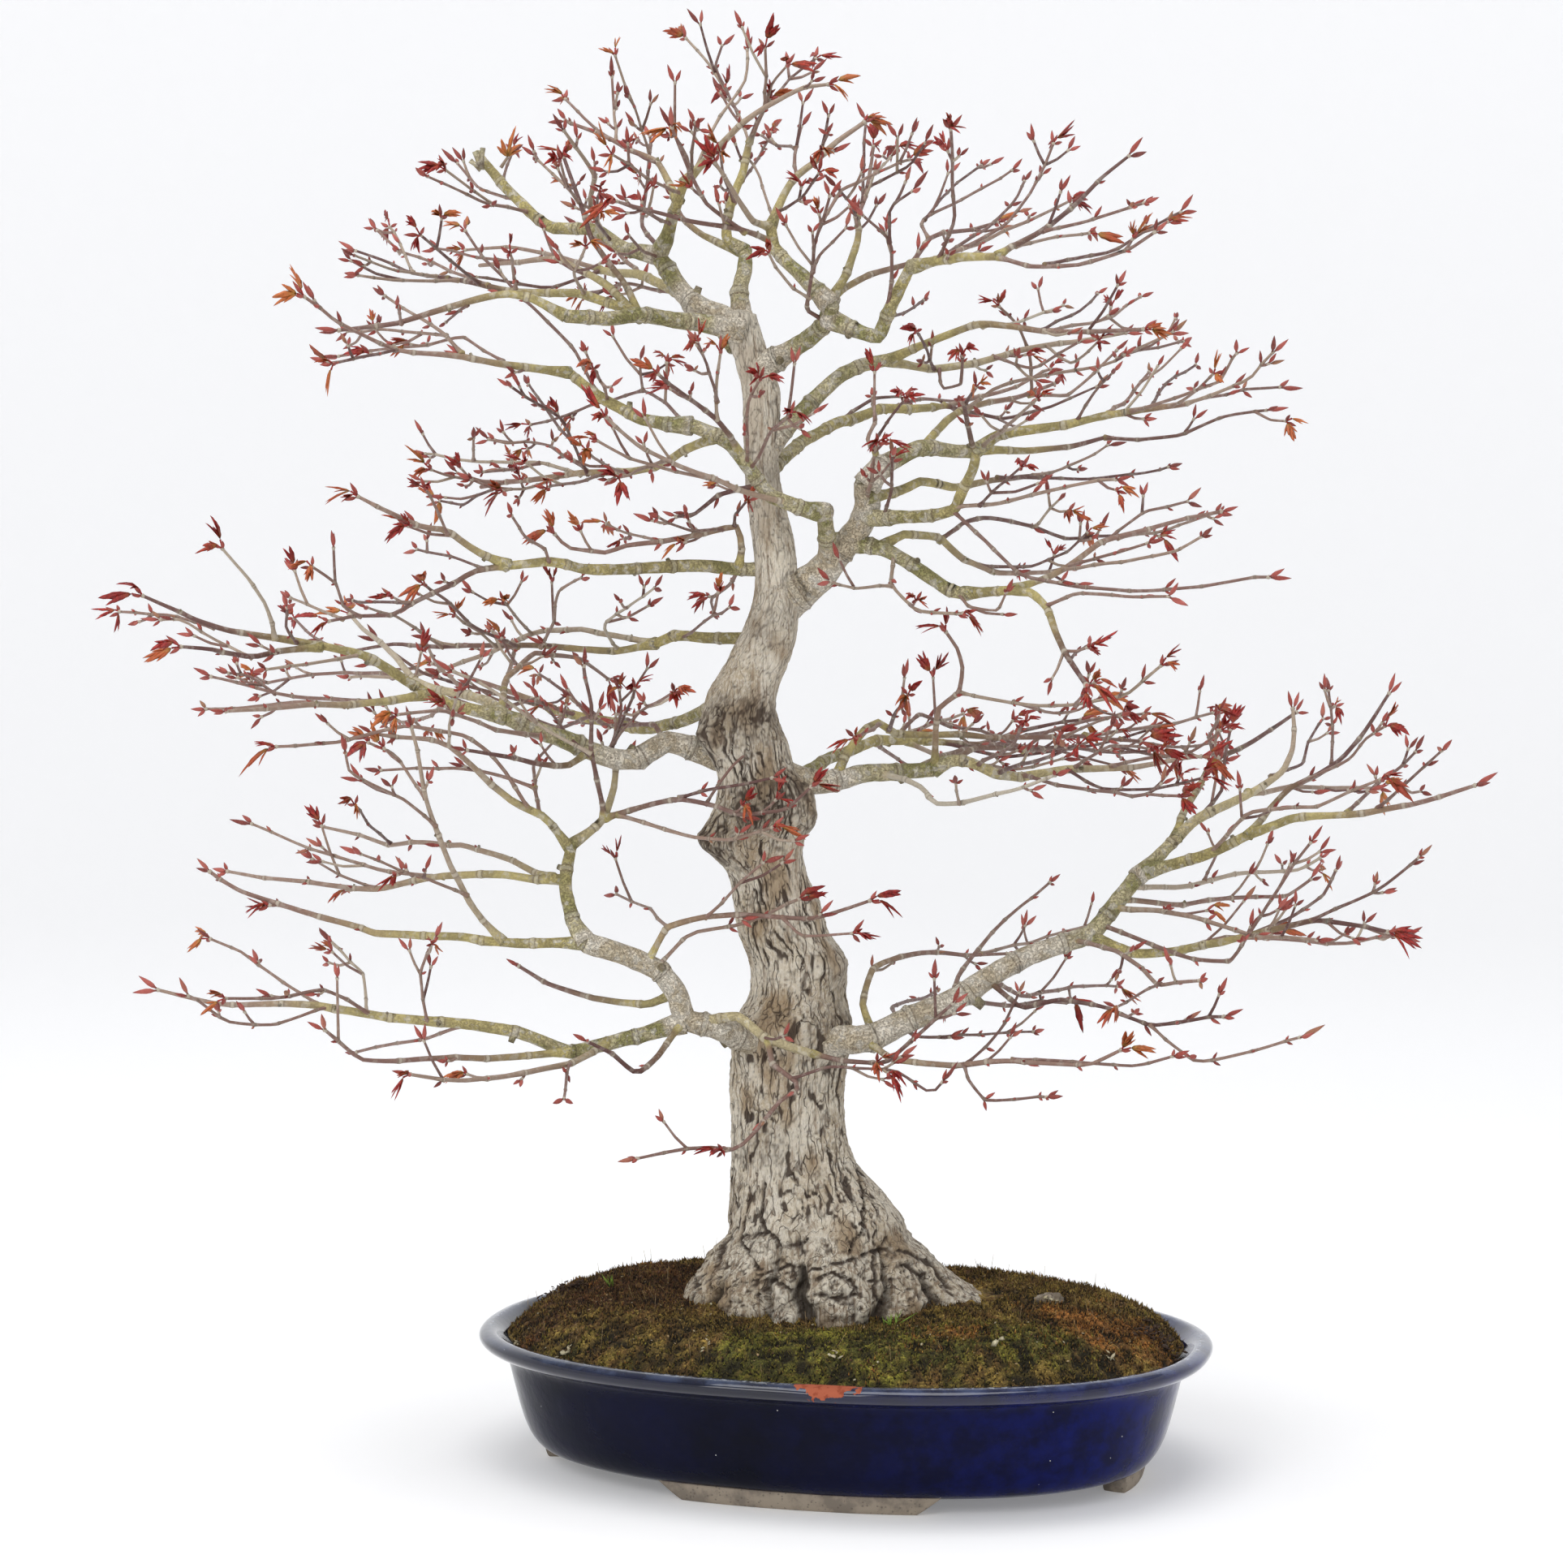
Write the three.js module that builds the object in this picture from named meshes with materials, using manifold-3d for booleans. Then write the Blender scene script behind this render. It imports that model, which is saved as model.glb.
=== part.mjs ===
// A Japanese maple bonsai in a blue oval pot, in millimetres, +Z up, seen from its front along +Y.
import * as THREE from "three";
import Module from "manifold-3d";

const wasm = await Module();
wasm.setup();

// Driving dimensions
const FIT = 0.35; // clearance between pieces that touch
const POT = { x: 35, turn: -14.5, sides: 32, power: 2.25, floor: 17, foot: 10 };
const MOUND = { rim: 73, rise: 23, fall: 6.5, moss: 4.2 };
const ROOT_CENTRE = { x: 22, y: 0 };
const ROOT_BOTTOM = 66;
const BARE_TRUNK = 140; // above this height the roots no longer flare
const TRUNK_SIDES = 14;
const ROOT_SIDES = 30;
const EYE = new THREE.Vector3(0, -2200, 580); // where the front elevation is seen from
const THIN = 3.1; // a limb that starts thinner than this is a thin twig
const SHORTEST_THIN = 72; // shorter thin twigs are left out
const LOBES = 1; // lobes built on a young leaf beside its middle one
const SLIVER = 0.12; // what joining leaves smaller than this is tidied away
const STRAIGHTEN = { limb: 1.2, twig: 3 }; // how far a built route may cut its own bends

// The pot's half length and half width at each height, outside from the foot up and inside back down
const POT_WALL = [
  [9, 170, 109],
  [12, 177, 116],
  [24, 184, 123],
  [50, 190.5, 129],
  [65, 194, 133],
  [66.5, 203, 142],
  [70, 208.5, 147.5],
  [74, 209.5, 148.5],
  [77, 206, 145],
  [77.4, 199, 138],
  [58, 184, 123],
  [24, 173, 112],
  [17, 165, 104],
];

// The trunk's left and right edge at each height
const TRUNK_EDGES = [
  [140, -30.5, 71],
  [150, -28, 63],
  [175, -26, 43],
  [210, -28, 36],
  [250, -27, 37],
  [268, -18, 34],
  [288, -18, 34],
  [303, -24, 26],
  [320, -27, 21],
  [338, -31, 14],
  [354, -43, 12],
  [367, -39, 17],
  [382, -35, 15],
  [397, -37, 7],
  [412, -42, 3],
  [425, -43, -2],
  [440, -39, -1],
  [470, -23, 9],
  [485, -17, 10],
  [500, -15, 9],
  [520, -16, 7],
  [565, -21, -2],
  [605, -21.5, -1],
  [622, -25, -6],
  [636, -30, -10],
  [650, -34, -14],
];

// Surface roots: direction in degrees from +X, reach beyond the flare, half width in degrees
const ROOTS = [
  [-10, 42, 11],
  [-41, 30, 14],
  [-78, 20, 13],
  [-111, 18, 10],
  [-147, 22, 9],
  [-170, 34, 9],
  [140, 24, 14],
  [95, 25, 14],
  [48, 28, 14],
];

// Stumps on the trunk: x, z and depth where each starts and ends, and its thickness
const KNOBS = [
  [-30, 414, -6, -46, 417, -15, 13],
  [-28, 352, -8, -42, 356, -20, 13],
  [10, 368, -6, 21, 370, -14, 11],
  [30, 283, -2, 38, 284, -6, 12],
];

// Every spray: its name, the node it grows on, the place inside that node from which it comes,
// the depth at its joint, and its limbs. A limb holds the depth that it gains from its start
// to its tip, its thickness at both ends, what its tip bears, and its route as x and z
// on the front elevation. A limb starts on the nearest limb before it.
const SPRAYS = [
  ["spray_low_left", "trunk", [-8, 240, -10], -34, [
    [-16, 13, 11, "cut", [-35, 248, -55, 252, -60, 268, -68, 280, -90, 290, -110, 297]],
    [-30, 9, 2.4, "pair",
      [-55, 252, -90, 243, -120, 235, -150, 246, -180, 250, -220, 254, -262, 262, -320, 263, -352, 270]],
    [45, 6, 2.6, "pair", [-110, 297, -140, 296, -180, 301, -230, 302, -262, 314, -305, 328, -322, 338]],
    [25, 8, 6, "cut", [-110, 297, -118, 310, -121, 330, -118, 354]],
    [30, 5, 3.6, "cut", [-118, 353, -100, 368, -94, 384, -92, 397, -96, 408]],
    [-60, 3.6, 2.2, "leaf", [-100, 368, -58, 379, -20, 369, 0, 372, 17, 385]],
    [-48, 3, 2.2, "leaf", [-92, 368, -50, 357, -30, 356, -5, 362]],
    [-25, 2.6, 2, "pair", [-58, 379, -40, 384, -5, 390]],
    [30, 2.4, 2, "bud", [-42, 378, -27, 397, -10, 412]],
    [90, 5, 2.4, "bud", [-121, 333, -155, 336, -190, 335, -228, 329, -262, 331, -312, 339]],
    [40, 2.4, 2, "bud", [-228, 329, -250, 338, -264, 346]],
    [70, 3, 2.2, "pair", [-190, 335, -230, 340, -265, 352, -298, 366]],
    [150, 4, 2.4, "bud", [-128, 335, -155, 345, -180, 354, -220, 355, -258, 365]],
    [-60, 2.4, 2, "leaf", [-220, 355, -232, 365, -240, 376]],
    [-70, 4, 2.4, "bud", [-157, 300, -176, 322, -186, 340, -201, 380, -205, 400, -208, 418]],
    [-70, 2.6, 2, "pair", [-178, 323, -200, 332, -237, 346]],
    [-80, 2.8, 2.2, "leaf", [-232, 258, -258, 270, -290, 264, -314, 264]],
    [60, 2.6, 2.2, "leaf", [-262, 262, -290, 282, -305, 293, -322, 300]],
    [-60, 2.4, 2, "pair", [-255, 260, -285, 250, -312, 252, -335, 266]],
    [-100, 4.4, 2.4, "pair", [-118, 235, -150, 232, -178, 231, -210, 229, -238, 229, -258, 246]],
    [-140, 4, 2.4, "leaf", [-98, 240, -120, 228, -150, 222, -180, 218, -210, 220]],
    [-60, 2.4, 2, "pair", [-120, 228, -122, 215, -123, 207]],
    [70, 2.6, 2.2, "bud", [-180, 250, -200, 243, -240, 236]],
    [-80, 4, 2.4, "bud", [-55, 253, -70, 232, -82, 222, -95, 232, -110, 240]],
    [80, 2.4, 2, "bud", [-234, 258, -237, 280, -256, 301]],
    [-50, 2.4, 2, "bud", [-200, 252, -203, 280, -195, 299]],
    [80, 5, 2.6, "pair", [-61, 268, -76, 263, -108, 267, -130, 275, -148, 285]],
    [4, 4, 2.4, "leaf", [-75, 287, -64, 306, -45, 311, -22, 312, 20, 312, 50, 321]],
    [12, 3, 2.4, "leaf", [-72, 284, -50, 302, -25, 307, 10, 322]],
    [-40, 2.6, 2, "pair", [-43, 311, -27, 327, -10, 342]],
    [90, 2.6, 2, "pair", [-64, 306, -75, 317, -93, 326]],
    [-30, 2.4, 2, "leaf", [0, 312, 10, 302, 40, 302]],
    [-40, 5, 2.4, "pair", [-119, 350, -133, 368, -150, 376, -160, 384, -187, 408, -197, 411, -230, 415]],
    [90, 3, 2.2, "pair", [-136, 370, -138, 385, -139, 400, -128, 412]],
    [60, 2.8, 2, "bud", [-138, 385, -160, 392, -185, 397, -225, 396]],
    [-60, 3.4, 2.4, "pair", [-100, 368, -104, 392, -107, 405, -107, 432, -111, 453]],
    [-20, 2.6, 2.2, "bud", [-107, 404, -130, 416, -160, 438, -184, 450]],
    [50, 2.6, 2, "bud", [-106, 402, -120, 414, -136, 436]],
    [-60, 2.6, 2.2, "leaf", [-96, 407, -86, 430, -82, 441]],
    [-100, 2.4, 2, "leaf", [-94, 410, -80, 427, -60, 438]],
    [40, 2.2, 2, "leaf", [-96, 408, -89, 430, -91, 441]],
    [-60, 3, 2.2, "leaf", [-142, 372, -155, 393, -165, 404, -180, 414, -210, 419, -250, 409, -284, 407]],
    [40, 2.4, 2, "leaf", [-200, 378, -216, 402, -232, 410]],
    [-60, 2.4, 2, "bud", [-195, 362, -213, 378, -243, 393, -245, 403]],
    [-60, 2.2, 2, "bud", [-187, 408, -187, 418, -181, 438]],
    [-22, 5.5, 4.5, "cut", [-50, 250, -25, 255, -8, 243, 5, 238, 17, 234]],
    [-40, 3.4, 2.2, "pair", [17, 234, 35, 230, 58, 228, 75, 242, 97, 262]],
    [-70, 3.4, 2.2, "bud", [-8, 243, -5, 229, 10, 215, 0, 207, -12, 192, -25, 180, -40, 180, -82, 173]],
    [-40, 2.4, 2, "bud", [8, 222, 30, 226, 65, 223, 85, 211, 91, 217]],
  ]],
  ["spray_low_right", "trunk", [6, 241, -6], -24, [
    [46, 16, 9, "cut", [42, 243, 52, 244, 70, 252, 100, 268, 140, 290, 175, 303, 200, 335]],
    [40, 8, 2.6, "pair", [200, 334, 222, 357, 233, 368, 262, 383, 281, 397, 286, 408, 287, 431]],
    [-70, 7, 2.6, "pair", [203, 338, 235, 345, 262, 358, 285, 367, 318, 371, 355, 376, 390, 386]],
    [30, 4, 2.4, "pair", [262, 358, 272, 372, 285, 385, 300, 392, 315, 403, 328, 420, 341, 439]],
    [60, 3, 2.2, "pair", [318, 371, 335, 387, 345, 395, 356, 406]],
    [-60, 2.6, 2, "bud", [335, 373, 350, 385, 371, 405]],
    [90, 3.6, 2.4, "leaf", [262, 383, 285, 386, 300, 386, 336, 387]],
    [-90, 3, 2.2, "leaf", [240, 348, 262, 371, 300, 374, 337, 389]],
    [120, 4.6, 2.6, "pair", [222, 357, 228, 375, 236, 388, 243, 402, 265, 414, 289, 430]],
    [-60, 3, 2.2, "leaf", [243, 402, 241, 415, 246, 429]],
    [60, 3, 2.2, "leaf", [225, 359, 247, 385, 249, 405, 252, 419]],
    [80, 2.6, 2, "pair", [275, 392, 293, 400, 296, 412, 304, 426]],
    [-80, 2.6, 2, "leaf", [290, 388, 320, 402, 328, 412, 339, 419]],
    [60, 2.4, 2, "bud", [309, 399, 309, 420, 307, 441]],
    [-70, 6, 2.6, "leaf", [173, 302, 200, 291, 225, 293, 262, 301, 300, 310, 342, 303]],
    [50, 3.6, 2.2, "pair", [225, 293, 250, 300, 280, 300, 318, 298, 346, 302]],
    [-110, 3.6, 2.2, "bud", [187, 318, 210, 316, 232, 312, 268, 300, 302, 298]],
    [50, 3, 2.2, "pair", [262, 301, 285, 310, 305, 325, 312, 339]],
    [-40, 2.6, 2, "bud", [298, 310, 338, 328, 359, 345]],
    [80, 3.6, 2.4, "pair", [190, 322, 215, 320, 250, 323, 285, 326, 298, 335]],
    [150, 3.6, 2.4, "bud", [196, 330, 220, 330, 255, 338, 290, 342, 303, 348]],
    [50, 2.4, 2, "pair", [238, 335, 250, 359]],
    [-120, 3.2, 2.2, "bud", [180, 308, 225, 290, 252, 287, 275, 320, 298, 353]],
    [-150, 3.4, 2.4, "bud", [165, 299, 190, 292, 214, 273, 236, 274]],
    [-40, 2.2, 2, "leaf", [214, 273, 205, 268, 189, 259]],
    [100, 3.4, 2.2, "leaf", [100, 268, 125, 262, 145, 265, 165, 266]],
    [150, 3.2, 2.2, "leaf", [118, 278, 135, 268, 165, 275, 189, 275]],
    [-110, 3.4, 2.4, "pair", [116, 277, 135, 260, 158, 265, 185, 260, 208, 250, 250, 254]],
    [-50, 2.4, 2, "pair", [208, 250, 233, 229, 265, 234, 293, 242]],
    [-100, 4, 2.4, "leaf", [46, 244, 60, 232, 100, 228, 130, 230, 175, 227, 192, 235]],
    [-60, 2.6, 2, "bud", [130, 230, 165, 229, 200, 226, 221, 231]],
    [-60, 2.4, 2, "bud", [103, 228, 105, 220, 115, 208, 150, 208]],
    [50, 2.4, 2, "bud", [105, 228, 115, 238, 125, 250, 134, 269]],
    [70, 2.6, 2, "bud", [66, 250, 78, 245, 105, 245, 142, 248]],
    [120, 4.4, 2.4, "bud", [52, 245, 45, 262, 50, 283, 80, 292, 127, 293]],
    [140, 3, 2.2, "bud", [68, 252, 62, 262, 75, 266, 87, 272]],
    [90, 3.2, 2.2, "bud", [95, 266, 100, 280, 118, 303, 135, 320, 151, 333]],
    [110, 2.6, 2, "bud", [112, 293, 140, 300, 174, 311]],
  ]],
  ["spray_mid_left", "trunk", [-22, 401, 0], 0, [
    [-30, 13.5, 9, "cut", [-47, 405, -65, 411, -80, 403, -92, 402, -110, 406, -140, 418, -155, 425]],
    [-50, 7, 2.4, "leaf",
      [-155, 425, -185, 430, -200, 437, -215, 448, -230, 458, -258, 464, -312, 472, -330, 478, -358, 492]],
    [-50, 4, 2.4, "leaf", [-258, 464, -275, 461, -297, 457, -318, 462, -337, 463]],
    [-40, 3, 2.2, "leaf", [-284, 468, -290, 487, -300, 502, -313, 518]],
    [50, 2.4, 2, "leaf", [-318, 474, -345, 482, -371, 484]],
    [30, 2.4, 2, "bud", [-297, 457, -315, 466, -335, 478, -348, 479]],
    [-110, 5, 2.4, "bud", [-200, 437, -225, 432, -245, 430, -284, 428, -312, 426]],
    [40, 2.6, 2, "bud", [-245, 430, -270, 432, -290, 431, -323, 429]],
    [70, 3, 2.2, "pair", [-222, 433, -260, 435, -285, 438, -320, 448]],
    [30, 2.2, 2, "bud", [-284, 438, -297, 447, -310, 450]],
    [90, 6, 2.6, "leaf", [-155, 427, -165, 433, -190, 440, -205, 447, -215, 459, -235, 475, -242, 484]],
    [100, 2.8, 2.2, "bud", [-205, 447, -225, 450, -260, 450, -292, 446]],
    [-70, 2.6, 2, "bud", [-236, 461, -262, 455, -289, 450]],
    [80, 2.4, 2, "leaf", [-250, 463, -262, 470, -273, 481]],
    [-50, 2.4, 2, "pair", [-272, 464, -278, 474, -277, 485]],
    [140, 4, 2.4, "leaf", [-156, 429, -155, 447, -148, 452, -138, 462, -115, 459, -97, 448]],
    [180, 3.2, 2.2, "bud", [-155, 440, -152, 455, -150, 466, -162, 476]],
    [-80, 4, 2.4, "bud", [-108, 405, -120, 398, -140, 399, -177, 405]],
    [120, 3.4, 2.4, "pair", [-66, 410, -72, 420, -100, 422, -107, 427, -125, 421, -137, 425]],
    [150, 3, 2.2, "leaf", [-188, 431, -205, 424, -220, 424]],
    [170, 3.4, 2.2, "pair", [-148, 423, -175, 440, -190, 452, -200, 471]],
    [-130, 3.4, 2.2, "leaf", [-130, 414, -160, 418, -190, 426, -216, 424]],
  ]],
  ["spray_mid_right", "trunk", [0, 391, 0], 4, [
    [26, 13, 8, "cut", [24, 389, 45, 393, 62, 394, 85, 396]],
    [-30, 7, 2.6, "leaf", [85, 396, 95, 400, 108, 399, 122, 394, 135, 393, 165, 397, 200, 398, 236, 403]],
    [90, 5, 2.6, "leaf",
      [30, 391, 40, 408, 48, 418, 55, 422, 63, 416, 105, 415, 140, 415, 170, 416, 202, 413]],
    [-60, 3, 2.2, "leaf", [55, 422, 50, 418, 41, 413]],
    [-80, 3, 2.2, "leaf", [60, 418, 64, 428, 71, 437]],
    [80, 3, 2.2, "bud", [66, 416, 77, 428, 92, 422, 112, 418, 136, 410]],
    [-40, 4, 2.4, "leaf", [86, 397, 86, 410, 86, 420, 88, 430, 100, 439, 102, 452, 99, 463, 92, 473]],
    [-80, 2.6, 2.2, "leaf", [100, 439, 115, 436, 145, 431, 165, 431, 195, 438, 213, 453]],
    [-80, 2.4, 2, "leaf", [165, 431, 173, 442]],
    [50, 2.4, 2, "leaf", [130, 433, 150, 428, 165, 429, 179, 437]],
    [-110, 3.6, 2.2, "bud", [56, 394, 80, 385, 86, 377, 100, 376, 130, 382, 154, 391]],
    [-30, 2.4, 2, "bud", [100, 376, 98, 387]],
    [-130, 3, 2.2, "leaf", [135, 393, 155, 387, 185, 381, 224, 379]],
    [-80, 2.6, 2, "leaf", [160, 396, 180, 385, 210, 384, 237, 390]],
    [140, 3.6, 2.4, "leaf", [95, 400, 110, 408, 135, 407, 160, 409, 190, 408, 217, 405]],
    [70, 3, 2.2, "leaf", [135, 407, 150, 418, 170, 424, 203, 429]],
    [-90, 3, 2.2, "leaf", [110, 398, 130, 410, 137, 421]],
    [-130, 3, 2.2, "leaf", [122, 394, 150, 402, 167, 408]],
    [-80, 2.6, 2, "leaf", [165, 397, 185, 408, 207, 406]],
    [100, 3, 2.2, "leaf", [170, 416, 200, 420, 225, 425, 242, 430]],
    [-60, 2.6, 2, "leaf", [185, 397, 210, 402, 230, 405, 247, 417]],
    [70, 2.6, 2, "leaf", [190, 414, 222, 410, 242, 413]],
    [170, 4, 2.4, "leaf", [70, 395, 90, 404, 120, 412, 152, 420]],
    [-50, 2.4, 2, "leaf", [160, 416, 178, 424, 192, 428]],
  ]],
  ["spray_left_469", "trunk", [-8, 469, 0], 4, [
    [26, 7, 5.5, "cut", [-30, 469, -60, 470, -70, 467]],
    [110, 4.4, 2.4, "pair", [-70, 467, -90, 464, -125, 465, -160, 466, -190, 466, -215, 469, -242, 464]],
    [150, 3.8, 2.4, "bud",
      [-70, 467, -95, 473, -112, 476, -140, 473, -160, 465, -180, 457, -205, 451, -242, 450]],
    [-60, 2.4, 2, "leaf", [-140, 473, -148, 482, -156, 491]],
    [-50, 2.4, 2, "leaf", [-160, 466, -172, 475, -183, 483]],
    [-80, 2.6, 2, "pair", [-190, 466, -205, 476, -217, 483, -232, 487]],
    [-90, 2.6, 2, "pair", [-135, 466, -128, 480, -124, 496, -112, 503]],
    [-90, 2.6, 2, "pair", [-92, 465, -99, 476, -85, 488, -71, 497]],
    [-80, 2.4, 2, "pair", [-56, 470, -45, 477, -29, 486]],
    [-110, 2.8, 2.2, "leaf", [-148, 466, -175, 478, -190, 492, -200, 499]],
  ]],
  ["spray_left_508", "trunk", [3, 508, 0], -4, [
    [-56, 8, 4.6, "cut", [-21, 508, -58, 510, -85, 508, -110, 507, -130, 511, -153, 509]],
    [-50, 4.6, 2.4, "leaf", [-153, 509, -173, 518, -190, 528, -200, 530, -237, 547]],
    [-40, 2.4, 2, "leaf", [-187, 526, -192, 538, -199, 551]],
    [-60, 3.6, 2.2, "leaf", [-153, 509, -172, 506, -190, 496, -215, 483, -254, 477]],
    [60, 2.4, 2, "bud", [-207, 487, -240, 490]],
    [-50, 2.4, 2, "leaf", [-236, 480, -246, 485, -250, 497, -263, 507]],
    [50, 2.4, 2, "bud", [-246, 479, -265, 486, -275, 491]],
    [-80, 2.6, 2, "pair", [-130, 511, -133, 518, -145, 526, -151, 536]],
    [60, 2.4, 2, "pair", [-165, 507, -180, 513, -204, 519]],
    [-50, 4, 2.4, "leaf",
      [-24, 508, -23, 520, -25, 532, -45, 527, -65, 524, -90, 520, -97, 516, -120, 519, -127, 527]],
    [-60, 2.4, 2, "bud", [-33, 530, -50, 529, -69, 536]],
    [60, 2.2, 2, "leaf", [-68, 524, -85, 527, -98, 534]],
    [-30, 2.4, 2, "leaf", [-26, 531, -26, 538, -19, 546]],
    [60, 3, 2.2, "bud", [-24, 508, -28, 500, -40, 492, -38, 485]],
  ]],
  ["spray_right_mid", "trunk", [-4, 487, 0], -6, [
    [-20, 18, 13, "cut", [19, 503, 32, 518, 42, 530, 48, 543, 47, 556]],
    [-30, 10, 8, "cut", [27, 513, 25, 525, 24, 540]],
    [-20, 8.5, 7, "cut", [36, 523, 50, 522, 58, 520, 73, 511, 92, 498, 102, 494]],
    [-100, 6, 3, "leaf", [102, 494, 128, 496, 140, 494, 148, 486, 158, 460, 171, 441]],
    [30, 2.4, 2, "pair", [161, 455, 173, 465]],
    [40, 4, 2.4, "bud", [130, 496, 157, 507, 180, 522, 210, 532, 246, 540]],
    [70, 2.4, 2, "pair", [188, 525, 215, 530, 243, 540]],
    [50, 2.4, 2, "pair", [180, 522, 205, 540, 227, 546]],
    [-50, 2.4, 2, "bud", [160, 509, 185, 516, 205, 521]],
    [-90, 2.6, 2, "bud", [157, 507, 200, 513, 222, 516, 235, 524]],
    [110, 5, 2.6, "bud", [56, 521, 68, 527, 88, 524, 102, 514, 120, 507, 150, 508, 162, 511]],
    [70, 2.6, 2, "leaf", [110, 511, 140, 511, 160, 520, 171, 530]],
    [130, 3.2, 2.2, "bud", [88, 524, 102, 535, 115, 537, 142, 533, 160, 526, 202, 531]],
    [-50, 2.4, 2, "bud", [142, 533, 156, 548]],
    [-70, 2.8, 2.2, "leaf", [63, 517, 62, 498, 76, 485, 102, 482]],
    [-50, 2.4, 2, "pair", [62, 498, 42, 497, 27, 500]],
    [-50, 2.4, 2, "bud", [98, 495, 105, 487, 120, 484, 126, 494]],
    [-90, 2.6, 2, "pair", [148, 486, 165, 492, 195, 490, 217, 490]],
    [-60, 8, 5, "cut", [45, 538, 57, 536, 80, 538, 97, 541, 102, 552, 107, 563, 109, 572]],
    [-50, 2.8, 2.2, "pair", [95, 541, 115, 523, 135, 504, 165, 497, 210, 495, 273, 502]],
    [-80, 2.8, 2.2, "bud", [98, 542, 120, 543, 160, 553, 187, 556]],
    [-60, 2.4, 2, "leaf", [111, 542, 120, 552, 134, 563]],
    [-50, 2.6, 2, "pair", [57, 536, 62, 550, 62, 571]],
    [-70, 3, 2.2, "leaf", [48, 545, 50, 560, 54, 577]],
    [120, 6, 3, "bud", [48, 548, 62, 550, 77, 557, 95, 555, 120, 560, 146, 562]],
    [80, 2.6, 2, "bud", [120, 560, 165, 560, 200, 563, 216, 567]],
    [50, 2.4, 2, "pair", [140, 562, 155, 565, 170, 572, 182, 579]],
    [60, 3, 2.2, "bud", [50, 572, 48, 580, 52, 592, 51, 604]],
    [-50, 2.4, 2, "leaf", [50, 575, 60, 590, 69, 601]],
  ]],
  ["spray_right_far", "spray_right_mid", [47, 554, -26], -26, [
    [50, 11, 7, "cut", [56, 564, 62, 568, 75, 574, 90, 574, 108, 574]],
    [-40, 6.4, 3.4, "cut", [108, 574, 120, 582, 150, 588, 180, 594, 210, 598, 226, 600]],
    [-40, 2.6, 2, "pair", [226, 600, 245, 607, 262, 614, 274, 628]],
    [50, 2.4, 2, "pair", [226, 600, 260, 608, 278, 610]],
    [-60, 2.4, 2, "leaf", [218, 599, 232, 608, 241, 616]],
    [80, 3, 2.2, "bud", [182, 594, 195, 605, 205, 619]],
    [-50, 2.4, 2, "pair", [165, 591, 175, 606, 185, 617]],
    [90, 2.6, 2, "pair", [205, 598, 215, 612, 231, 623]],
    [-90, 2.6, 2, "pair", [195, 596, 225, 604, 245, 612, 254, 627]],
    [50, 5, 2.8, "cut", [110, 575, 135, 575, 162, 578, 182, 583]],
    [-50, 2.8, 2, "pair", [180, 583, 200, 582, 220, 584, 250, 594, 271, 597]],
    [120, 5, 2.6, "bud", [78, 576, 85, 585, 92, 592, 103, 598, 120, 602, 140, 607, 152, 613]],
    [50, 2.8, 2.2, "pair", [138, 606, 160, 607, 170, 615, 187, 632]],
    [-60, 2.6, 2.2, "leaf", [140, 606, 139, 625, 132, 643, 121, 655]],
    [-80, 3.6, 2.4, "leaf", [107, 574, 104, 590, 102, 598, 109, 609]],
    [-110, 3, 2.2, "leaf", [112, 577, 130, 590, 143, 602]],
    [80, 2.8, 2, "pair", [100, 597, 118, 609, 150, 618, 180, 624, 217, 641]],
    [60, 2.4, 2, "bud", [190, 629, 224, 637]],
  ]],
  ["spray_wide_left", "spray_right_mid", [25, 539, -35], -44, [
    [-16, 8, 7.5, "cut", [17, 540.5, 8, 544, -5, 550, -18, 565, -27, 576, -40, 583, -50, 587]],
    [30, 7.5, 5, "cut", [-50, 587, -78, 592, -97, 602, -118, 617]],
    [-50, 5, 2.8, "cut", [-118, 617, -155, 623, -178, 627, -215, 629]],
    [-30, 2.8, 2.2, "leaf", [-215, 629, -238, 640, -250, 646, -266, 658]],
    [-70, 2.4, 2, "leaf", [-215, 629, -238, 624, -250, 620]],
    [50, 2.8, 2, "bud", [-178, 627, -187, 638, -205, 650, -221, 660]],
    [70, 2.4, 2, "pair", [-155, 623, -178, 636, -205, 632, -247, 627]],
    [80, 2.4, 2, "pair", [-187, 637, -215, 641, -242, 641]],
    [100, 2.6, 2.2, "leaf", [-104, 606, -115, 628, -125, 640, -140, 656, -150, 665, -165, 682, -176, 697]],
    [-60, 2.4, 2, "leaf", [-97, 602, -100, 610, -105, 618]],
    [110, 2.8, 2, "pair", [-52, 587, -65, 600, -77, 608, -79, 625]],
    [80, 2.4, 2, "leaf", [-77, 608, -100, 602, -125, 594, -140, 590]],
    [130, 5, 3, "cut", [-36, 581, -50, 575, -65, 567, -85, 561, -112, 561, -145, 558, -168, 555]],
    [60, 2.4, 2, "leaf", [-158, 556, -178, 546, -191, 548]],
    [-40, 2.4, 2, "leaf", [-158, 556, -187, 561, -196, 564]],
    [90, 2.8, 2, "bud", [-112, 561, -135, 568, -172, 570, -199, 574]],
    [-40, 2.4, 2, "bud", [-172, 570, -172, 582]],
    [-60, 2.4, 2, "bud", [-135, 568, -155, 563, -167, 562]],
    [120, 2.6, 2, "bud", [-105, 561, -130, 578, -160, 582]],
    [-70, 2.6, 2, "pair", [-108, 561, -122, 590, -140, 602, -151, 609]],
    [80, 2.4, 2, "bud", [-118, 578, -130, 595, -141, 612]],
    [-80, 3.6, 2.4, "leaf", [6, 545, -15, 550, -45, 559, -78, 573, -98, 591]],
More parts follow.
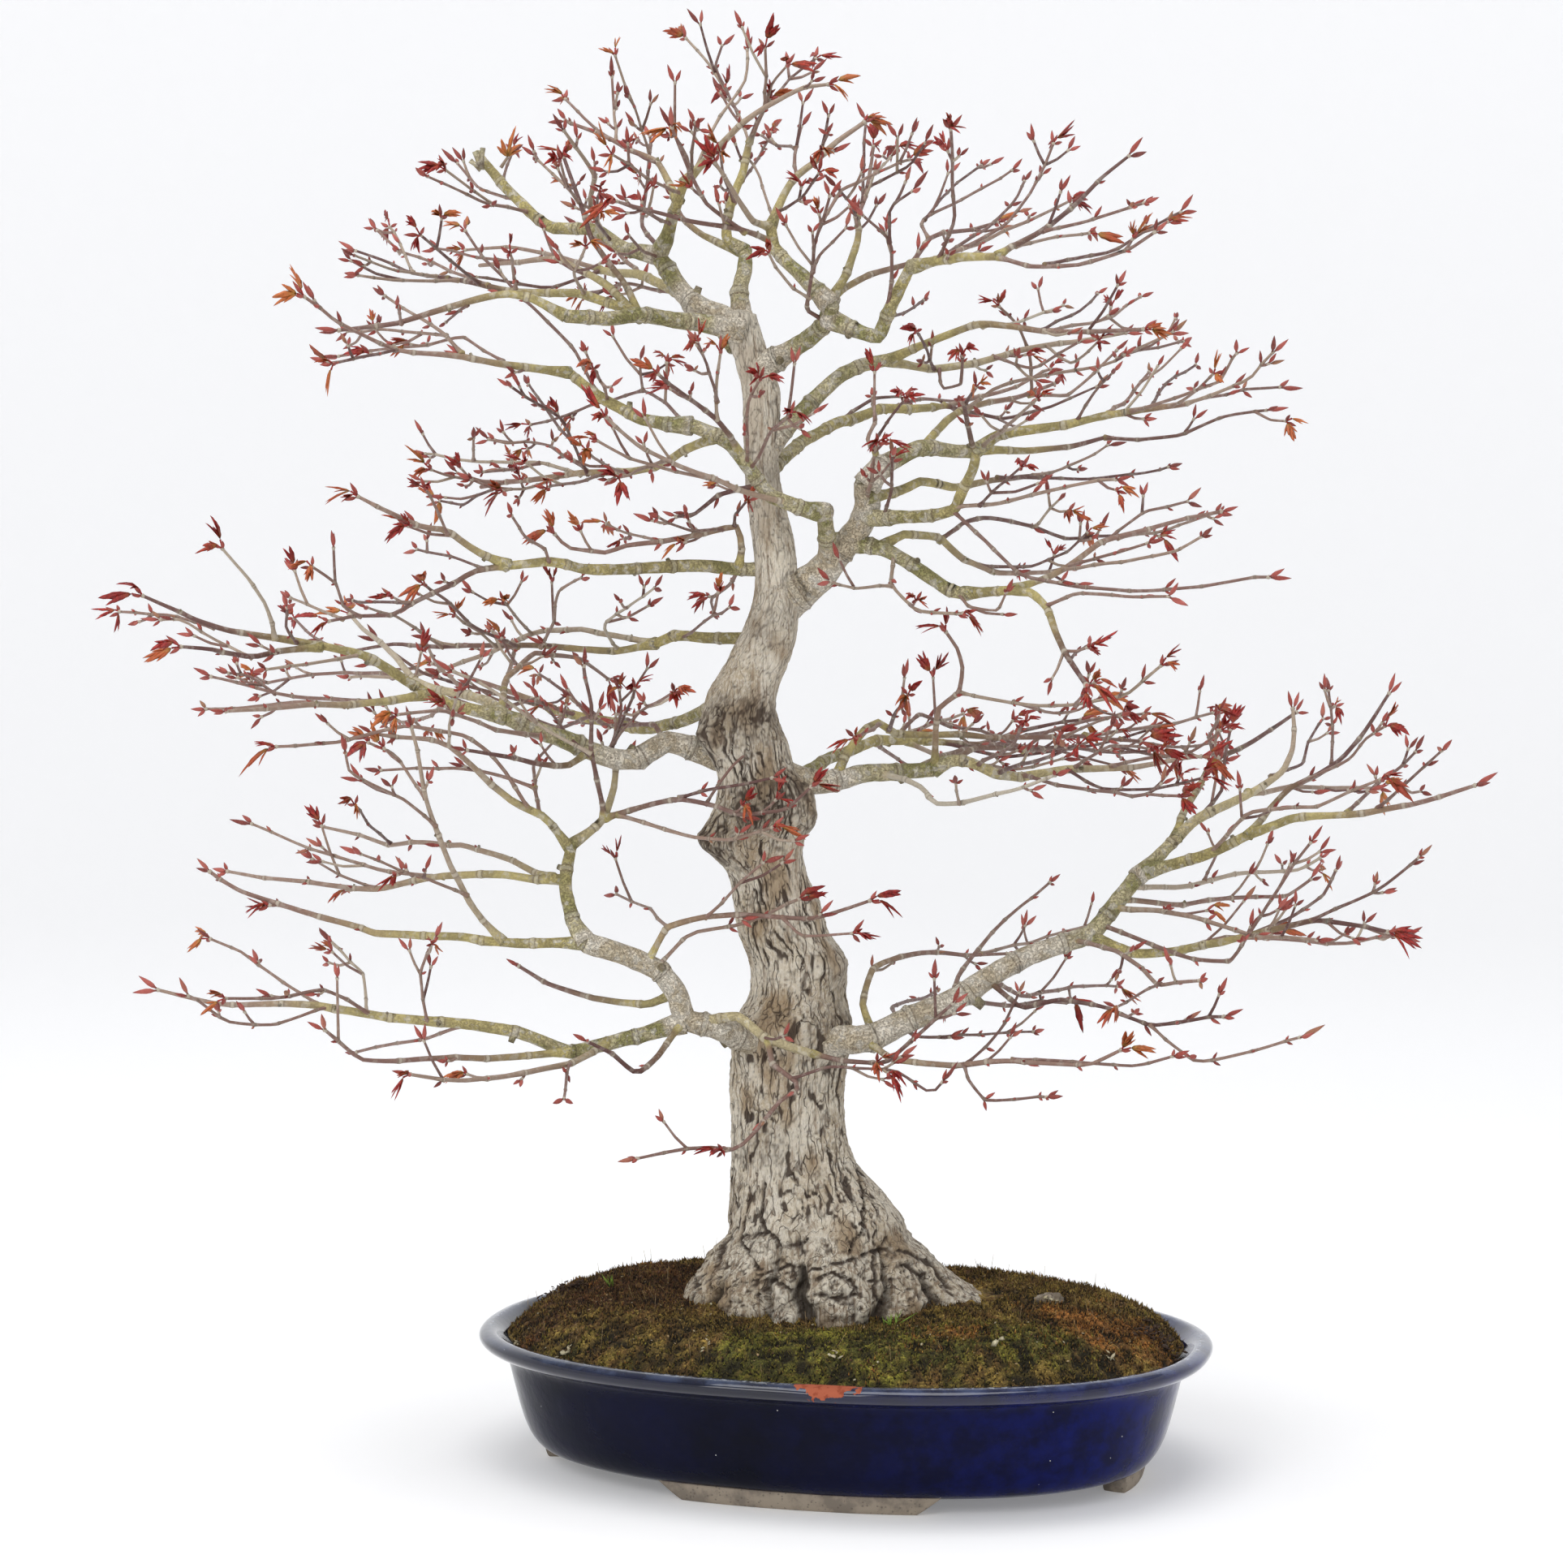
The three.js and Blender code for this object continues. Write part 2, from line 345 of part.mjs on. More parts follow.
    [-40, 2.6, 2, "leaf", [-30, 554, -65, 563, -85, 569, -103, 578]],
    [-70, 3.6, 2.4, "leaf", [-24, 573, -36, 590, -57, 607, -69, 615]],
    [-30, 2.6, 2, "leaf", [-36, 590, -36, 605, -34, 627]],
    [-60, 2.6, 2, "leaf", [-36, 600, -41, 620, -47, 633]],
    [-90, 2.6, 2, "leaf", [-17, 564, -5, 583, 5, 593]],
    [-70, 2.6, 2, "leaf", [-19, 567, -18, 600, -12, 612]],
    [-110, 2.8, 2, "leaf", [-62, 568, -80, 562, -91, 557]],
    [-90, 2.6, 2, "leaf", [-100, 561, -113, 557, -131, 552]],
    [-70, 2.4, 2, "leaf", [-125, 560, -140, 554, -156, 551]],
    [-90, 2.6, 2, "leaf", [-85, 561, -100, 566, -109, 573]],
    [24, 3.4, 2.4, "pair", [-9, 555, -35, 548, -48, 539, -59, 537]],
  ]],
  ["spray_upper_left", "trunk", [-22, 641, -4], -13, [
    [-46, 10, 7, "cut", [-48, 646, -60, 646, -80, 648, -100, 646, -120, 648]],
    [-10, 5, 2.6, "pair", [-120, 648, -138, 657, -152, 659, -172, 655, -190, 650, -214, 643, -247, 640]],
    [30, 2.4, 2, "bud", [-175, 654, -187, 645]],
    [-30, 2.4, 2, "bud", [-212, 644, -214, 653]],
    [60, 6, 3, "cut", [-78, 648, -95, 657, -112, 662, -140, 663, -163, 666, -185, 670]],
    [40, 2.8, 2, "pair", [-185, 670, -207, 674, -220, 680, -237, 686]],
    [-60, 2.6, 2, "bud", [-180, 669, -215, 668, -236, 671]],
    [90, 2.4, 2, "leaf", [-205, 674, -212, 690, -218, 700]],
    [100, 2.8, 2, "pair", [-163, 666, -190, 678, -212, 686, -225, 698]],
    [-70, 2.6, 2, "leaf", [-168, 667, -185, 680, -201, 693]],
    [-70, 2.4, 2, "bud", [-192, 671, -215, 675, -238, 682]],
    [110, 5, 2.8, "cut", [-81, 648, -95, 664, -112, 674, -122, 680, -150, 680, -168, 678]],
    [60, 2.4, 2, "pair", [-150, 680, -175, 684, -192, 688]],
    [-60, 2.6, 2, "leaf", [-148, 664, -151, 683]],
    [-80, 2.6, 2, "leaf", [-110, 661, -115, 672, -109, 686]],
    [55, 4, 2.6, "leaf", [-79, 648, -88, 668, -95, 678, -105, 692, -112, 712, -121, 737]],
  ]],
  ["spray_left_leader", "trunk", [-26, 642, 2], 9, [
    [14, 13, 9, "cut", [-46, 656, -55, 664, -64, 675, -69, 683]],
    [70, 8, 5, "cut", [-69, 683, -88, 687, -103, 696, -128, 698, -140, 707, -153, 720, -169, 740]],
    [-80, 2.8, 2, "bud", [-140, 707, -165, 712, -197, 726]],
    [-30, 2.4, 2, "leaf", [-160, 711, -175, 721, -187, 730]],
    [50, 2.6, 2, "pair", [-148, 714, -168, 721, -180, 735]],
    [40, 2.4, 2, "leaf", [-153, 720, -155, 727, -149, 742]],
    [70, 2.6, 2, "pair", [-103, 696, -114, 715, -137, 739]],
    [-70, 3.6, 2.4, "bud", [-99, 693, -106, 712, -104, 725, -113, 740, -121, 751]],
    [-60, 2.6, 2, "leaf", [-104, 708, -112, 712, -118, 720, -123, 734]],
    [-90, 2.6, 2, "leaf", [-95, 691, -103, 702, -101, 717]],
    [-30, 8, 5, "cut", [-69, 683, -64, 692, -60, 702, -57, 712, -54, 722]],
    [-40, 4.6, 2.4, "leaf", [-54, 722, -40, 737, -28, 748, -10, 763, 12, 775, 26, 776]],
    [-50, 2.6, 2, "pair", [-50, 726, -49, 740, -48, 755]],
    [30, 2.8, 2, "bud", [-49, 728, -40, 748, -27, 768, -20, 780, -19, 796]],
    [-60, 2.6, 2, "leaf", [-51, 724, -52, 735, -61, 751]],
    [80, 4.2, 2.4, "pair", [-57, 712, -70, 734, -92, 746, -120, 758]],
    [40, 2.4, 2, "leaf", [-95, 747, -110, 760, -120, 770]],
    [30, 2.4, 2, "bud", [-92, 746, -93, 760, -91, 773]],
    [110, 3.2, 2.2, "pair", [-67, 686, -77, 700, -74, 725, -73, 750]],
    [-40, 2.4, 2, "bud", [-74, 741, -80, 760, -85, 771]],
    [-90, 2.8, 2, "pair", [-61, 700, -75, 706, -94, 712]],
    [-60, 2.6, 2, "pair", [-68, 682, -77, 685, -85, 693]],
    [-70, 2.6, 2, "leaf", [-56, 717, -75, 725, -94, 737]],
  ]],
  ["spray_centre_leader", "trunk", [-22, 640, 6], 12, [
    [16, 10, 7.5, "cut", [-22, 662, -20, 672, -20, 686]],
    [60, 5, 3, "bud", [-20, 684, -32, 688, -45, 694, -55, 704, -61, 716]],
    [20, 6, 4, "cut", [-20, 685, -30, 692, -29, 703, -25, 716, -20, 730, -18, 745]],
    [-20, 3.4, 2.2, "leaf", [-18, 745, -13, 757, -6, 769]],
    [-50, 2.6, 2, "leaf", [-16, 750, -9, 765, -9, 797]],
    [60, 2.6, 2, "leaf", [-18, 745, -24, 762, -31, 775]],
    [60, 2.4, 2, "pair", [-24, 762, -37, 788, -33, 800]],
    [30, 2.4, 2, "leaf", [-31, 774, -40, 789, -53, 804]],
    [-60, 2.6, 2, "leaf", [-27, 712, -33, 728, -34, 739]],
    [-30, 2.4, 2, "leaf", [-9, 764, -5, 778, 3, 787]],
    [40, 2.4, 2, "leaf", [-7, 768, 5, 780, 19, 792]],
    [80, 2.6, 2, "leaf", [-22, 724, -12, 738, -6, 752]],
  ]],
  ["spray_right_leader", "trunk", [-14, 619, 0], -8, [
    [-36, 11, 9, "cut", [3, 630, 14, 637, 24, 646, 28, 654]],
    [24, 9, 6, "cut", [28, 654, 20, 664, 8, 675, -3, 686, -6, 698]],
    [30, 5, 3, "leaf", [-6, 698, -3, 706, 3, 718, 9, 726, 20, 735, 30, 744, 46, 756]],
    [50, 2.8, 2, "pair", [9, 726, 7, 740, 11, 754]],
    [70, 2.4, 2, "pair", [7, 742, -2, 744, -11, 750]],
    [-60, 2.4, 2, "bud", [20, 735, 26, 750]],
    [-50, 4, 2.4, "leaf", [-6, 698, -17, 702, -27, 716, -37, 733]],
    [-70, 3.6, 2.2, "leaf", [-4, 689, -25, 696, -50, 700, -75, 706, -92, 711]],
    [-50, 3, 2.2, "pair", [-20, 695, -42, 711, -52, 730, -61, 752]],
    [70, 2.4, 2, "pair", [-4, 702, -12, 726, -18, 736]],
    [30, 5.4, 3.6, "cut", [27, 656, 36, 672, 41, 690, 42, 703]],
    [-50, 2.6, 2, "pair", [42, 702, 38, 712, 31, 719]],
    [40, 3, 2.2, "leaf", [42, 703, 46, 714, 50, 728, 51, 743]],
    [60, 2.4, 2, "pair", [45, 711, 45, 735, 47, 758]],
    [80, 2.4, 2, "leaf", [50, 726, 58, 735, 64, 743]],
    [-50, 2.4, 2, "pair", [48, 720, 72, 732, 80, 744]],
    [-70, 3, 2.2, "pair", [24, 646, 15, 652, 17, 670, 20, 692, 27, 714]],
    [-40, 2.4, 2, "leaf", [16, 658, 6, 663, -7, 682]],
    [70, 2.6, 2, "leaf", [21, 700, 33, 718, 60, 730, 71, 735]],
    [-60, 2.4, 2, "leaf", [-3, 706, 12, 714, 21, 727]],
    [-50, 2.4, 2, "pair", [17, 672, 22, 682, 36, 696]],
    [-30, 8.5, 6, "cut", [25, 648, 42, 639, 53, 636, 58, 650, 65, 664, 72, 675]],
    [-50, 6, 4, "cut", [72, 675, 88, 680, 100, 681, 120, 680]],
    [-40, 3, 2.2, "bud", [120, 680, 140, 675, 165, 675, 195, 684, 208, 693]],
    [40, 2.6, 2, "pair", [146, 675, 180, 682, 208, 697, 222, 705]],
    [30, 3.6, 2.2, "pair", [120, 680, 145, 694, 162, 708, 179, 725, 193, 736]],
    [-50, 2.4, 2, "bud", [145, 694, 170, 699, 202, 709]],
    [60, 2.4, 2, "leaf", [130, 686, 155, 691, 171, 694]],
    [90, 3, 2, "leaf", [88, 680, 115, 691, 140, 703, 161, 713]],
    [60, 2.6, 2, "leaf", [100, 684, 125, 699, 140, 718, 151, 744]],
    [120, 2.8, 2, "pair", [85, 679, 115, 697, 131, 715, 135, 724]],
    [130, 4, 2.6, "leaf", [29, 656, 50, 673, 72, 680, 82, 692, 100, 697, 120, 702]],
    [70, 2.6, 2, "pair", [82, 692, 78, 702, 95, 712, 128, 731]],
    [-70, 2.6, 2.2, "leaf", [88, 680, 96, 700, 95, 720, 94, 750]],
    [80, 2.4, 2, "bud", [80, 702, 90, 717, 111, 734]],
    [-60, 2.8, 2, "pair", [59, 652, 61, 667, 60, 688, 45, 703]],
    [-40, 2.4, 2, "pair", [60, 688, 61, 706, 73, 716]],
    [80, 2.4, 2, "bud", [57, 648, 68, 651, 79, 658]],
  ]],
  ["spray_right_620", "trunk", [-10, 572, 0], 0, [
    [20, 10, 7, "cut", [7, 590, 22, 605, 33, 616, 45, 622, 60, 625]],
    [-60, 5, 2.6, "leaf", [60, 625, 75, 631, 90, 637, 112, 643, 155, 640, 202, 641]],
    [70, 5, 2.6, "pair", [58, 624, 85, 620, 108, 624, 130, 631, 160, 635, 192, 641]],
    [70, 2.4, 2, "pair", [145, 640, 165, 652, 176, 662]],
    [120, 2.6, 2, "pair", [150, 640, 185, 650, 200, 661]],
    [80, 2.6, 2, "pair", [112, 643, 135, 647, 157, 656]],
    [-70, 2.6, 2, "leaf", [85, 620, 82, 630, 75, 640]],
    [-50, 2.4, 2, "leaf", [88, 620, 90, 610, 100, 612, 101, 627]],
    [-90, 2.6, 2, "pair", [118, 627, 140, 620, 166, 634]],
    [-80, 2.4, 2, "leaf", [148, 633, 162, 624, 177, 635]],
  ]],
  ["spray_back_low", "trunk", [-4, 372, 4], 31, [
    [120, 9, 5, "cut", [0, 381, 12, 392, 30, 404, 52, 412, 80, 414]],
    [20, 4, 2.4, "leaf", [80, 414, 110, 412, 140, 420, 168, 426]],
    [20, 3.4, 2.2, "pair", [70, 413, 100, 402, 130, 398, 158, 404]],
    [90, 3.4, 2.2, "leaf", [60, 413, 84, 424, 102, 430]],
    [80, 3, 2.2, "pair", [52, 412, 66, 402, 84, 398]],
    [-10, 3, 2.2, "leaf", [90, 413, 125, 405, 176, 412, 206, 420]],
    [40, 2.8, 2, "leaf", [110, 412, 150, 410, 190, 400]],
  ]],
  ["spray_back_left", "trunk", [-24, 436, 6], 24, [
    [110, 8, 5, "cut", [-36, 431, -50, 426, -72, 421, -100, 424, -128, 431]],
    [70, 4, 2.4, "leaf", [-128, 431, -150, 440, -172, 448, -196, 458]],
    [40, 3.2, 2.2, "pair", [-110, 426, -140, 436, -166, 432, -190, 441]],
    [90, 3.2, 2.2, "leaf", [-100, 424, -120, 440, -136, 452]],
    [-20, 3, 2.2, "pair", [-128, 431, -165, 442, -200, 452, -226, 470]],
    [90, 3, 2, "pair", [-72, 421, -92, 426, -112, 424]],
  ]],
  ["spray_back_high", "trunk", [-12, 556, 4], 12, [
    [110, 8, 4.6, "cut", [-2, 566, 12, 580, 34, 592, 58, 598, 84, 600]],
    [60, 3.6, 2.2, "leaf", [84, 600, 108, 606, 132, 612, 150, 622]],
    [80, 3.2, 2.2, "pair", [58, 598, 78, 606, 98, 604]],
    [50, 3, 2.2, "leaf", [34, 592, 52, 604, 66, 606]],
    [30, 3, 2, "pair", [90, 601, 124, 594, 150, 600, 176, 612]],
  ]],
  ["spray_back_top", "trunk", [-26, 632, 6], 18, [
    [100, 7, 4.4, "cut", [-38, 646, -54, 660, -78, 672, -100, 676]],
    [60, 3.4, 2.2, "leaf", [-100, 676, -124, 684, -150, 690, -176, 688]],
    [70, 3.2, 2.2, "pair", [-78, 672, -96, 690, -112, 700]],
    [90, 3, 2.2, "leaf", [-60, 663, -84, 668, -110, 664]],
    [-20, 2.8, 2, "pair", [-100, 676, -130, 666, -170, 672]],
  ]],
];

// Geometry helpers

// A closed solid through rings of points that all run counterclockwise seen from the last ring's end.
// A tip closes the last end to a point.
function loft(rings, tip = null) {
  const sides = rings[0].length;
  const points = rings.flat();
  const faces = [];
  for (let i = 0; i + 1 < rings.length; i += 1) {
    for (let k = 0; k < sides; k += 1) {
      const a = i * sides + k;
      const b = i * sides + ((k + 1) % sides);
      faces.push(a, b, b + sides, a, b + sides, a + sides);
    }
  }
  closeEnd(points, faces, 0, sides, false);
  const last = (rings.length - 1) * sides;
  if (tip) {
    points.push(tip);
    for (let k = 0; k < sides; k += 1) faces.push(last + k, last + ((k + 1) % sides), points.length - 1);
  } else {
    closeEnd(points, faces, last, sides, true);
  }
  return solid(points, faces);
}

function closeEnd(points, faces, first, sides, atTop) {
  const flip = (a, b, c) => (atTop ? faces.push(a, b, c) : faces.push(a, c, b));
  if (sides < 9) {
    for (let k = 1; k + 1 < sides; k += 1) flip(first, first + k, first + k + 1);
    return;
  }
  const middle = new THREE.Vector3();
  for (let k = 0; k < sides; k += 1) middle.addScaledVector(points[first + k], 1 / sides);
  points.push(middle);
  for (let k = 0; k < sides; k += 1) flip(points.length - 1, first + k, first + ((k + 1) % sides));
}

function solid(points, faces) {
  const vertProperties = new Float32Array(points.flatMap((p) => [p.x, p.y, p.z]));
  return new wasm.Manifold(new wasm.Mesh({ numProp: 3, vertProperties, triVerts: new Uint32Array(faces) }));
}

function box(x0, x1, y0, y1, z0, z1) {
  return wasm.Manifold.cube([x1 - x0, y1 - y0, z1 - z0]).translate([x0, y0, z0]);
}

// A round bar through points, each with its radius, on few sides. A last radius of 0 is a point.
function bar(points, radii, sides) {
  const rings = [];
  const pointed = radii[radii.length - 1] === 0;
  let side = null;
  for (let i = 0; i < points.length; i += 1) {
    const before = points[Math.max(i - 1, 0)];
    const after = points[Math.min(i + 1, points.length - 1)];
    const along = new THREE.Vector3().subVectors(after, before).normalize();
    if (!side) side = new THREE.Vector3(0.31, 0.83, 0.46).cross(along);
    side = side.clone().addScaledVector(along, -side.dot(along)).normalize();
    const up = new THREE.Vector3().crossVectors(along, side);
    const ring = [];
    for (let k = 0; k < sides; k += 1) {
      const turn = (2 * Math.PI * k) / sides;
      const spoke = side.clone().multiplyScalar(Math.cos(turn)).addScaledVector(up, Math.sin(turn));
      ring.push(points[i].clone().addScaledVector(spoke, radii[i]));
    }
    rings.push(ring);
  }
  if (!pointed) return loft(rings);
  rings.pop();
  return loft(rings, points[points.length - 1]);
}

// A bud or a leaf lobe: two points with its widest ring between them.
function spindle(root, belly, point, radius) {
  const along = point.clone().sub(root).normalize();
  const side = new THREE.Vector3(0.31, 0.83, 0.46).cross(along).normalize();
  const up = new THREE.Vector3().crossVectors(along, side);
  const points = [root, point];
  for (let k = 0; k < 3; k += 1) {
    const turn = (2 * Math.PI * k) / 3;
    const spoke = side.clone().multiplyScalar(Math.cos(turn)).addScaledVector(up, Math.sin(turn));
    points.push(belly.clone().addScaledVector(spoke, radius));
  }
  return solid(points, [0, 3, 2, 0, 4, 3, 0, 2, 4, 1, 2, 3, 1, 3, 4, 1, 4, 2]);
}

// The place at a depth that the front elevation shows at x and z.
function place(x, z, depth) {
  const near = (depth - EYE.y) / -EYE.y;
  return new THREE.Vector3(
    EYE.x + (x - EYE.x) * near,
    depth,
    EYE.z + (z - EYE.z) * near,
  );
}

// Pot

function potRing(z, halfLength, halfWidth) {
  const ring = [];
  const turn = THREE.MathUtils.degToRad(POT.turn);
  for (let k = 0; k < POT.sides; k += 1) {
    const angle = (2 * Math.PI * k) / POT.sides;
    const c = Math.cos(angle);
    const s = Math.sin(angle);
    const x = halfLength * Math.sign(c) * Math.abs(c) ** (2 / POT.power);
    const y = halfWidth * Math.sign(s) * Math.abs(s) ** (2 / POT.power);
    ring.push(new THREE.Vector3(
      POT.x + x * Math.cos(turn) - y * Math.sin(turn),
      x * Math.sin(turn) + y * Math.cos(turn),
      z,
    ));
  }
  return ring;
}

function turnedBox(halfLength, halfWidth, z0, z1) {
  return box(-halfLength, halfLength, -halfWidth, halfWidth, z0, z1)
    .rotate([0, 0, POT.turn])
    .translate([POT.x, 0, 0]);
}

const DRAIN = { x: 88, radius: 9, plate: 17, thick: 1.2 };

function drainPlace(side) {
  const turn = THREE.MathUtils.degToRad(POT.turn);
  return [POT.x + side * DRAIN.x * Math.cos(turn), side * DRAIN.x * Math.sin(turn)];
}

function makePot() {
  const wall = loft(POT_WALL.map(([z, a, b]) => potRing(z, a, b)));
  const footBand = loft([potRing(0, 170, 109), potRing(POT.foot + 1, 173, 112)])
    .subtract(loft([potRing(-1, 157, 96), potRing(POT.foot + 2, 160, 99)]));
  const longFeet = footBand.intersect(turnedBox(80, 130, -1, POT.foot + 2));
  const endFeet = footBand.intersect(turnedBox(190, 34, -1, POT.foot + 2));
  let pot = wasm.Manifold.union([wall, longFeet, endFeet]);
  for (const side of [-1, 1]) {
    const [x, y] = drainPlace(side);
    const hole = wasm.Manifold.cylinder(30, DRAIN.radius, DRAIN.radius, 16).translate([x, y, 0]);
    pot = pot.subtract(hole);
  }
  return pot;
}

function makeDrainPlate(side) {
  const half = DRAIN.plate;
  const [x, y] = drainPlace(side);
  let plate = box(-half, half, -half, half, 0, DRAIN.thick);
  for (const u of [-9, -3, 3, 9]) {
    plate = plate.subtract(box(u - 1.5, u + 1.5, -12, 12, -1, 3));
  }
  return plate.rotate([0, 0, POT.turn]).translate([x, y, POT.floor + FIT]);
}

// Soil, moss and stone

// The mound's height over the share of the way from the middle to the pot's wall.
function moundHeight(share, angle) {
  const swell = 1.6 * Math.sin(3 * angle + 1) * share + 1.1 * Math.sin(7 * angle) * share * share;
  return MOUND.rim + MOUND.rise * (1 - share ** MOUND.fall) + swell * (1 - share ** 6);
}

// A block of soil from a level up to the mound, lowered by a skin, out to a share of the pot's wall.
function moundBlock(lowest, skin, reach) {
  const levels = skin > 0 ? [0.97, 0.85, 0.6] : [0.97, 0.9, 0.78, 0.5];
  const rings = [];
  if (lowest < MOUND.rim - 20) {
    rings.push(potRing(lowest, 165 * reach - FIT, 104 * reach - FIT));
    rings.push(potRing(24, 172 * reach - FIT, 111 * reach - FIT));
    rings.push(potRing(58, 183.5 * reach - FIT, 122.5 * reach - FIT));
  } else {
    rings.push(potRing(lowest, 188 * reach, 127 * reach));
  }
  for (const share of levels) {
    const ring = potRing(0, 194 * share * reach, 133 * share * reach);
    ring.forEach((point, k) => {
      point.z = moundHeight(share, (2 * Math.PI * k) / POT.sides) - skin;
    });
    rings.push(ring);
  }
  return loft(rings);
}

function makeSoil(rootHole) {
  return moundBlock(POT.floor + FIT + DRAIN.thick + FIT, MOUND.moss, 1).subtract(rootHole);
}

function makeMoss(rootHole) {
  const carpet = moundBlock(MOUND.rim - 8, 0, 0.985);
  return carpet.subtract(moundBlock(POT.floor, MOUND.moss - FIT, 1.02)).subtract(rootHole);
}

function makeStone() {
  const rings = [];
  for (const [z, grow] of [[-4, 0.7], [0, 1], [4, 0.85], [6, 0.45]]) {
    const ring = [];
    for (let k = 0; k < 10; k += 1) {
      const angle = (2 * Math.PI * k) / 10;
      const rough = grow * (1 + 0.12 * Math.sin(2.3 * k));
      ring.push(new THREE.Vector3(9 * rough * Math.cos(angle), 6.5 * rough * Math.sin(angle), z));
    }
    rings.push(ring);
  }
  const seat = place(152, 91, -25);
  const seated = loft(rings).rotate([12, 10, 20]).translate([seat.x, seat.y, seat.z]);
  return seated.subtract(moundBlock(MOUND.rim - 8, -FIT, 0.985));
}

// Trunk

function depthSway(z) {
  return 5 * Math.sin((z - 140) / 75) * Math.min(1, (z - 120) / 200);
}

function trunkRing(z, left, right, grow) {
  const ring = [];
  const middle = (left + right) / 2;
  const half = (right - left) / 2 + grow;
  for (let k = 0; k < TRUNK_SIDES; k += 1) {
    const angle = (2 * Math.PI * k) / TRUNK_SIDES;
    const flute = 1 + 0.035 * Math.sin(3 * angle + z / 40) + 0.02 * Math.sin(5 * angle - z / 23);
    ring.push(new THREE.Vector3(
      middle + half * flute * Math.cos(angle),
      depthSway(z) + 0.92 * half * flute * Math.sin(angle),
      z,
    ));
  }
  return ring;
}

// How far a surface root carries the outline out at an angle.
function rootReach(angle) {
  let reach = 0;
  for (const [direction, length, width] of ROOTS) {
    const apart = THREE.MathUtils.euclideanModulo(angle - direction + 180, 360) - 180;
    reach += length * Math.exp(-((apart / width) ** 2));
  }
  return reach;
}

function rootRing(z, grow, sides) {
  const flare = Math.max(0, (BARE_TRUNK - z) / (BARE_TRUNK - 76)) ** 1.5;
  const ring = [];
  for (let k = 0; k < sides; k += 1) {
    const turn = (2 * Math.PI * k) / sides;
    const reach = 50 + 7 * flare + flare * rootReach(THREE.MathUtils.radToDeg(turn)) + grow;
    ring.push(new THREE.Vector3(
      ROOT_CENTRE.x + reach * Math.cos(turn),
      ROOT_CENTRE.y + 0.9 * reach * Math.sin(turn),
      z,
    ));
  }
  return ring;
}

function makeRootFlare(grow) {
  const levels = [ROOT_BOTTOM, 80, 92, 104, 118];
  const rings = levels.map((z) => rootRing(z - (z === ROOT_BOTTOM ? grow : 0), grow, ROOT_SIDES));
  if (grow) return loft(rings);
  const neck = [];
  for (let k = 0; k < ROOT_SIDES; k += 1) {
    const turn = (2 * Math.PI * k) / ROOT_SIDES;
    neck.push(new THREE.Vector3(20 + (46 + grow) * Math.cos(turn), 0.9 * (46 + grow) * Math.sin(turn), 143));
  }
  return loft([...rings, neck]);
}

function makeTrunk(stubs) {
  const stem = loft([
    trunkRing(118, -36, 80, -6),
    ...TRUNK_EDGES.map(([z, left, right]) => trunkRing(z, left, right, 0)),
  ]);
  const knobs = KNOBS.map(([x0, z0, d0, x1, z1, d1, thick]) => {
    const inner = place(x0, z0, d0);
    const outer = place(x1, z1, d1);
    return bar([inner, outer], [thick / 2, thick / 2.2], 8);
  });
  return largestBody(wasm.Manifold.union([makeRootFlare(0), stem, ...knobs, ...stubs]).simplify(SLIVER));
}

// Limbs, twigs, buds and leaves

// The limbs of a spray as routes in space, each started on the nearest limb before it.
function routesOf([name, , , jointDepth, limbs]) {
  const routes = [];
  limbs.forEach(([gain, thick0, thick1, tip, flat]) => {
    let front = [];
    for (let i = 0; i < flat.length; i += 2) front.push([flat[i], flat[i + 1]]);
    front = straighten(front, thick0 > 4.5 ? STRAIGHTEN.limb : STRAIGHTEN.twig);
    const start = routes.length ? nearestOn(routes, front[0]) : { depth: jointDepth, front: front[0] };
    front[0] = start.front;
    const steps = [0];
    for (let i = 1; i < front.length; i += 1) {
      steps.push(steps[i - 1] + Math.hypot(front[i][0] - front[i - 1][0], front[i][1] - front[i - 1][1]));
    }
    const length = steps[steps.length - 1];
    const depths = steps.map((s) => start.depth + gain * (s / length));
    const points = front.map(([x, z], i) => place(x, z, depths[i]));
    const radii = steps.map((s) => (thick0 + (thick1 - thick0) * (s / length)) / 2);
    routes.push({ name, front, depths, points, radii, tip, length });
  });
  return routes;
}

// A route without the bends that are smaller than a tolerance.
function straighten(front, tolerance) {
  const [ax, az] = front[0];
  const [bx, bz] = front[front.length - 1];
  const span = Math.hypot(bx - ax, bz - az) || 1;
  let far = 0;
  let most = tolerance;
  front.slice(1, -1).forEach(([x, z], i) => {
    const away = Math.abs((bx - ax) * (z - az) - (bz - az) * (x - ax)) / span;
    if (away > most) {
      most = away;
      far = i + 1;
    }
  });
  if (!far) return [front[0], front[front.length - 1]];
  const head = straighten(front.slice(0, far + 1), tolerance);
  return [...head.slice(0, -1), ...straighten(front.slice(far), tolerance)];
}

function nearestOn(routes, [x, z]) {
  let best = { away: Infinity };
  for (const { front, depths } of routes) {
    for (let i = 0; i + 1 < front.length; i += 1) {
      const [ax, az] = front[i];
      const bx = front[i + 1][0] - ax;
      const bz = front[i + 1][1] - az;
      const share = Math.min(1, Math.max(0, ((x - ax) * bx + (z - az) * bz) / (bx * bx + bz * bz)));
      const away = Math.hypot(ax + share * bx - x, az + share * bz - z);
      if (away < best.away - 1e-6) {
        const depth = depths[i] + share * (depths[i + 1] - depths[i]);
        best = { away, depth, front: [ax + share * bx, az + share * bz] };
      }
    }
  }
  return best;
}

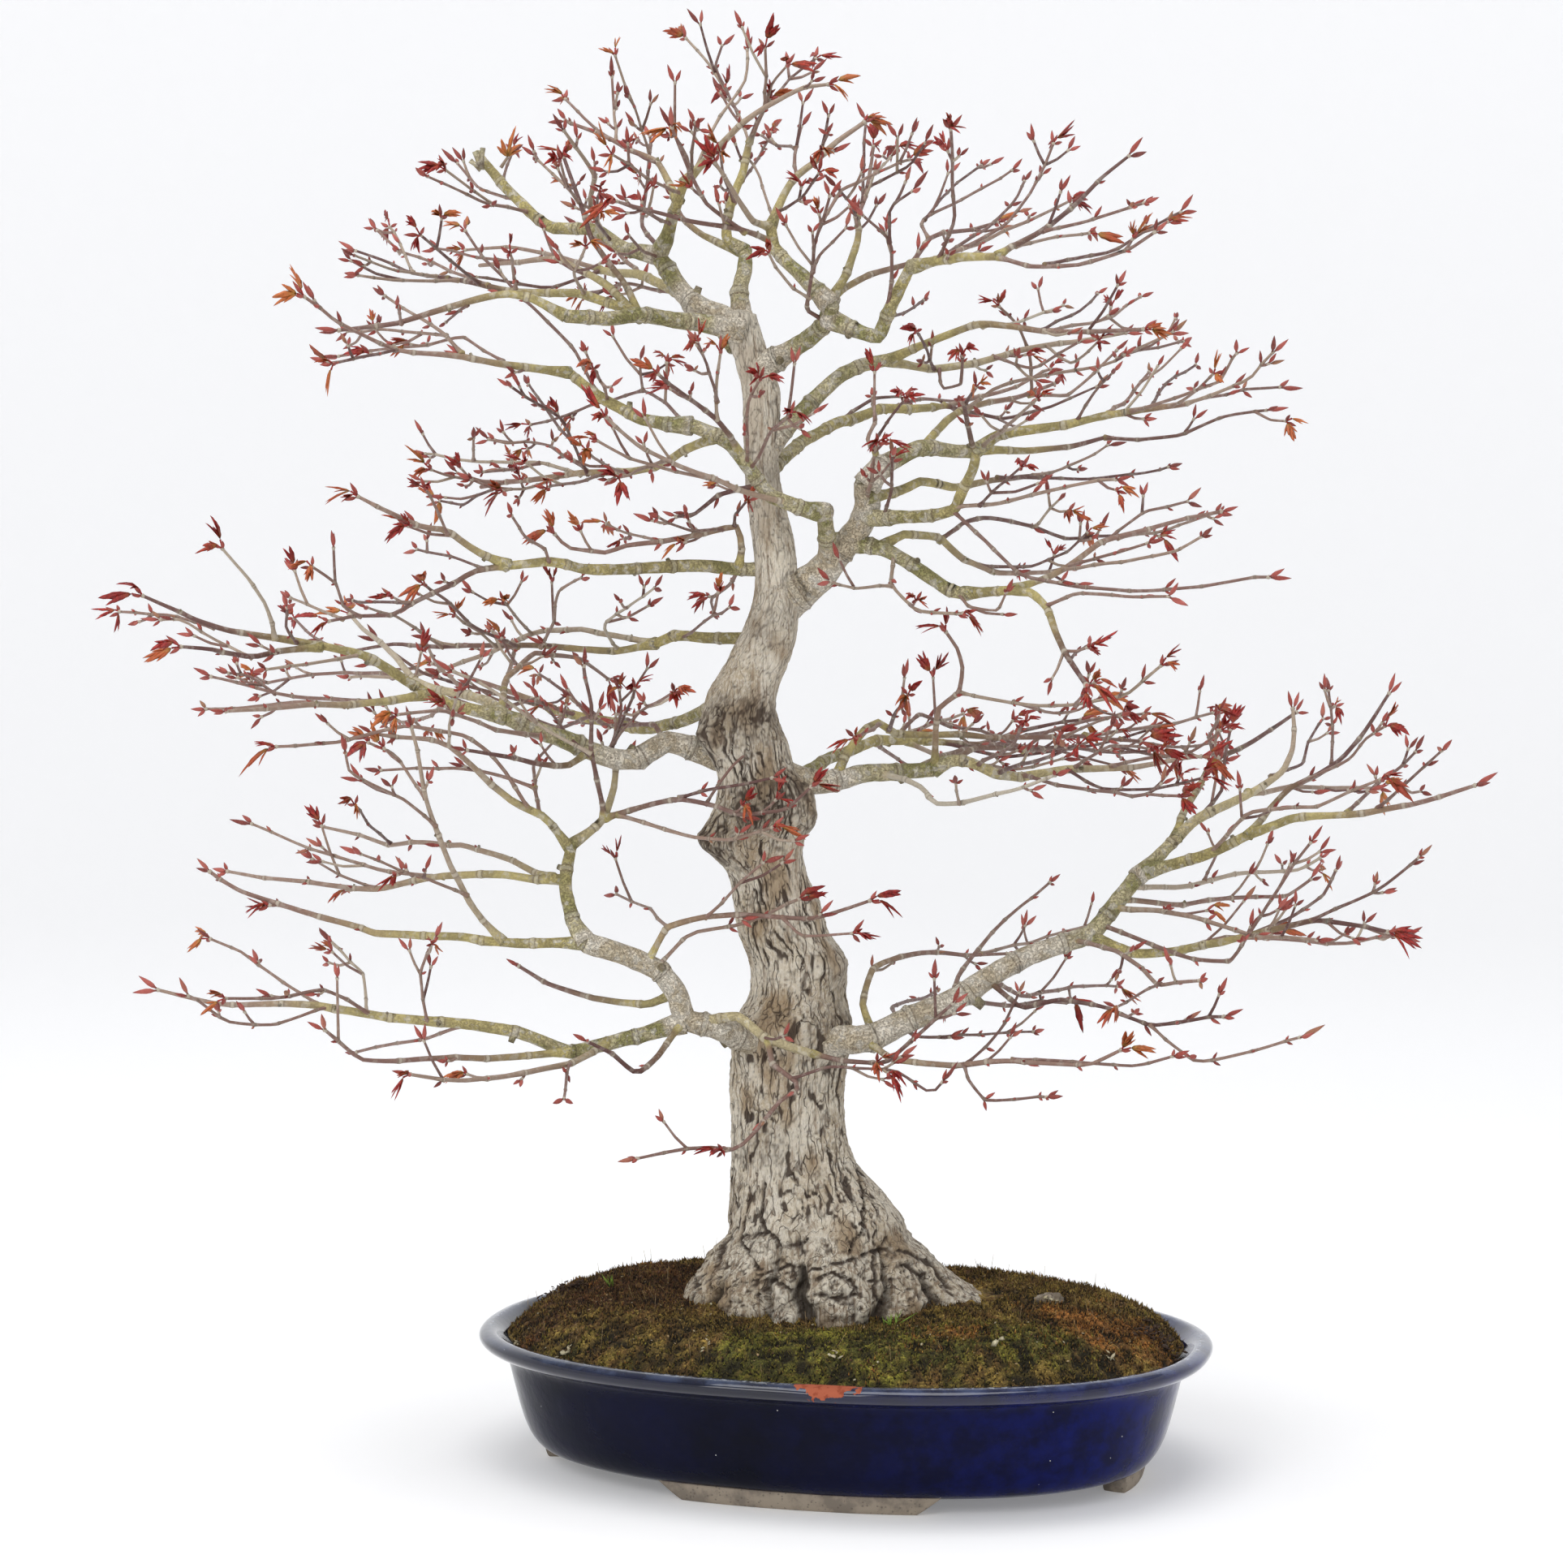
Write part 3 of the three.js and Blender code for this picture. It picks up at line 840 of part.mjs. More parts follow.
// A limb's bar. A tip that bears buds or leaves swells into a bud past its end.
function limbBar({ points, radii, tip }) {
  const line = points.map((p) => p.clone());
  const thick = [...radii];
  if (tip !== "cut") {
    const end = line[line.length - 1];
    const along = end.clone().sub(line[line.length - 2]).normalize();
    const swell = tip === "leaf" ? [[4, 1.9], [8, 0]] : [[4.5, 2.2], [13, 0]];
    for (const [out, radius] of swell) {
      line.push(end.clone().addScaledVector(along, out));
      thick.push(radius);
    }
  }
  const fat = radii[0] > 3.6 ? 6 : radii[0] > 2.4 ? 4 : 3;
  const round = fat === 3 ? 1.25 : 1.06;
  return bar(line, thick.map((r) => r * round), fat);
}

// Young leaf lobes, drooping round the end of a twig.
function leafLobes({ points }, seed) {
  const end = points[points.length - 1];
  const along = end.clone().sub(points[points.length - 2]).normalize();
  const lobes = [];
  for (let k = 0; k < LOBES; k += 1) {
    const turn = seed * 1.7 + (k * 2 * Math.PI) / LOBES;
    const out = new THREE.Vector3(Math.cos(turn), Math.sin(turn), 0.2 * Math.sin(seed + k));
    const heading = along.clone().multiplyScalar(0.9).addScaledVector(out, 0.75).normalize();
    const root = end.clone().addScaledVector(along, -1);
    const belly = root.clone().addScaledVector(heading, 9);
    const drip = belly.clone().addScaledVector(heading, 9).add(new THREE.Vector3(0, 0, -5));
    lobes.push(spindle(root, belly, drip, 2.3));
  }
  return lobes;
}

// The second bud of an opposite pair.
function twinBud({ points }, seed) {
  const end = points[points.length - 1];
  const along = end.clone().sub(points[points.length - 2]).normalize();
  const out = new THREE.Vector3(Math.cos(seed * 2.4), Math.sin(seed * 2.4), 0.6).normalize();
  const heading = along.clone().addScaledVector(out, 0.8).normalize();
  const root = end.clone().addScaledVector(along, -1);
  const belly = root.clone().addScaledVector(heading, 6);
  const point = root.clone().addScaledVector(heading, 13);
  return spindle(root, belly, point, 2.2);
}

const taken = []; // stretches of finished limbs: start, end, room beside them and whose they are

function segmentGap(a0, a1, b0, b1) {
  const u = a1.clone().sub(a0);
  const v = b1.clone().sub(b0);
  const w = a0.clone().sub(b0);
  const uu = u.dot(u);
  const uv = u.dot(v);
  const vv = v.dot(v);
  const uw = u.dot(w);
  const vw = v.dot(w);
  const clamp = (n) => Math.min(1, Math.max(0, n));
  const flat = uu * vv - uv * uv;
  let s = flat > 1e-9 ? clamp((uv * vw - vv * uw) / flat) : 0;
  const t = clamp((uv * s + vw) / vv);
  s = clamp((uv * t - uw) / uu);
  return w.addScaledVector(u, s).addScaledVector(v, -t).length();
}

// A twig that would cross another node's limb ends before it.
function endBeforeOthers(route, owner) {
  const BUD_ROOM = 3.4;
  for (let i = 0; i + 1 < route.points.length; i += 1) {
    const last = i + 2 === route.points.length;
    const tipEnd = route.points[i + 1].clone();
    if (last && route.tip !== "cut") {
      tipEnd.addScaledVector(tipEnd.clone().sub(route.points[i]).normalize(), 15);
    }
    const crossed = taken.some((other) => {
      if (other.owners.includes(owner)) return false;
      const room = other.room + Math.max(route.radii[i] * 1.3, last ? BUD_ROOM : 0) + FIT;
      return segmentGap(route.points[i], tipEnd, other.start, other.end) < room;
    });
    if (crossed) {
      route.points.length = i + 1;
      route.radii.length = i + 1;
      route.depths.length = i + 1;
      route.front.length = i + 1;
      return;
    }
  }
}

// A thin and short twig is left out.
function tooFine(route) {
  return route.radii[0] * 2 < THIN && route.length < SHORTEST_THIN;
}

function makeSpray(spray, routes) {
  const [name] = spray;
  const pieces = [];
  routes.forEach((route, index) => {
    if (tooFine(route)) return;
    if (index > 0) endBeforeOthers(route, name);
    if (route.points.length < 2) return;
    pieces.push(limbBar(route));
    if (route.tip === "leaf") pieces.push(...leafLobes(route, index));
    if (route.tip === "pair") pieces.push(twinBud(route, index));
  });
  for (const route of routes) {
    for (let i = 0; i + 1 < route.points.length; i += 1) {
      const [start, end] = [route.points[i], route.points[i + 1]];
      taken.push({ start, end, room: route.radii[i] * 1.3, owners: [name] });
    }
  }
  return wasm.Manifold.union(pieces);
}

function largestBody(whole) {
  const bodies = whole.decompose();
  return bodies.reduce((best, body) => (body.volume() > best.volume() ? body : best));
}

// The stump on a trunk or a limb that a spray goes on from, ended just short of it.
function stubFor([name, parent, [x, z, depth]], routes) {
  const [first, second] = routes[0].points;
  const along = second.clone().sub(first).normalize();
  const radius = routes[0].radii[0] * 1.06;
  const before = first.clone().addScaledVector(along, -4);
  const root = place(x, z, depth);
  taken.push({ start: root, end: first, room: radius * 1.3, owners: [name, parent] });
  const stub = bar([root, before, first], [radius * 1.25, radius * 1.05, radius], 6);
  const back = along.clone().negate();
  return stub.trimByPlane(back.toArray(), back.dot(first) + FIT);
}

// The tree

const COLOURS = {
  bark: [0xb9ad9c, 0.85],
  twig: [0x8a6a58, 0.7],
  glaze: [0x14203f, 0.16],
  moss: [0x4c4a22, 0.97],
  soil: [0x3b2a1e, 0.98],
  stone: [0x8d8b86, 0.85],
  plastic: [0x22301f, 0.6],
};

function meshOf(name, shape, finish) {
  const { vertProperties, triVerts, numProp } = shape.getMesh();
  const geometry = new THREE.BufferGeometry();
  const places = new Float32Array((vertProperties.length / numProp) * 3);
  for (let i = 0; i * numProp < vertProperties.length; i += 1) {
    for (let axis = 0; axis < 3; axis += 1) places[3 * i + axis] = vertProperties[numProp * i + axis];
  }
  geometry.setAttribute("position", new THREE.BufferAttribute(places, 3));
  geometry.setIndex(new THREE.BufferAttribute(new Uint32Array(triVerts), 1));
  geometry.computeVertexNormals();
  const [color, roughness] = COLOURS[finish];
  const mesh = new THREE.Mesh(geometry, new THREE.MeshStandardMaterial({ color, roughness, metalness: 0 }));
  mesh.name = name;
  return mesh;
}

const routes = new Map(SPRAYS.map((spray) => [spray[0], routesOf(spray)]));
const stubsOn = (node) => SPRAYS.filter((spray) => spray[1] === node)
  .map((spray) => stubFor(spray, routes.get(spray[0])));

TRUNK_EDGES.slice(0, -1).forEach(([z, left, right], i) => {
  const [zTop, leftTop, rightTop] = TRUNK_EDGES[i + 1];
  taken.push({
    start: new THREE.Vector3((left + right) / 2, depthSway(z), z),
    end: new THREE.Vector3((leftTop + rightTop) / 2, depthSway(zTop), zTop),
    room: Math.max(right - left, rightTop - leftTop) / 2 + 1,
    owners: ["trunk"],
  });
});

const bonsai = new THREE.Group();
const rootHole = makeRootFlare(FIT);
bonsai.add(meshOf("pot", makePot(), "glaze"));
bonsai.add(meshOf("drain_mesh_left", makeDrainPlate(-1), "plastic"));
bonsai.add(meshOf("drain_mesh_right", makeDrainPlate(1), "plastic"));
bonsai.add(meshOf("soil", makeSoil(rootHole), "soil"));
bonsai.add(meshOf("moss", makeMoss(rootHole), "moss"));
bonsai.add(meshOf("stone", makeStone(), "stone"));
bonsai.add(meshOf("trunk", makeTrunk(stubsOn("trunk")), "bark"));
for (const spray of SPRAYS) {
  const [name] = spray;
  const stubs = stubsOn(name);
  const whole = wasm.Manifold.union([makeSpray(spray, routes.get(name)), ...stubs]).simplify(SLIVER);
  bonsai.add(meshOf(name, largestBody(whole), "twig"));
}

// The part's frame: the middle of its box's foot is the origin.
const bounds = new THREE.Box3().setFromObject(bonsai);
const middle = bounds.getCenter(new THREE.Vector3());
for (const mesh of bonsai.children) {
  mesh.geometry.translate(-middle.x, -middle.y, -bounds.min.z);
}

export default bonsai;
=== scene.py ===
# A Japanese maple bonsai in a blue oval pot: bark, twigs, buds, leaves, moss and glaze
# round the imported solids. The scene is in metres, +Z up, seen from the tree's front along +Y.
import math
import random

import bmesh
import bpy
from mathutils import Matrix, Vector, noise


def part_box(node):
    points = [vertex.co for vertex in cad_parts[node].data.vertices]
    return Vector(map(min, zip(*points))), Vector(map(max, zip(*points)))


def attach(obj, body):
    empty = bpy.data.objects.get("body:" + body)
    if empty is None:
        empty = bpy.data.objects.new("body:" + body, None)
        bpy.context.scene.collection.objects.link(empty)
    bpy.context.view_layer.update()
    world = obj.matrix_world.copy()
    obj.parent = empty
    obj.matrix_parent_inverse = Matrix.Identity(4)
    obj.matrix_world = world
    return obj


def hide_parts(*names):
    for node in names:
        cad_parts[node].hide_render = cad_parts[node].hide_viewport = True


noise.seed_set(3)  # the bark, limbs and moss come out the same each time

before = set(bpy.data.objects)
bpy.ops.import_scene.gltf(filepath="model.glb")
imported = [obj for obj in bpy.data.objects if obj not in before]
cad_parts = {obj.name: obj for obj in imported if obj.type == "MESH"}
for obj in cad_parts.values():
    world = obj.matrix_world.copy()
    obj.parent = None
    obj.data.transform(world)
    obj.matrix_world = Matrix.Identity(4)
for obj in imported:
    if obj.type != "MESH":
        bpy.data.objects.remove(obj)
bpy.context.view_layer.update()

# Driving values, in millimetres and degrees, as the tree and its solids were measured
MM = 0.001
EYE = Vector((0, -2200, 580))  # where the front elevation is seen from
CAMERA = Vector((0, -2200, 547))
AIM = Vector((0, 0, 387.5))
LENS = 90.1
POT_X = 35
POT_TURN = math.radians(-14.5)
POT_POWER = 2.25  # of the superellipse that the pot's plan follows
MOSS_PLAN = (192, 131)  # the mound's half length and half width
MOUND = {"rim": 73, "rise": 26, "fall": 8}
ROOT_CENTRE = (22, 0)
ROOT_BOTTOM = 68
BARE_TRUNK = 140  # above this height the roots no longer flare
WAIST = (405, 440)  # heights between which the old cracked bark gives way to smoother bark
RIDGES = (32, 22)  # of bark round the trunk, below and above the waist
FISSURE = 0.9  # depth of the bark's fissures
CREASE = 2.2  # depth of the roots' creases
BARK_GRID = (232, 394)  # points round the trunk and levels up it
MOSS_GRID = (350, 100)  # points round the moss and steps out to its edge
MOSS_SHOOTS = 32000
MOSS_DIP = 8  # how much lower the moss lies in front of the toes
POT_SIDES = 240
CHIP = {"x": 24, "half": 19, "drop": 7.5}  # where the rim has lost its glaze

# The pot's half length and half width at each height, outside from the foot up and inside back down
POT_WALL = [
    [9, 170, 109],
    [12, 177, 116],
    [24, 184, 123],
    [50, 190.5, 129],
    [65, 194, 133],
    [66.5, 203, 142],
    [70, 208.5, 147.5],
    [74, 209.5, 148.5],
    [77, 206, 145],
    [77.4, 199, 138],
    [58, 184, 123],
    [24, 173, 112],
    [18, 165, 104],
]

# A foot's height, half length and half width, from its outer top edge round to its inner one
FOOT_SECTION = [
    [11, 173, 112],
    [5, 172, 111],
    [0.4, 170.5, 109.5],
    [0, 169, 108],
    [0, 159, 98],
    [0.4, 157.5, 96.5],
    [5, 158, 97],
    [11, 160, 99],
]

# The trunk's left and right edge at each height
TRUNK_EDGES = [
    [140, -30.5, 71],
    [150, -28, 63],
    [175, -26, 43],
    [210, -28, 36],
    [250, -27, 37],
    [268, -18, 34],
    [288, -18, 34],
    [303, -24, 26],
    [320, -27, 21],
    [338, -31, 14],
    [354, -43, 12],
    [367, -39, 17],
    [382, -35, 15],
    [397, -37, 7],
    [412, -42, 3],
    [425, -43, -2],
    [440, -39, -1],
    [470, -23, 9],
    [485, -17, 10],
    [500, -15, 9],
    [520, -16, 7],
    [565, -21, -2],
    [605, -21.5, -1],
    [622, -25, -6],
    [636, -30, -10],
    [650, -34, -14],
]

# Root toes: direction at the moss, how far it turns towards the toe's top, reach at the moss,
# half width, and how hollow the slope is
TOES = [
    [-12, -4, 54, 22, 1.4],
    [-46, 3, 29, 27, 0.75],
    [-80, -3, 27, 22, 0.6],
    [-106, -7, 22, 14, 0.6],
    [-131, 4, 29, 22, 0.65],
    [-163, 6, 33, 28, 0.75],
    [150, 0, 24, 26, 1],
    [105, 0, 22, 26, 1],
    [62, 0, 24, 25, 1],
    [24, 0, 24, 23, 1],
]

# Clefts between the toes: direction at the moss and at their tops, top, depth and half width
CLEFTS = [
    [-64, -46, 138, 7, 4],
    [-96, -103, 128, 10, 5.5],
    [-118, -114, 137, 5, 3],
    [-144, -140, 120, 5, 3],
    [-29, -38, 124, 3, 4],
]

# Swellings of the trunk: x and z on the front elevation, depth, how far each reaches and stands out,
# and how rough and dark its bark is
SWELLINGS = [
    [-46, 415, -12, 9, 6, 0.8],
    [-42, 402, -16, 8, 3, 0.6],
    [-43, 357, -14, 11, 7, 0.9],
    [-36, 343, -16, 9, 3, 0.9],
    [-20, 370, -24, 16, 2, 0.7],
    [17, 388, -14, 10, 5, 0.9],
    [21, 366, -14, 10, 5, 0.8],
    [-2, 378, -24, 17, 1, 0.8],
    [-12, 424, -22, 16, 1.5, 0.8],
    [-34, 425, -20, 12, 1, 0.8],
    [8, 424, -16, 10, 1, 0.8],
    [-8, 472, -14, 12, 2, 0.5],
    [0, 486, -12, 9, 3, 0.3],
    [33, 284, -8, 13, 5, 0.5],
    [34, 246, -18, 19, 6, 0.9],
    [-24, 246, -26, 17, 6, 0.5],
    [-10, 560, -8, 12, 1.5, 0.5],
    [-10, 184, -26, 18, 3, 0.4],
    [8, 128, -44, 9, 4, 0.2],
    [-12, 124, -40, 7, 5, 0.2],
    [-20, 130, -34, 6, 4, 0.2],
]

# Sunken scars and holes: x and z on the front elevation, depth, radius and how deep
SCARS = [
    [-2, 131, -47, 4, 8],
    [-47, 414, -17, 3.4, 6],
    [-37, 408, -22, 3, 4],
    [-43, 350, -20, 3, 4],
    [-12, 427, -26, 6, 1.5],
]

# Lichen flakes on the moss, in plan
FLAKES = [
    (-148, -28), (-120, -62), (-70, -104), (30, -122),
    (118, -112), (178, -100), (-40, -98), (150, -30),
]

# Creases and folds of the roots and the low bark, as lines of x and z on the front elevation
CREASES = [
    [-23, 128, -14, 114, -15, 96],
    [-14, 108, 5, 112, 10, 101],
    [55, 122, 52, 112, 53, 96, 60, 88],
    [16, 110, 34, 114, 55, 122],
    [55, 122, 71, 121, 87, 112, 96, 100],
    [-29, 132, -34, 121, -40, 107, -37, 94],
    [44, 171, 48, 153, 46, 133, 38, 121],
    [-9, 160, -12, 142, -9, 132],
    [-23, 128, -8, 134, 2, 124, 16, 128],
    [20, 104, 28, 108, 40, 104, 46, 94],
    [66, 113, 76, 110, 84, 101, 88, 92],
    [-50, 116, -47, 102, -52, 90],
    [18, 96, 30, 93, 42, 96],
    [-8, 104, 2, 102, 6, 96],
]

# Every spray: its name, the node it grows on, the place inside that node from which it comes,
# the depth at its joint, and its limbs. A limb holds the depth that it gains from its start
# to its tip, its thickness at both ends, what its tip bears, and its route as x and z
# on the front elevation. A limb starts on the nearest limb before it.
SPRAYS = [
  ["spray_low_left", "trunk", [-8, 240, -10], -34, [
    [-16, 13, 11, "cut", [-35, 248, -55, 252, -60, 268, -68, 280, -90, 290, -110, 297]],
    [-30, 9, 2.4, "pair",
      [-55, 252, -90, 243, -120, 235, -150, 246, -180, 250, -220, 254, -262, 262, -320, 263, -352, 270]],
    [45, 6, 2.6, "pair", [-110, 297, -140, 296, -180, 301, -230, 302, -262, 314, -305, 328, -322, 338]],
    [25, 8, 6, "cut", [-110, 297, -118, 310, -121, 330, -118, 354]],
    [30, 5, 3.6, "cut", [-118, 353, -100, 368, -94, 384, -92, 397, -96, 408]],
    [-60, 3.6, 2.2, "leaf", [-100, 368, -58, 379, -20, 369, 0, 372, 17, 385]],
    [-48, 3, 2.2, "leaf", [-92, 368, -50, 357, -30, 356, -5, 362]],
    [-25, 2.6, 2, "pair", [-58, 379, -40, 384, -5, 390]],
    [30, 2.4, 2, "bud", [-42, 378, -27, 397, -10, 412]],
    [90, 5, 2.4, "bud", [-121, 333, -155, 336, -190, 335, -228, 329, -262, 331, -312, 339]],
    [40, 2.4, 2, "bud", [-228, 329, -250, 338, -264, 346]],
    [70, 3, 2.2, "pair", [-190, 335, -230, 340, -265, 352, -298, 366]],
    [150, 4, 2.4, "bud", [-128, 335, -155, 345, -180, 354, -220, 355, -258, 365]],
    [-60, 2.4, 2, "leaf", [-220, 355, -232, 365, -240, 376]],
    [-70, 4, 2.4, "bud", [-157, 300, -176, 322, -186, 340, -201, 380, -205, 400, -208, 418]],
    [-70, 2.6, 2, "pair", [-178, 323, -200, 332, -237, 346]],
    [-80, 2.8, 2.2, "leaf", [-232, 258, -258, 270, -290, 264, -314, 264]],
    [60, 2.6, 2.2, "leaf", [-262, 262, -290, 282, -305, 293, -322, 300]],
    [-60, 2.4, 2, "pair", [-255, 260, -285, 250, -312, 252, -335, 266]],
    [-100, 4.4, 2.4, "pair", [-118, 235, -150, 232, -178, 231, -210, 229, -238, 229, -258, 246]],
    [-140, 4, 2.4, "leaf", [-98, 240, -120, 228, -150, 222, -180, 218, -210, 220]],
    [-60, 2.4, 2, "pair", [-120, 228, -122, 215, -123, 207]],
    [70, 2.6, 2.2, "bud", [-180, 250, -200, 243, -240, 236]],
    [-80, 4, 2.4, "bud", [-55, 253, -70, 232, -82, 222, -95, 232, -110, 240]],
    [80, 2.4, 2, "bud", [-234, 258, -237, 280, -256, 301]],
    [-50, 2.4, 2, "bud", [-200, 252, -203, 280, -195, 299]],
    [80, 5, 2.6, "pair", [-61, 268, -76, 263, -108, 267, -130, 275, -148, 285]],
    [4, 4, 2.4, "leaf", [-75, 287, -64, 306, -45, 311, -22, 312, 20, 312, 50, 321]],
    [12, 3, 2.4, "leaf", [-72, 284, -50, 302, -25, 307, 10, 322]],
    [-40, 2.6, 2, "pair", [-43, 311, -27, 327, -10, 342]],
    [90, 2.6, 2, "pair", [-64, 306, -75, 317, -93, 326]],
    [-30, 2.4, 2, "leaf", [0, 312, 10, 302, 40, 302]],
    [-40, 5, 2.4, "pair", [-119, 350, -133, 368, -150, 376, -160, 384, -187, 408, -197, 411, -230, 415]],
    [90, 3, 2.2, "pair", [-136, 370, -138, 385, -139, 400, -128, 412]],
    [60, 2.8, 2, "bud", [-138, 385, -160, 392, -185, 397, -225, 396]],
    [-60, 3.4, 2.4, "pair", [-100, 368, -104, 392, -107, 405, -107, 432, -111, 453]],
    [-20, 2.6, 2.2, "bud", [-107, 404, -130, 416, -160, 438, -184, 450]],
    [50, 2.6, 2, "bud", [-106, 402, -120, 414, -136, 436]],
    [-60, 2.6, 2.2, "leaf", [-96, 407, -86, 430, -82, 441]],
    [-100, 2.4, 2, "leaf", [-94, 410, -80, 427, -60, 438]],
    [40, 2.2, 2, "leaf", [-96, 408, -89, 430, -91, 441]],
    [-60, 3, 2.2, "leaf", [-142, 372, -155, 393, -165, 404, -180, 414, -210, 419, -250, 409, -284, 407]],
    [40, 2.4, 2, "leaf", [-200, 378, -216, 402, -232, 410]],
    [-60, 2.4, 2, "bud", [-195, 362, -213, 378, -243, 393, -245, 403]],
    [-60, 2.2, 2, "bud", [-187, 408, -187, 418, -181, 438]],
    [-22, 5.5, 4.5, "cut", [-50, 250, -25, 255, -8, 243, 5, 238, 17, 234]],
    [-40, 3.4, 2.2, "pair", [17, 234, 35, 230, 58, 228, 75, 242, 97, 262]],
    [-70, 3.4, 2.2, "bud", [-8, 243, -5, 229, 10, 215, 0, 207, -12, 192, -25, 180, -40, 180, -82, 173]],
    [-40, 2.4, 2, "bud", [8, 222, 30, 226, 65, 223, 85, 211, 91, 217]],
  ]],
  ["spray_low_right", "trunk", [6, 241, -6], -24, [
    [46, 16, 9, "cut", [42, 243, 52, 244, 70, 252, 100, 268, 140, 290, 175, 303, 200, 335]],
    [40, 8, 2.6, "pair", [200, 334, 222, 357, 233, 368, 262, 383, 281, 397, 286, 408, 287, 431]],
    [-70, 7, 2.6, "pair", [203, 338, 235, 345, 262, 358, 285, 367, 318, 371, 355, 376, 390, 386]],
    [30, 4, 2.4, "pair", [262, 358, 272, 372, 285, 385, 300, 392, 315, 403, 328, 420, 341, 439]],
    [60, 3, 2.2, "pair", [318, 371, 335, 387, 345, 395, 356, 406]],
    [-60, 2.6, 2, "bud", [335, 373, 350, 385, 371, 405]],
    [90, 3.6, 2.4, "leaf", [262, 383, 285, 386, 300, 386, 336, 387]],
    [-90, 3, 2.2, "leaf", [240, 348, 262, 371, 300, 374, 337, 389]],
    [120, 4.6, 2.6, "pair", [222, 357, 228, 375, 236, 388, 243, 402, 265, 414, 289, 430]],
    [-60, 3, 2.2, "leaf", [243, 402, 241, 415, 246, 429]],
    [60, 3, 2.2, "leaf", [225, 359, 247, 385, 249, 405, 252, 419]],
    [80, 2.6, 2, "pair", [275, 392, 293, 400, 296, 412, 304, 426]],
    [-80, 2.6, 2, "leaf", [290, 388, 320, 402, 328, 412, 339, 419]],
    [60, 2.4, 2, "bud", [309, 399, 309, 420, 307, 441]],
    [-70, 6, 2.6, "leaf", [173, 302, 200, 291, 225, 293, 262, 301, 300, 310, 342, 303]],
    [50, 3.6, 2.2, "pair", [225, 293, 250, 300, 280, 300, 318, 298, 346, 302]],
    [-110, 3.6, 2.2, "bud", [187, 318, 210, 316, 232, 312, 268, 300, 302, 298]],
    [50, 3, 2.2, "pair", [262, 301, 285, 310, 305, 325, 312, 339]],
    [-40, 2.6, 2, "bud", [298, 310, 338, 328, 359, 345]],
    [80, 3.6, 2.4, "pair", [190, 322, 215, 320, 250, 323, 285, 326, 298, 335]],
    [150, 3.6, 2.4, "bud", [196, 330, 220, 330, 255, 338, 290, 342, 303, 348]],
    [50, 2.4, 2, "pair", [238, 335, 250, 359]],
    [-120, 3.2, 2.2, "bud", [180, 308, 225, 290, 252, 287, 275, 320, 298, 353]],
    [-150, 3.4, 2.4, "bud", [165, 299, 190, 292, 214, 273, 236, 274]],
    [-40, 2.2, 2, "leaf", [214, 273, 205, 268, 189, 259]],
    [100, 3.4, 2.2, "leaf", [100, 268, 125, 262, 145, 265, 165, 266]],
    [150, 3.2, 2.2, "leaf", [118, 278, 135, 268, 165, 275, 189, 275]],
    [-110, 3.4, 2.4, "pair", [116, 277, 135, 260, 158, 265, 185, 260, 208, 250, 250, 254]],
    [-50, 2.4, 2, "pair", [208, 250, 233, 229, 265, 234, 293, 242]],
    [-100, 4, 2.4, "leaf", [46, 244, 60, 232, 100, 228, 130, 230, 175, 227, 192, 235]],
    [-60, 2.6, 2, "bud", [130, 230, 165, 229, 200, 226, 221, 231]],
    [-60, 2.4, 2, "bud", [103, 228, 105, 220, 115, 208, 150, 208]],
    [50, 2.4, 2, "bud", [105, 228, 115, 238, 125, 250, 134, 269]],
    [70, 2.6, 2, "bud", [66, 250, 78, 245, 105, 245, 142, 248]],
    [120, 4.4, 2.4, "bud", [52, 245, 45, 262, 50, 283, 80, 292, 127, 293]],
    [140, 3, 2.2, "bud", [68, 252, 62, 262, 75, 266, 87, 272]],
    [90, 3.2, 2.2, "bud", [95, 266, 100, 280, 118, 303, 135, 320, 151, 333]],
    [110, 2.6, 2, "bud", [112, 293, 140, 300, 174, 311]],
  ]],
  ["spray_mid_left", "trunk", [-22, 401, 0], 0, [
    [-30, 13.5, 9, "cut", [-47, 405, -65, 411, -80, 403, -92, 402, -110, 406, -140, 418, -155, 425]],
    [-50, 7, 2.4, "leaf",
      [-155, 425, -185, 430, -200, 437, -215, 448, -230, 458, -258, 464, -312, 472, -330, 478, -358, 492]],
    [-50, 4, 2.4, "leaf", [-258, 464, -275, 461, -297, 457, -318, 462, -337, 463]],
    [-40, 3, 2.2, "leaf", [-284, 468, -290, 487, -300, 502, -313, 518]],
    [50, 2.4, 2, "leaf", [-318, 474, -345, 482, -371, 484]],
    [30, 2.4, 2, "bud", [-297, 457, -315, 466, -335, 478, -348, 479]],
    [-110, 5, 2.4, "bud", [-200, 437, -225, 432, -245, 430, -284, 428, -312, 426]],
    [40, 2.6, 2, "bud", [-245, 430, -270, 432, -290, 431, -323, 429]],
    [70, 3, 2.2, "pair", [-222, 433, -260, 435, -285, 438, -320, 448]],
    [30, 2.2, 2, "bud", [-284, 438, -297, 447, -310, 450]],
    [90, 6, 2.6, "leaf", [-155, 427, -165, 433, -190, 440, -205, 447, -215, 459, -235, 475, -242, 484]],
    [100, 2.8, 2.2, "bud", [-205, 447, -225, 450, -260, 450, -292, 446]],
    [-70, 2.6, 2, "bud", [-236, 461, -262, 455, -289, 450]],
    [80, 2.4, 2, "leaf", [-250, 463, -262, 470, -273, 481]],
    [-50, 2.4, 2, "pair", [-272, 464, -278, 474, -277, 485]],
    [140, 4, 2.4, "leaf", [-156, 429, -155, 447, -148, 452, -138, 462, -115, 459, -97, 448]],
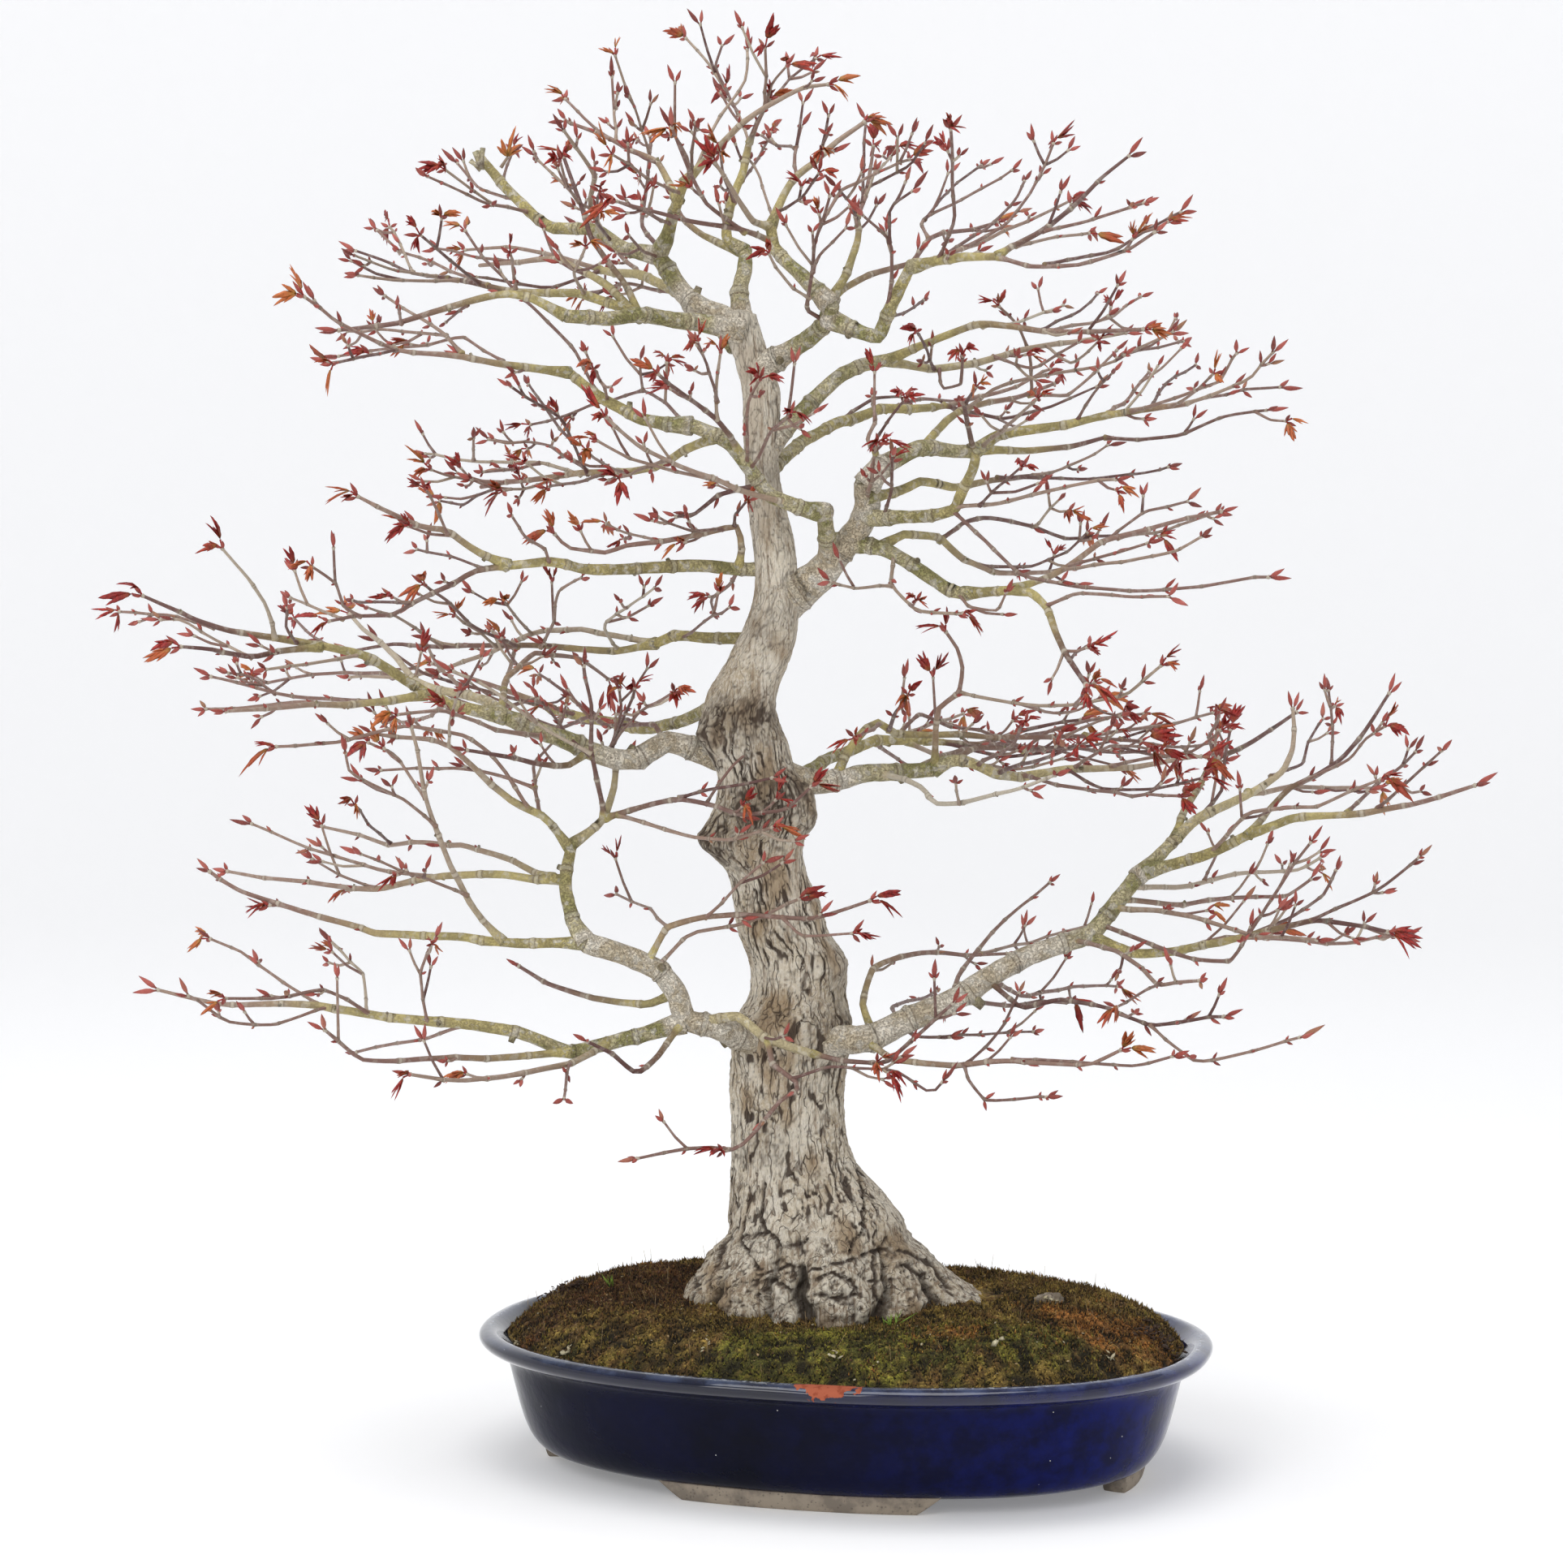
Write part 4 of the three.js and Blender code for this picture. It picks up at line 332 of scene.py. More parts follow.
    [180, 3.2, 2.2, "bud", [-155, 440, -152, 455, -150, 466, -162, 476]],
    [-80, 4, 2.4, "bud", [-108, 405, -120, 398, -140, 399, -177, 405]],
    [120, 3.4, 2.4, "pair", [-66, 410, -72, 420, -100, 422, -107, 427, -125, 421, -137, 425]],
    [150, 3, 2.2, "leaf", [-188, 431, -205, 424, -220, 424]],
    [170, 3.4, 2.2, "pair", [-148, 423, -175, 440, -190, 452, -200, 471]],
    [-130, 3.4, 2.2, "leaf", [-130, 414, -160, 418, -190, 426, -216, 424]],
  ]],
  ["spray_mid_right", "trunk", [0, 391, 0], 4, [
    [26, 13, 8, "cut", [24, 389, 45, 393, 62, 394, 85, 396]],
    [-30, 7, 2.6, "leaf", [85, 396, 95, 400, 108, 399, 122, 394, 135, 393, 165, 397, 200, 398, 236, 403]],
    [90, 5, 2.6, "leaf",
      [30, 391, 40, 408, 48, 418, 55, 422, 63, 416, 105, 415, 140, 415, 170, 416, 202, 413]],
    [-60, 3, 2.2, "leaf", [55, 422, 50, 418, 41, 413]],
    [-80, 3, 2.2, "leaf", [60, 418, 64, 428, 71, 437]],
    [80, 3, 2.2, "bud", [66, 416, 77, 428, 92, 422, 112, 418, 136, 410]],
    [-40, 4, 2.4, "leaf", [86, 397, 86, 410, 86, 420, 88, 430, 100, 439, 102, 452, 99, 463, 92, 473]],
    [-80, 2.6, 2.2, "leaf", [100, 439, 115, 436, 145, 431, 165, 431, 195, 438, 213, 453]],
    [-80, 2.4, 2, "leaf", [165, 431, 173, 442]],
    [50, 2.4, 2, "leaf", [130, 433, 150, 428, 165, 429, 179, 437]],
    [-110, 3.6, 2.2, "bud", [56, 394, 80, 385, 86, 377, 100, 376, 130, 382, 154, 391]],
    [-30, 2.4, 2, "bud", [100, 376, 98, 387]],
    [-130, 3, 2.2, "leaf", [135, 393, 155, 387, 185, 381, 224, 379]],
    [-80, 2.6, 2, "leaf", [160, 396, 180, 385, 210, 384, 237, 390]],
    [140, 3.6, 2.4, "leaf", [95, 400, 110, 408, 135, 407, 160, 409, 190, 408, 217, 405]],
    [70, 3, 2.2, "leaf", [135, 407, 150, 418, 170, 424, 203, 429]],
    [-90, 3, 2.2, "leaf", [110, 398, 130, 410, 137, 421]],
    [-130, 3, 2.2, "leaf", [122, 394, 150, 402, 167, 408]],
    [-80, 2.6, 2, "leaf", [165, 397, 185, 408, 207, 406]],
    [100, 3, 2.2, "leaf", [170, 416, 200, 420, 225, 425, 242, 430]],
    [-60, 2.6, 2, "leaf", [185, 397, 210, 402, 230, 405, 247, 417]],
    [70, 2.6, 2, "leaf", [190, 414, 222, 410, 242, 413]],
    [170, 4, 2.4, "leaf", [70, 395, 90, 404, 120, 412, 152, 420]],
    [-50, 2.4, 2, "leaf", [160, 416, 178, 424, 192, 428]],
  ]],
  ["spray_left_469", "trunk", [-8, 469, 0], 4, [
    [26, 7, 5.5, "cut", [-30, 469, -60, 470, -70, 467]],
    [110, 4.4, 2.4, "pair", [-70, 467, -90, 464, -125, 465, -160, 466, -190, 466, -215, 469, -242, 464]],
    [150, 3.8, 2.4, "bud",
      [-70, 467, -95, 473, -112, 476, -140, 473, -160, 465, -180, 457, -205, 451, -242, 450]],
    [-60, 2.4, 2, "leaf", [-140, 473, -148, 482, -156, 491]],
    [-50, 2.4, 2, "leaf", [-160, 466, -172, 475, -183, 483]],
    [-80, 2.6, 2, "pair", [-190, 466, -205, 476, -217, 483, -232, 487]],
    [-90, 2.6, 2, "pair", [-135, 466, -128, 480, -124, 496, -112, 503]],
    [-90, 2.6, 2, "pair", [-92, 465, -99, 476, -85, 488, -71, 497]],
    [-80, 2.4, 2, "pair", [-56, 470, -45, 477, -29, 486]],
    [-110, 2.8, 2.2, "leaf", [-148, 466, -175, 478, -190, 492, -200, 499]],
  ]],
  ["spray_left_508", "trunk", [3, 508, 0], -4, [
    [-56, 8, 4.6, "cut", [-21, 508, -58, 510, -85, 508, -110, 507, -130, 511, -153, 509]],
    [-50, 4.6, 2.4, "leaf", [-153, 509, -173, 518, -190, 528, -200, 530, -237, 547]],
    [-40, 2.4, 2, "leaf", [-187, 526, -192, 538, -199, 551]],
    [-60, 3.6, 2.2, "leaf", [-153, 509, -172, 506, -190, 496, -215, 483, -254, 477]],
    [60, 2.4, 2, "bud", [-207, 487, -240, 490]],
    [-50, 2.4, 2, "leaf", [-236, 480, -246, 485, -250, 497, -263, 507]],
    [50, 2.4, 2, "bud", [-246, 479, -265, 486, -275, 491]],
    [-80, 2.6, 2, "pair", [-130, 511, -133, 518, -145, 526, -151, 536]],
    [60, 2.4, 2, "pair", [-165, 507, -180, 513, -204, 519]],
    [-50, 4, 2.4, "leaf",
      [-24, 508, -23, 520, -25, 532, -45, 527, -65, 524, -90, 520, -97, 516, -120, 519, -127, 527]],
    [-60, 2.4, 2, "bud", [-33, 530, -50, 529, -69, 536]],
    [60, 2.2, 2, "leaf", [-68, 524, -85, 527, -98, 534]],
    [-30, 2.4, 2, "leaf", [-26, 531, -26, 538, -19, 546]],
    [60, 3, 2.2, "bud", [-24, 508, -28, 500, -40, 492, -38, 485]],
  ]],
  ["spray_right_mid", "trunk", [-4, 487, 0], -6, [
    [-20, 18, 13, "cut", [19, 503, 32, 518, 42, 530, 48, 543, 47, 556]],
    [-30, 10, 8, "cut", [27, 513, 25, 525, 24, 540]],
    [-20, 8.5, 7, "cut", [36, 523, 50, 522, 58, 520, 73, 511, 92, 498, 102, 494]],
    [-100, 6, 3, "leaf", [102, 494, 128, 496, 140, 494, 148, 486, 158, 460, 171, 441]],
    [30, 2.4, 2, "pair", [161, 455, 173, 465]],
    [40, 4, 2.4, "bud", [130, 496, 157, 507, 180, 522, 210, 532, 246, 540]],
    [70, 2.4, 2, "pair", [188, 525, 215, 530, 243, 540]],
    [50, 2.4, 2, "pair", [180, 522, 205, 540, 227, 546]],
    [-50, 2.4, 2, "bud", [160, 509, 185, 516, 205, 521]],
    [-90, 2.6, 2, "bud", [157, 507, 200, 513, 222, 516, 235, 524]],
    [110, 5, 2.6, "bud", [56, 521, 68, 527, 88, 524, 102, 514, 120, 507, 150, 508, 162, 511]],
    [70, 2.6, 2, "leaf", [110, 511, 140, 511, 160, 520, 171, 530]],
    [130, 3.2, 2.2, "bud", [88, 524, 102, 535, 115, 537, 142, 533, 160, 526, 202, 531]],
    [-50, 2.4, 2, "bud", [142, 533, 156, 548]],
    [-70, 2.8, 2.2, "leaf", [63, 517, 62, 498, 76, 485, 102, 482]],
    [-50, 2.4, 2, "pair", [62, 498, 42, 497, 27, 500]],
    [-50, 2.4, 2, "bud", [98, 495, 105, 487, 120, 484, 126, 494]],
    [-90, 2.6, 2, "pair", [148, 486, 165, 492, 195, 490, 217, 490]],
    [-60, 8, 5, "cut", [45, 538, 57, 536, 80, 538, 97, 541, 102, 552, 107, 563, 109, 572]],
    [-50, 2.8, 2.2, "pair", [95, 541, 115, 523, 135, 504, 165, 497, 210, 495, 273, 502]],
    [-80, 2.8, 2.2, "bud", [98, 542, 120, 543, 160, 553, 187, 556]],
    [-60, 2.4, 2, "leaf", [111, 542, 120, 552, 134, 563]],
    [-50, 2.6, 2, "pair", [57, 536, 62, 550, 62, 571]],
    [-70, 3, 2.2, "leaf", [48, 545, 50, 560, 54, 577]],
    [120, 6, 3, "bud", [48, 548, 62, 550, 77, 557, 95, 555, 120, 560, 146, 562]],
    [80, 2.6, 2, "bud", [120, 560, 165, 560, 200, 563, 216, 567]],
    [50, 2.4, 2, "pair", [140, 562, 155, 565, 170, 572, 182, 579]],
    [60, 3, 2.2, "bud", [50, 572, 48, 580, 52, 592, 51, 604]],
    [-50, 2.4, 2, "leaf", [50, 575, 60, 590, 69, 601]],
  ]],
  ["spray_right_far", "spray_right_mid", [47, 554, -26], -26, [
    [50, 11, 7, "cut", [56, 564, 62, 568, 75, 574, 90, 574, 108, 574]],
    [-40, 6.4, 3.4, "cut", [108, 574, 120, 582, 150, 588, 180, 594, 210, 598, 226, 600]],
    [-40, 2.6, 2, "pair", [226, 600, 245, 607, 262, 614, 274, 628]],
    [50, 2.4, 2, "pair", [226, 600, 260, 608, 278, 610]],
    [-60, 2.4, 2, "leaf", [218, 599, 232, 608, 241, 616]],
    [80, 3, 2.2, "bud", [182, 594, 195, 605, 205, 619]],
    [-50, 2.4, 2, "pair", [165, 591, 175, 606, 185, 617]],
    [90, 2.6, 2, "pair", [205, 598, 215, 612, 231, 623]],
    [-90, 2.6, 2, "pair", [195, 596, 225, 604, 245, 612, 254, 627]],
    [50, 5, 2.8, "cut", [110, 575, 135, 575, 162, 578, 182, 583]],
    [-50, 2.8, 2, "pair", [180, 583, 200, 582, 220, 584, 250, 594, 271, 597]],
    [120, 5, 2.6, "bud", [78, 576, 85, 585, 92, 592, 103, 598, 120, 602, 140, 607, 152, 613]],
    [50, 2.8, 2.2, "pair", [138, 606, 160, 607, 170, 615, 187, 632]],
    [-60, 2.6, 2.2, "leaf", [140, 606, 139, 625, 132, 643, 121, 655]],
    [-80, 3.6, 2.4, "leaf", [107, 574, 104, 590, 102, 598, 109, 609]],
    [-110, 3, 2.2, "leaf", [112, 577, 130, 590, 143, 602]],
    [80, 2.8, 2, "pair", [100, 597, 118, 609, 150, 618, 180, 624, 217, 641]],
    [60, 2.4, 2, "bud", [190, 629, 224, 637]],
  ]],
  ["spray_wide_left", "spray_right_mid", [25, 539, -35], -44, [
    [-16, 8, 7.5, "cut", [17, 540.5, 8, 544, -5, 550, -18, 565, -27, 576, -40, 583, -50, 587]],
    [30, 7.5, 5, "cut", [-50, 587, -78, 592, -97, 602, -118, 617]],
    [-50, 5, 2.8, "cut", [-118, 617, -155, 623, -178, 627, -215, 629]],
    [-30, 2.8, 2.2, "leaf", [-215, 629, -238, 640, -250, 646, -266, 658]],
    [-70, 2.4, 2, "leaf", [-215, 629, -238, 624, -250, 620]],
    [50, 2.8, 2, "bud", [-178, 627, -187, 638, -205, 650, -221, 660]],
    [70, 2.4, 2, "pair", [-155, 623, -178, 636, -205, 632, -247, 627]],
    [80, 2.4, 2, "pair", [-187, 637, -215, 641, -242, 641]],
    [100, 2.6, 2.2, "leaf", [-104, 606, -115, 628, -125, 640, -140, 656, -150, 665, -165, 682, -176, 697]],
    [-60, 2.4, 2, "leaf", [-97, 602, -100, 610, -105, 618]],
    [110, 2.8, 2, "pair", [-52, 587, -65, 600, -77, 608, -79, 625]],
    [80, 2.4, 2, "leaf", [-77, 608, -100, 602, -125, 594, -140, 590]],
    [130, 5, 3, "cut", [-36, 581, -50, 575, -65, 567, -85, 561, -112, 561, -145, 558, -168, 555]],
    [60, 2.4, 2, "leaf", [-158, 556, -178, 546, -191, 548]],
    [-40, 2.4, 2, "leaf", [-158, 556, -187, 561, -196, 564]],
    [90, 2.8, 2, "bud", [-112, 561, -135, 568, -172, 570, -199, 574]],
    [-40, 2.4, 2, "bud", [-172, 570, -172, 582]],
    [-60, 2.4, 2, "bud", [-135, 568, -155, 563, -167, 562]],
    [120, 2.6, 2, "bud", [-105, 561, -130, 578, -160, 582]],
    [-70, 2.6, 2, "pair", [-108, 561, -122, 590, -140, 602, -151, 609]],
    [80, 2.4, 2, "bud", [-118, 578, -130, 595, -141, 612]],
    [-80, 3.6, 2.4, "leaf", [6, 545, -15, 550, -45, 559, -78, 573, -98, 591]],
    [-40, 2.6, 2, "leaf", [-30, 554, -65, 563, -85, 569, -103, 578]],
    [-70, 3.6, 2.4, "leaf", [-24, 573, -36, 590, -57, 607, -69, 615]],
    [-30, 2.6, 2, "leaf", [-36, 590, -36, 605, -34, 627]],
    [-60, 2.6, 2, "leaf", [-36, 600, -41, 620, -47, 633]],
    [-90, 2.6, 2, "leaf", [-17, 564, -5, 583, 5, 593]],
    [-70, 2.6, 2, "leaf", [-19, 567, -18, 600, -12, 612]],
    [-110, 2.8, 2, "leaf", [-62, 568, -80, 562, -91, 557]],
    [-90, 2.6, 2, "leaf", [-100, 561, -113, 557, -131, 552]],
    [-70, 2.4, 2, "leaf", [-125, 560, -140, 554, -156, 551]],
    [-90, 2.6, 2, "leaf", [-85, 561, -100, 566, -109, 573]],
    [24, 3.4, 2.4, "pair", [-9, 555, -35, 548, -48, 539, -59, 537]],
  ]],
  ["spray_upper_left", "trunk", [-22, 641, -4], -13, [
    [-46, 10, 7, "cut", [-48, 646, -60, 646, -80, 648, -100, 646, -120, 648]],
    [-10, 5, 2.6, "pair", [-120, 648, -138, 657, -152, 659, -172, 655, -190, 650, -214, 643, -247, 640]],
    [30, 2.4, 2, "bud", [-175, 654, -187, 645]],
    [-30, 2.4, 2, "bud", [-212, 644, -214, 653]],
    [60, 6, 3, "cut", [-78, 648, -95, 657, -112, 662, -140, 663, -163, 666, -185, 670]],
    [40, 2.8, 2, "pair", [-185, 670, -207, 674, -220, 680, -237, 686]],
    [-60, 2.6, 2, "bud", [-180, 669, -215, 668, -236, 671]],
    [90, 2.4, 2, "leaf", [-205, 674, -212, 690, -218, 700]],
    [100, 2.8, 2, "pair", [-163, 666, -190, 678, -212, 686, -225, 698]],
    [-70, 2.6, 2, "leaf", [-168, 667, -185, 680, -201, 693]],
    [-70, 2.4, 2, "bud", [-192, 671, -215, 675, -238, 682]],
    [110, 5, 2.8, "cut", [-81, 648, -95, 664, -112, 674, -122, 680, -150, 680, -168, 678]],
    [60, 2.4, 2, "pair", [-150, 680, -175, 684, -192, 688]],
    [-60, 2.6, 2, "leaf", [-148, 664, -151, 683]],
    [-80, 2.6, 2, "leaf", [-110, 661, -115, 672, -109, 686]],
    [55, 4, 2.6, "leaf", [-79, 648, -88, 668, -95, 678, -105, 692, -112, 712, -121, 737]],
  ]],
  ["spray_left_leader", "trunk", [-26, 642, 2], 9, [
    [14, 13, 9, "cut", [-46, 656, -55, 664, -64, 675, -69, 683]],
    [70, 8, 5, "cut", [-69, 683, -88, 687, -103, 696, -128, 698, -140, 707, -153, 720, -169, 740]],
    [-80, 2.8, 2, "bud", [-140, 707, -165, 712, -197, 726]],
    [-30, 2.4, 2, "leaf", [-160, 711, -175, 721, -187, 730]],
    [50, 2.6, 2, "pair", [-148, 714, -168, 721, -180, 735]],
    [40, 2.4, 2, "leaf", [-153, 720, -155, 727, -149, 742]],
    [70, 2.6, 2, "pair", [-103, 696, -114, 715, -137, 739]],
    [-70, 3.6, 2.4, "bud", [-99, 693, -106, 712, -104, 725, -113, 740, -121, 751]],
    [-60, 2.6, 2, "leaf", [-104, 708, -112, 712, -118, 720, -123, 734]],
    [-90, 2.6, 2, "leaf", [-95, 691, -103, 702, -101, 717]],
    [-30, 8, 5, "cut", [-69, 683, -64, 692, -60, 702, -57, 712, -54, 722]],
    [-40, 4.6, 2.4, "leaf", [-54, 722, -40, 737, -28, 748, -10, 763, 12, 775, 26, 776]],
    [-50, 2.6, 2, "pair", [-50, 726, -49, 740, -48, 755]],
    [30, 2.8, 2, "bud", [-49, 728, -40, 748, -27, 768, -20, 780, -19, 796]],
    [-60, 2.6, 2, "leaf", [-51, 724, -52, 735, -61, 751]],
    [80, 4.2, 2.4, "pair", [-57, 712, -70, 734, -92, 746, -120, 758]],
    [40, 2.4, 2, "leaf", [-95, 747, -110, 760, -120, 770]],
    [30, 2.4, 2, "bud", [-92, 746, -93, 760, -91, 773]],
    [110, 3.2, 2.2, "pair", [-67, 686, -77, 700, -74, 725, -73, 750]],
    [-40, 2.4, 2, "bud", [-74, 741, -80, 760, -85, 771]],
    [-90, 2.8, 2, "pair", [-61, 700, -75, 706, -94, 712]],
    [-60, 2.6, 2, "pair", [-68, 682, -77, 685, -85, 693]],
    [-70, 2.6, 2, "leaf", [-56, 717, -75, 725, -94, 737]],
  ]],
  ["spray_centre_leader", "trunk", [-22, 640, 6], 12, [
    [16, 10, 7.5, "cut", [-22, 662, -20, 672, -20, 686]],
    [60, 5, 3, "bud", [-20, 684, -32, 688, -45, 694, -55, 704, -61, 716]],
    [20, 6, 4, "cut", [-20, 685, -30, 692, -29, 703, -25, 716, -20, 730, -18, 745]],
    [-20, 3.4, 2.2, "leaf", [-18, 745, -13, 757, -6, 769]],
    [-50, 2.6, 2, "leaf", [-16, 750, -9, 765, -9, 797]],
    [60, 2.6, 2, "leaf", [-18, 745, -24, 762, -31, 775]],
    [60, 2.4, 2, "pair", [-24, 762, -37, 788, -33, 800]],
    [30, 2.4, 2, "leaf", [-31, 774, -40, 789, -53, 804]],
    [-60, 2.6, 2, "leaf", [-27, 712, -33, 728, -34, 739]],
    [-30, 2.4, 2, "leaf", [-9, 764, -5, 778, 3, 787]],
    [40, 2.4, 2, "leaf", [-7, 768, 5, 780, 19, 792]],
    [80, 2.6, 2, "leaf", [-22, 724, -12, 738, -6, 752]],
  ]],
  ["spray_right_leader", "trunk", [-14, 619, 0], -8, [
    [-36, 11, 9, "cut", [3, 630, 14, 637, 24, 646, 28, 654]],
    [24, 9, 6, "cut", [28, 654, 20, 664, 8, 675, -3, 686, -6, 698]],
    [30, 5, 3, "leaf", [-6, 698, -3, 706, 3, 718, 9, 726, 20, 735, 30, 744, 46, 756]],
    [50, 2.8, 2, "pair", [9, 726, 7, 740, 11, 754]],
    [70, 2.4, 2, "pair", [7, 742, -2, 744, -11, 750]],
    [-60, 2.4, 2, "bud", [20, 735, 26, 750]],
    [-50, 4, 2.4, "leaf", [-6, 698, -17, 702, -27, 716, -37, 733]],
    [-70, 3.6, 2.2, "leaf", [-4, 689, -25, 696, -50, 700, -75, 706, -92, 711]],
    [-50, 3, 2.2, "pair", [-20, 695, -42, 711, -52, 730, -61, 752]],
    [70, 2.4, 2, "pair", [-4, 702, -12, 726, -18, 736]],
    [30, 5.4, 3.6, "cut", [27, 656, 36, 672, 41, 690, 42, 703]],
    [-50, 2.6, 2, "pair", [42, 702, 38, 712, 31, 719]],
    [40, 3, 2.2, "leaf", [42, 703, 46, 714, 50, 728, 51, 743]],
    [60, 2.4, 2, "pair", [45, 711, 45, 735, 47, 758]],
    [80, 2.4, 2, "leaf", [50, 726, 58, 735, 64, 743]],
    [-50, 2.4, 2, "pair", [48, 720, 72, 732, 80, 744]],
    [-70, 3, 2.2, "pair", [24, 646, 15, 652, 17, 670, 20, 692, 27, 714]],
    [-40, 2.4, 2, "leaf", [16, 658, 6, 663, -7, 682]],
    [70, 2.6, 2, "leaf", [21, 700, 33, 718, 60, 730, 71, 735]],
    [-60, 2.4, 2, "leaf", [-3, 706, 12, 714, 21, 727]],
    [-50, 2.4, 2, "pair", [17, 672, 22, 682, 36, 696]],
    [-30, 8.5, 6, "cut", [25, 648, 42, 639, 53, 636, 58, 650, 65, 664, 72, 675]],
    [-50, 6, 4, "cut", [72, 675, 88, 680, 100, 681, 120, 680]],
    [-40, 3, 2.2, "bud", [120, 680, 140, 675, 165, 675, 195, 684, 208, 693]],
    [40, 2.6, 2, "pair", [146, 675, 180, 682, 208, 697, 222, 705]],
    [30, 3.6, 2.2, "pair", [120, 680, 145, 694, 162, 708, 179, 725, 193, 736]],
    [-50, 2.4, 2, "bud", [145, 694, 170, 699, 202, 709]],
    [60, 2.4, 2, "leaf", [130, 686, 155, 691, 171, 694]],
    [90, 3, 2, "leaf", [88, 680, 115, 691, 140, 703, 161, 713]],
    [60, 2.6, 2, "leaf", [100, 684, 125, 699, 140, 718, 151, 744]],
    [120, 2.8, 2, "pair", [85, 679, 115, 697, 131, 715, 135, 724]],
    [130, 4, 2.6, "leaf", [29, 656, 50, 673, 72, 680, 82, 692, 100, 697, 120, 702]],
    [70, 2.6, 2, "pair", [82, 692, 78, 702, 95, 712, 128, 731]],
    [-70, 2.6, 2.2, "leaf", [88, 680, 96, 700, 95, 720, 94, 750]],
    [80, 2.4, 2, "bud", [80, 702, 90, 717, 111, 734]],
    [-60, 2.8, 2, "pair", [59, 652, 61, 667, 60, 688, 45, 703]],
    [-40, 2.4, 2, "pair", [60, 688, 61, 706, 73, 716]],
    [80, 2.4, 2, "bud", [57, 648, 68, 651, 79, 658]],
  ]],
  ["spray_right_620", "trunk", [-10, 572, 0], 0, [
    [20, 10, 7, "cut", [7, 590, 22, 605, 33, 616, 45, 622, 60, 625]],
    [-60, 5, 2.6, "leaf", [60, 625, 75, 631, 90, 637, 112, 643, 155, 640, 202, 641]],
    [70, 5, 2.6, "pair", [58, 624, 85, 620, 108, 624, 130, 631, 160, 635, 192, 641]],
    [70, 2.4, 2, "pair", [145, 640, 165, 652, 176, 662]],
    [120, 2.6, 2, "pair", [150, 640, 185, 650, 200, 661]],
    [80, 2.6, 2, "pair", [112, 643, 135, 647, 157, 656]],
    [-70, 2.6, 2, "leaf", [85, 620, 82, 630, 75, 640]],
    [-50, 2.4, 2, "leaf", [88, 620, 90, 610, 100, 612, 101, 627]],
    [-90, 2.6, 2, "pair", [118, 627, 140, 620, 166, 634]],
    [-80, 2.4, 2, "leaf", [148, 633, 162, 624, 177, 635]],
  ]],
  ["spray_back_low", "trunk", [-4, 372, 4], 31, [
    [120, 9, 5, "cut", [0, 381, 12, 392, 30, 404, 52, 412, 80, 414]],
    [20, 4, 2.4, "leaf", [80, 414, 110, 412, 140, 420, 168, 426]],
    [20, 3.4, 2.2, "pair", [70, 413, 100, 402, 130, 398, 158, 404]],
    [90, 3.4, 2.2, "leaf", [60, 413, 84, 424, 102, 430]],
    [80, 3, 2.2, "pair", [52, 412, 66, 402, 84, 398]],
    [-10, 3, 2.2, "leaf", [90, 413, 125, 405, 176, 412, 206, 420]],
    [40, 2.8, 2, "leaf", [110, 412, 150, 410, 190, 400]],
  ]],
  ["spray_back_left", "trunk", [-24, 436, 6], 24, [
    [110, 8, 5, "cut", [-36, 431, -50, 426, -72, 421, -100, 424, -128, 431]],
    [70, 4, 2.4, "leaf", [-128, 431, -150, 440, -172, 448, -196, 458]],
    [40, 3.2, 2.2, "pair", [-110, 426, -140, 436, -166, 432, -190, 441]],
    [90, 3.2, 2.2, "leaf", [-100, 424, -120, 440, -136, 452]],
    [-20, 3, 2.2, "pair", [-128, 431, -165, 442, -200, 452, -226, 470]],
    [90, 3, 2, "pair", [-72, 421, -92, 426, -112, 424]],
  ]],
  ["spray_back_high", "trunk", [-12, 556, 4], 12, [
    [110, 8, 4.6, "cut", [-2, 566, 12, 580, 34, 592, 58, 598, 84, 600]],
    [60, 3.6, 2.2, "leaf", [84, 600, 108, 606, 132, 612, 150, 622]],
    [80, 3.2, 2.2, "pair", [58, 598, 78, 606, 98, 604]],
    [50, 3, 2.2, "leaf", [34, 592, 52, 604, 66, 606]],
    [30, 3, 2, "pair", [90, 601, 124, 594, 150, 600, 176, 612]],
  ]],
  ["spray_back_top", "trunk", [-26, 632, 6], 18, [
    [100, 7, 4.4, "cut", [-38, 646, -54, 660, -78, 672, -100, 676]],
    [60, 3.4, 2.2, "leaf", [-100, 676, -124, 684, -150, 690, -176, 688]],
    [70, 3.2, 2.2, "pair", [-78, 672, -96, 690, -112, 700]],
    [90, 3, 2.2, "leaf", [-60, 663, -84, 668, -110, 664]],
    [-20, 2.8, 2, "pair", [-100, 676, -130, 666, -170, 672]],
  ]],
]

pot_low, pot_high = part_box("pot")
SHIFT = (pot_low + pot_high) / 2 - Vector((POT_X * MM, 0, 0))
SHIFT.z = 0  # from the tree's measuring frame to the part's own


# Places and curves


def clamp(value, low=0.0, high=1.0):
    return min(high, max(low, value))


def smooth(low, high, value):
    """0 below low, 1 above high and a soft step between them. The two may be given either way round."""
    share = clamp((value - low) / (high - low))
    return share * share * (3 - 2 * share)


def place(x, z, depth):
    """The place at a depth that the front elevation shows at x and z."""
    near = (depth - EYE.y) / -EYE.y
    return Vector((EYE.x + (x - EYE.x) * near, depth, EYE.z + (z - EYE.z) * near))


def in_metres(point):
    return point * MM + SHIFT


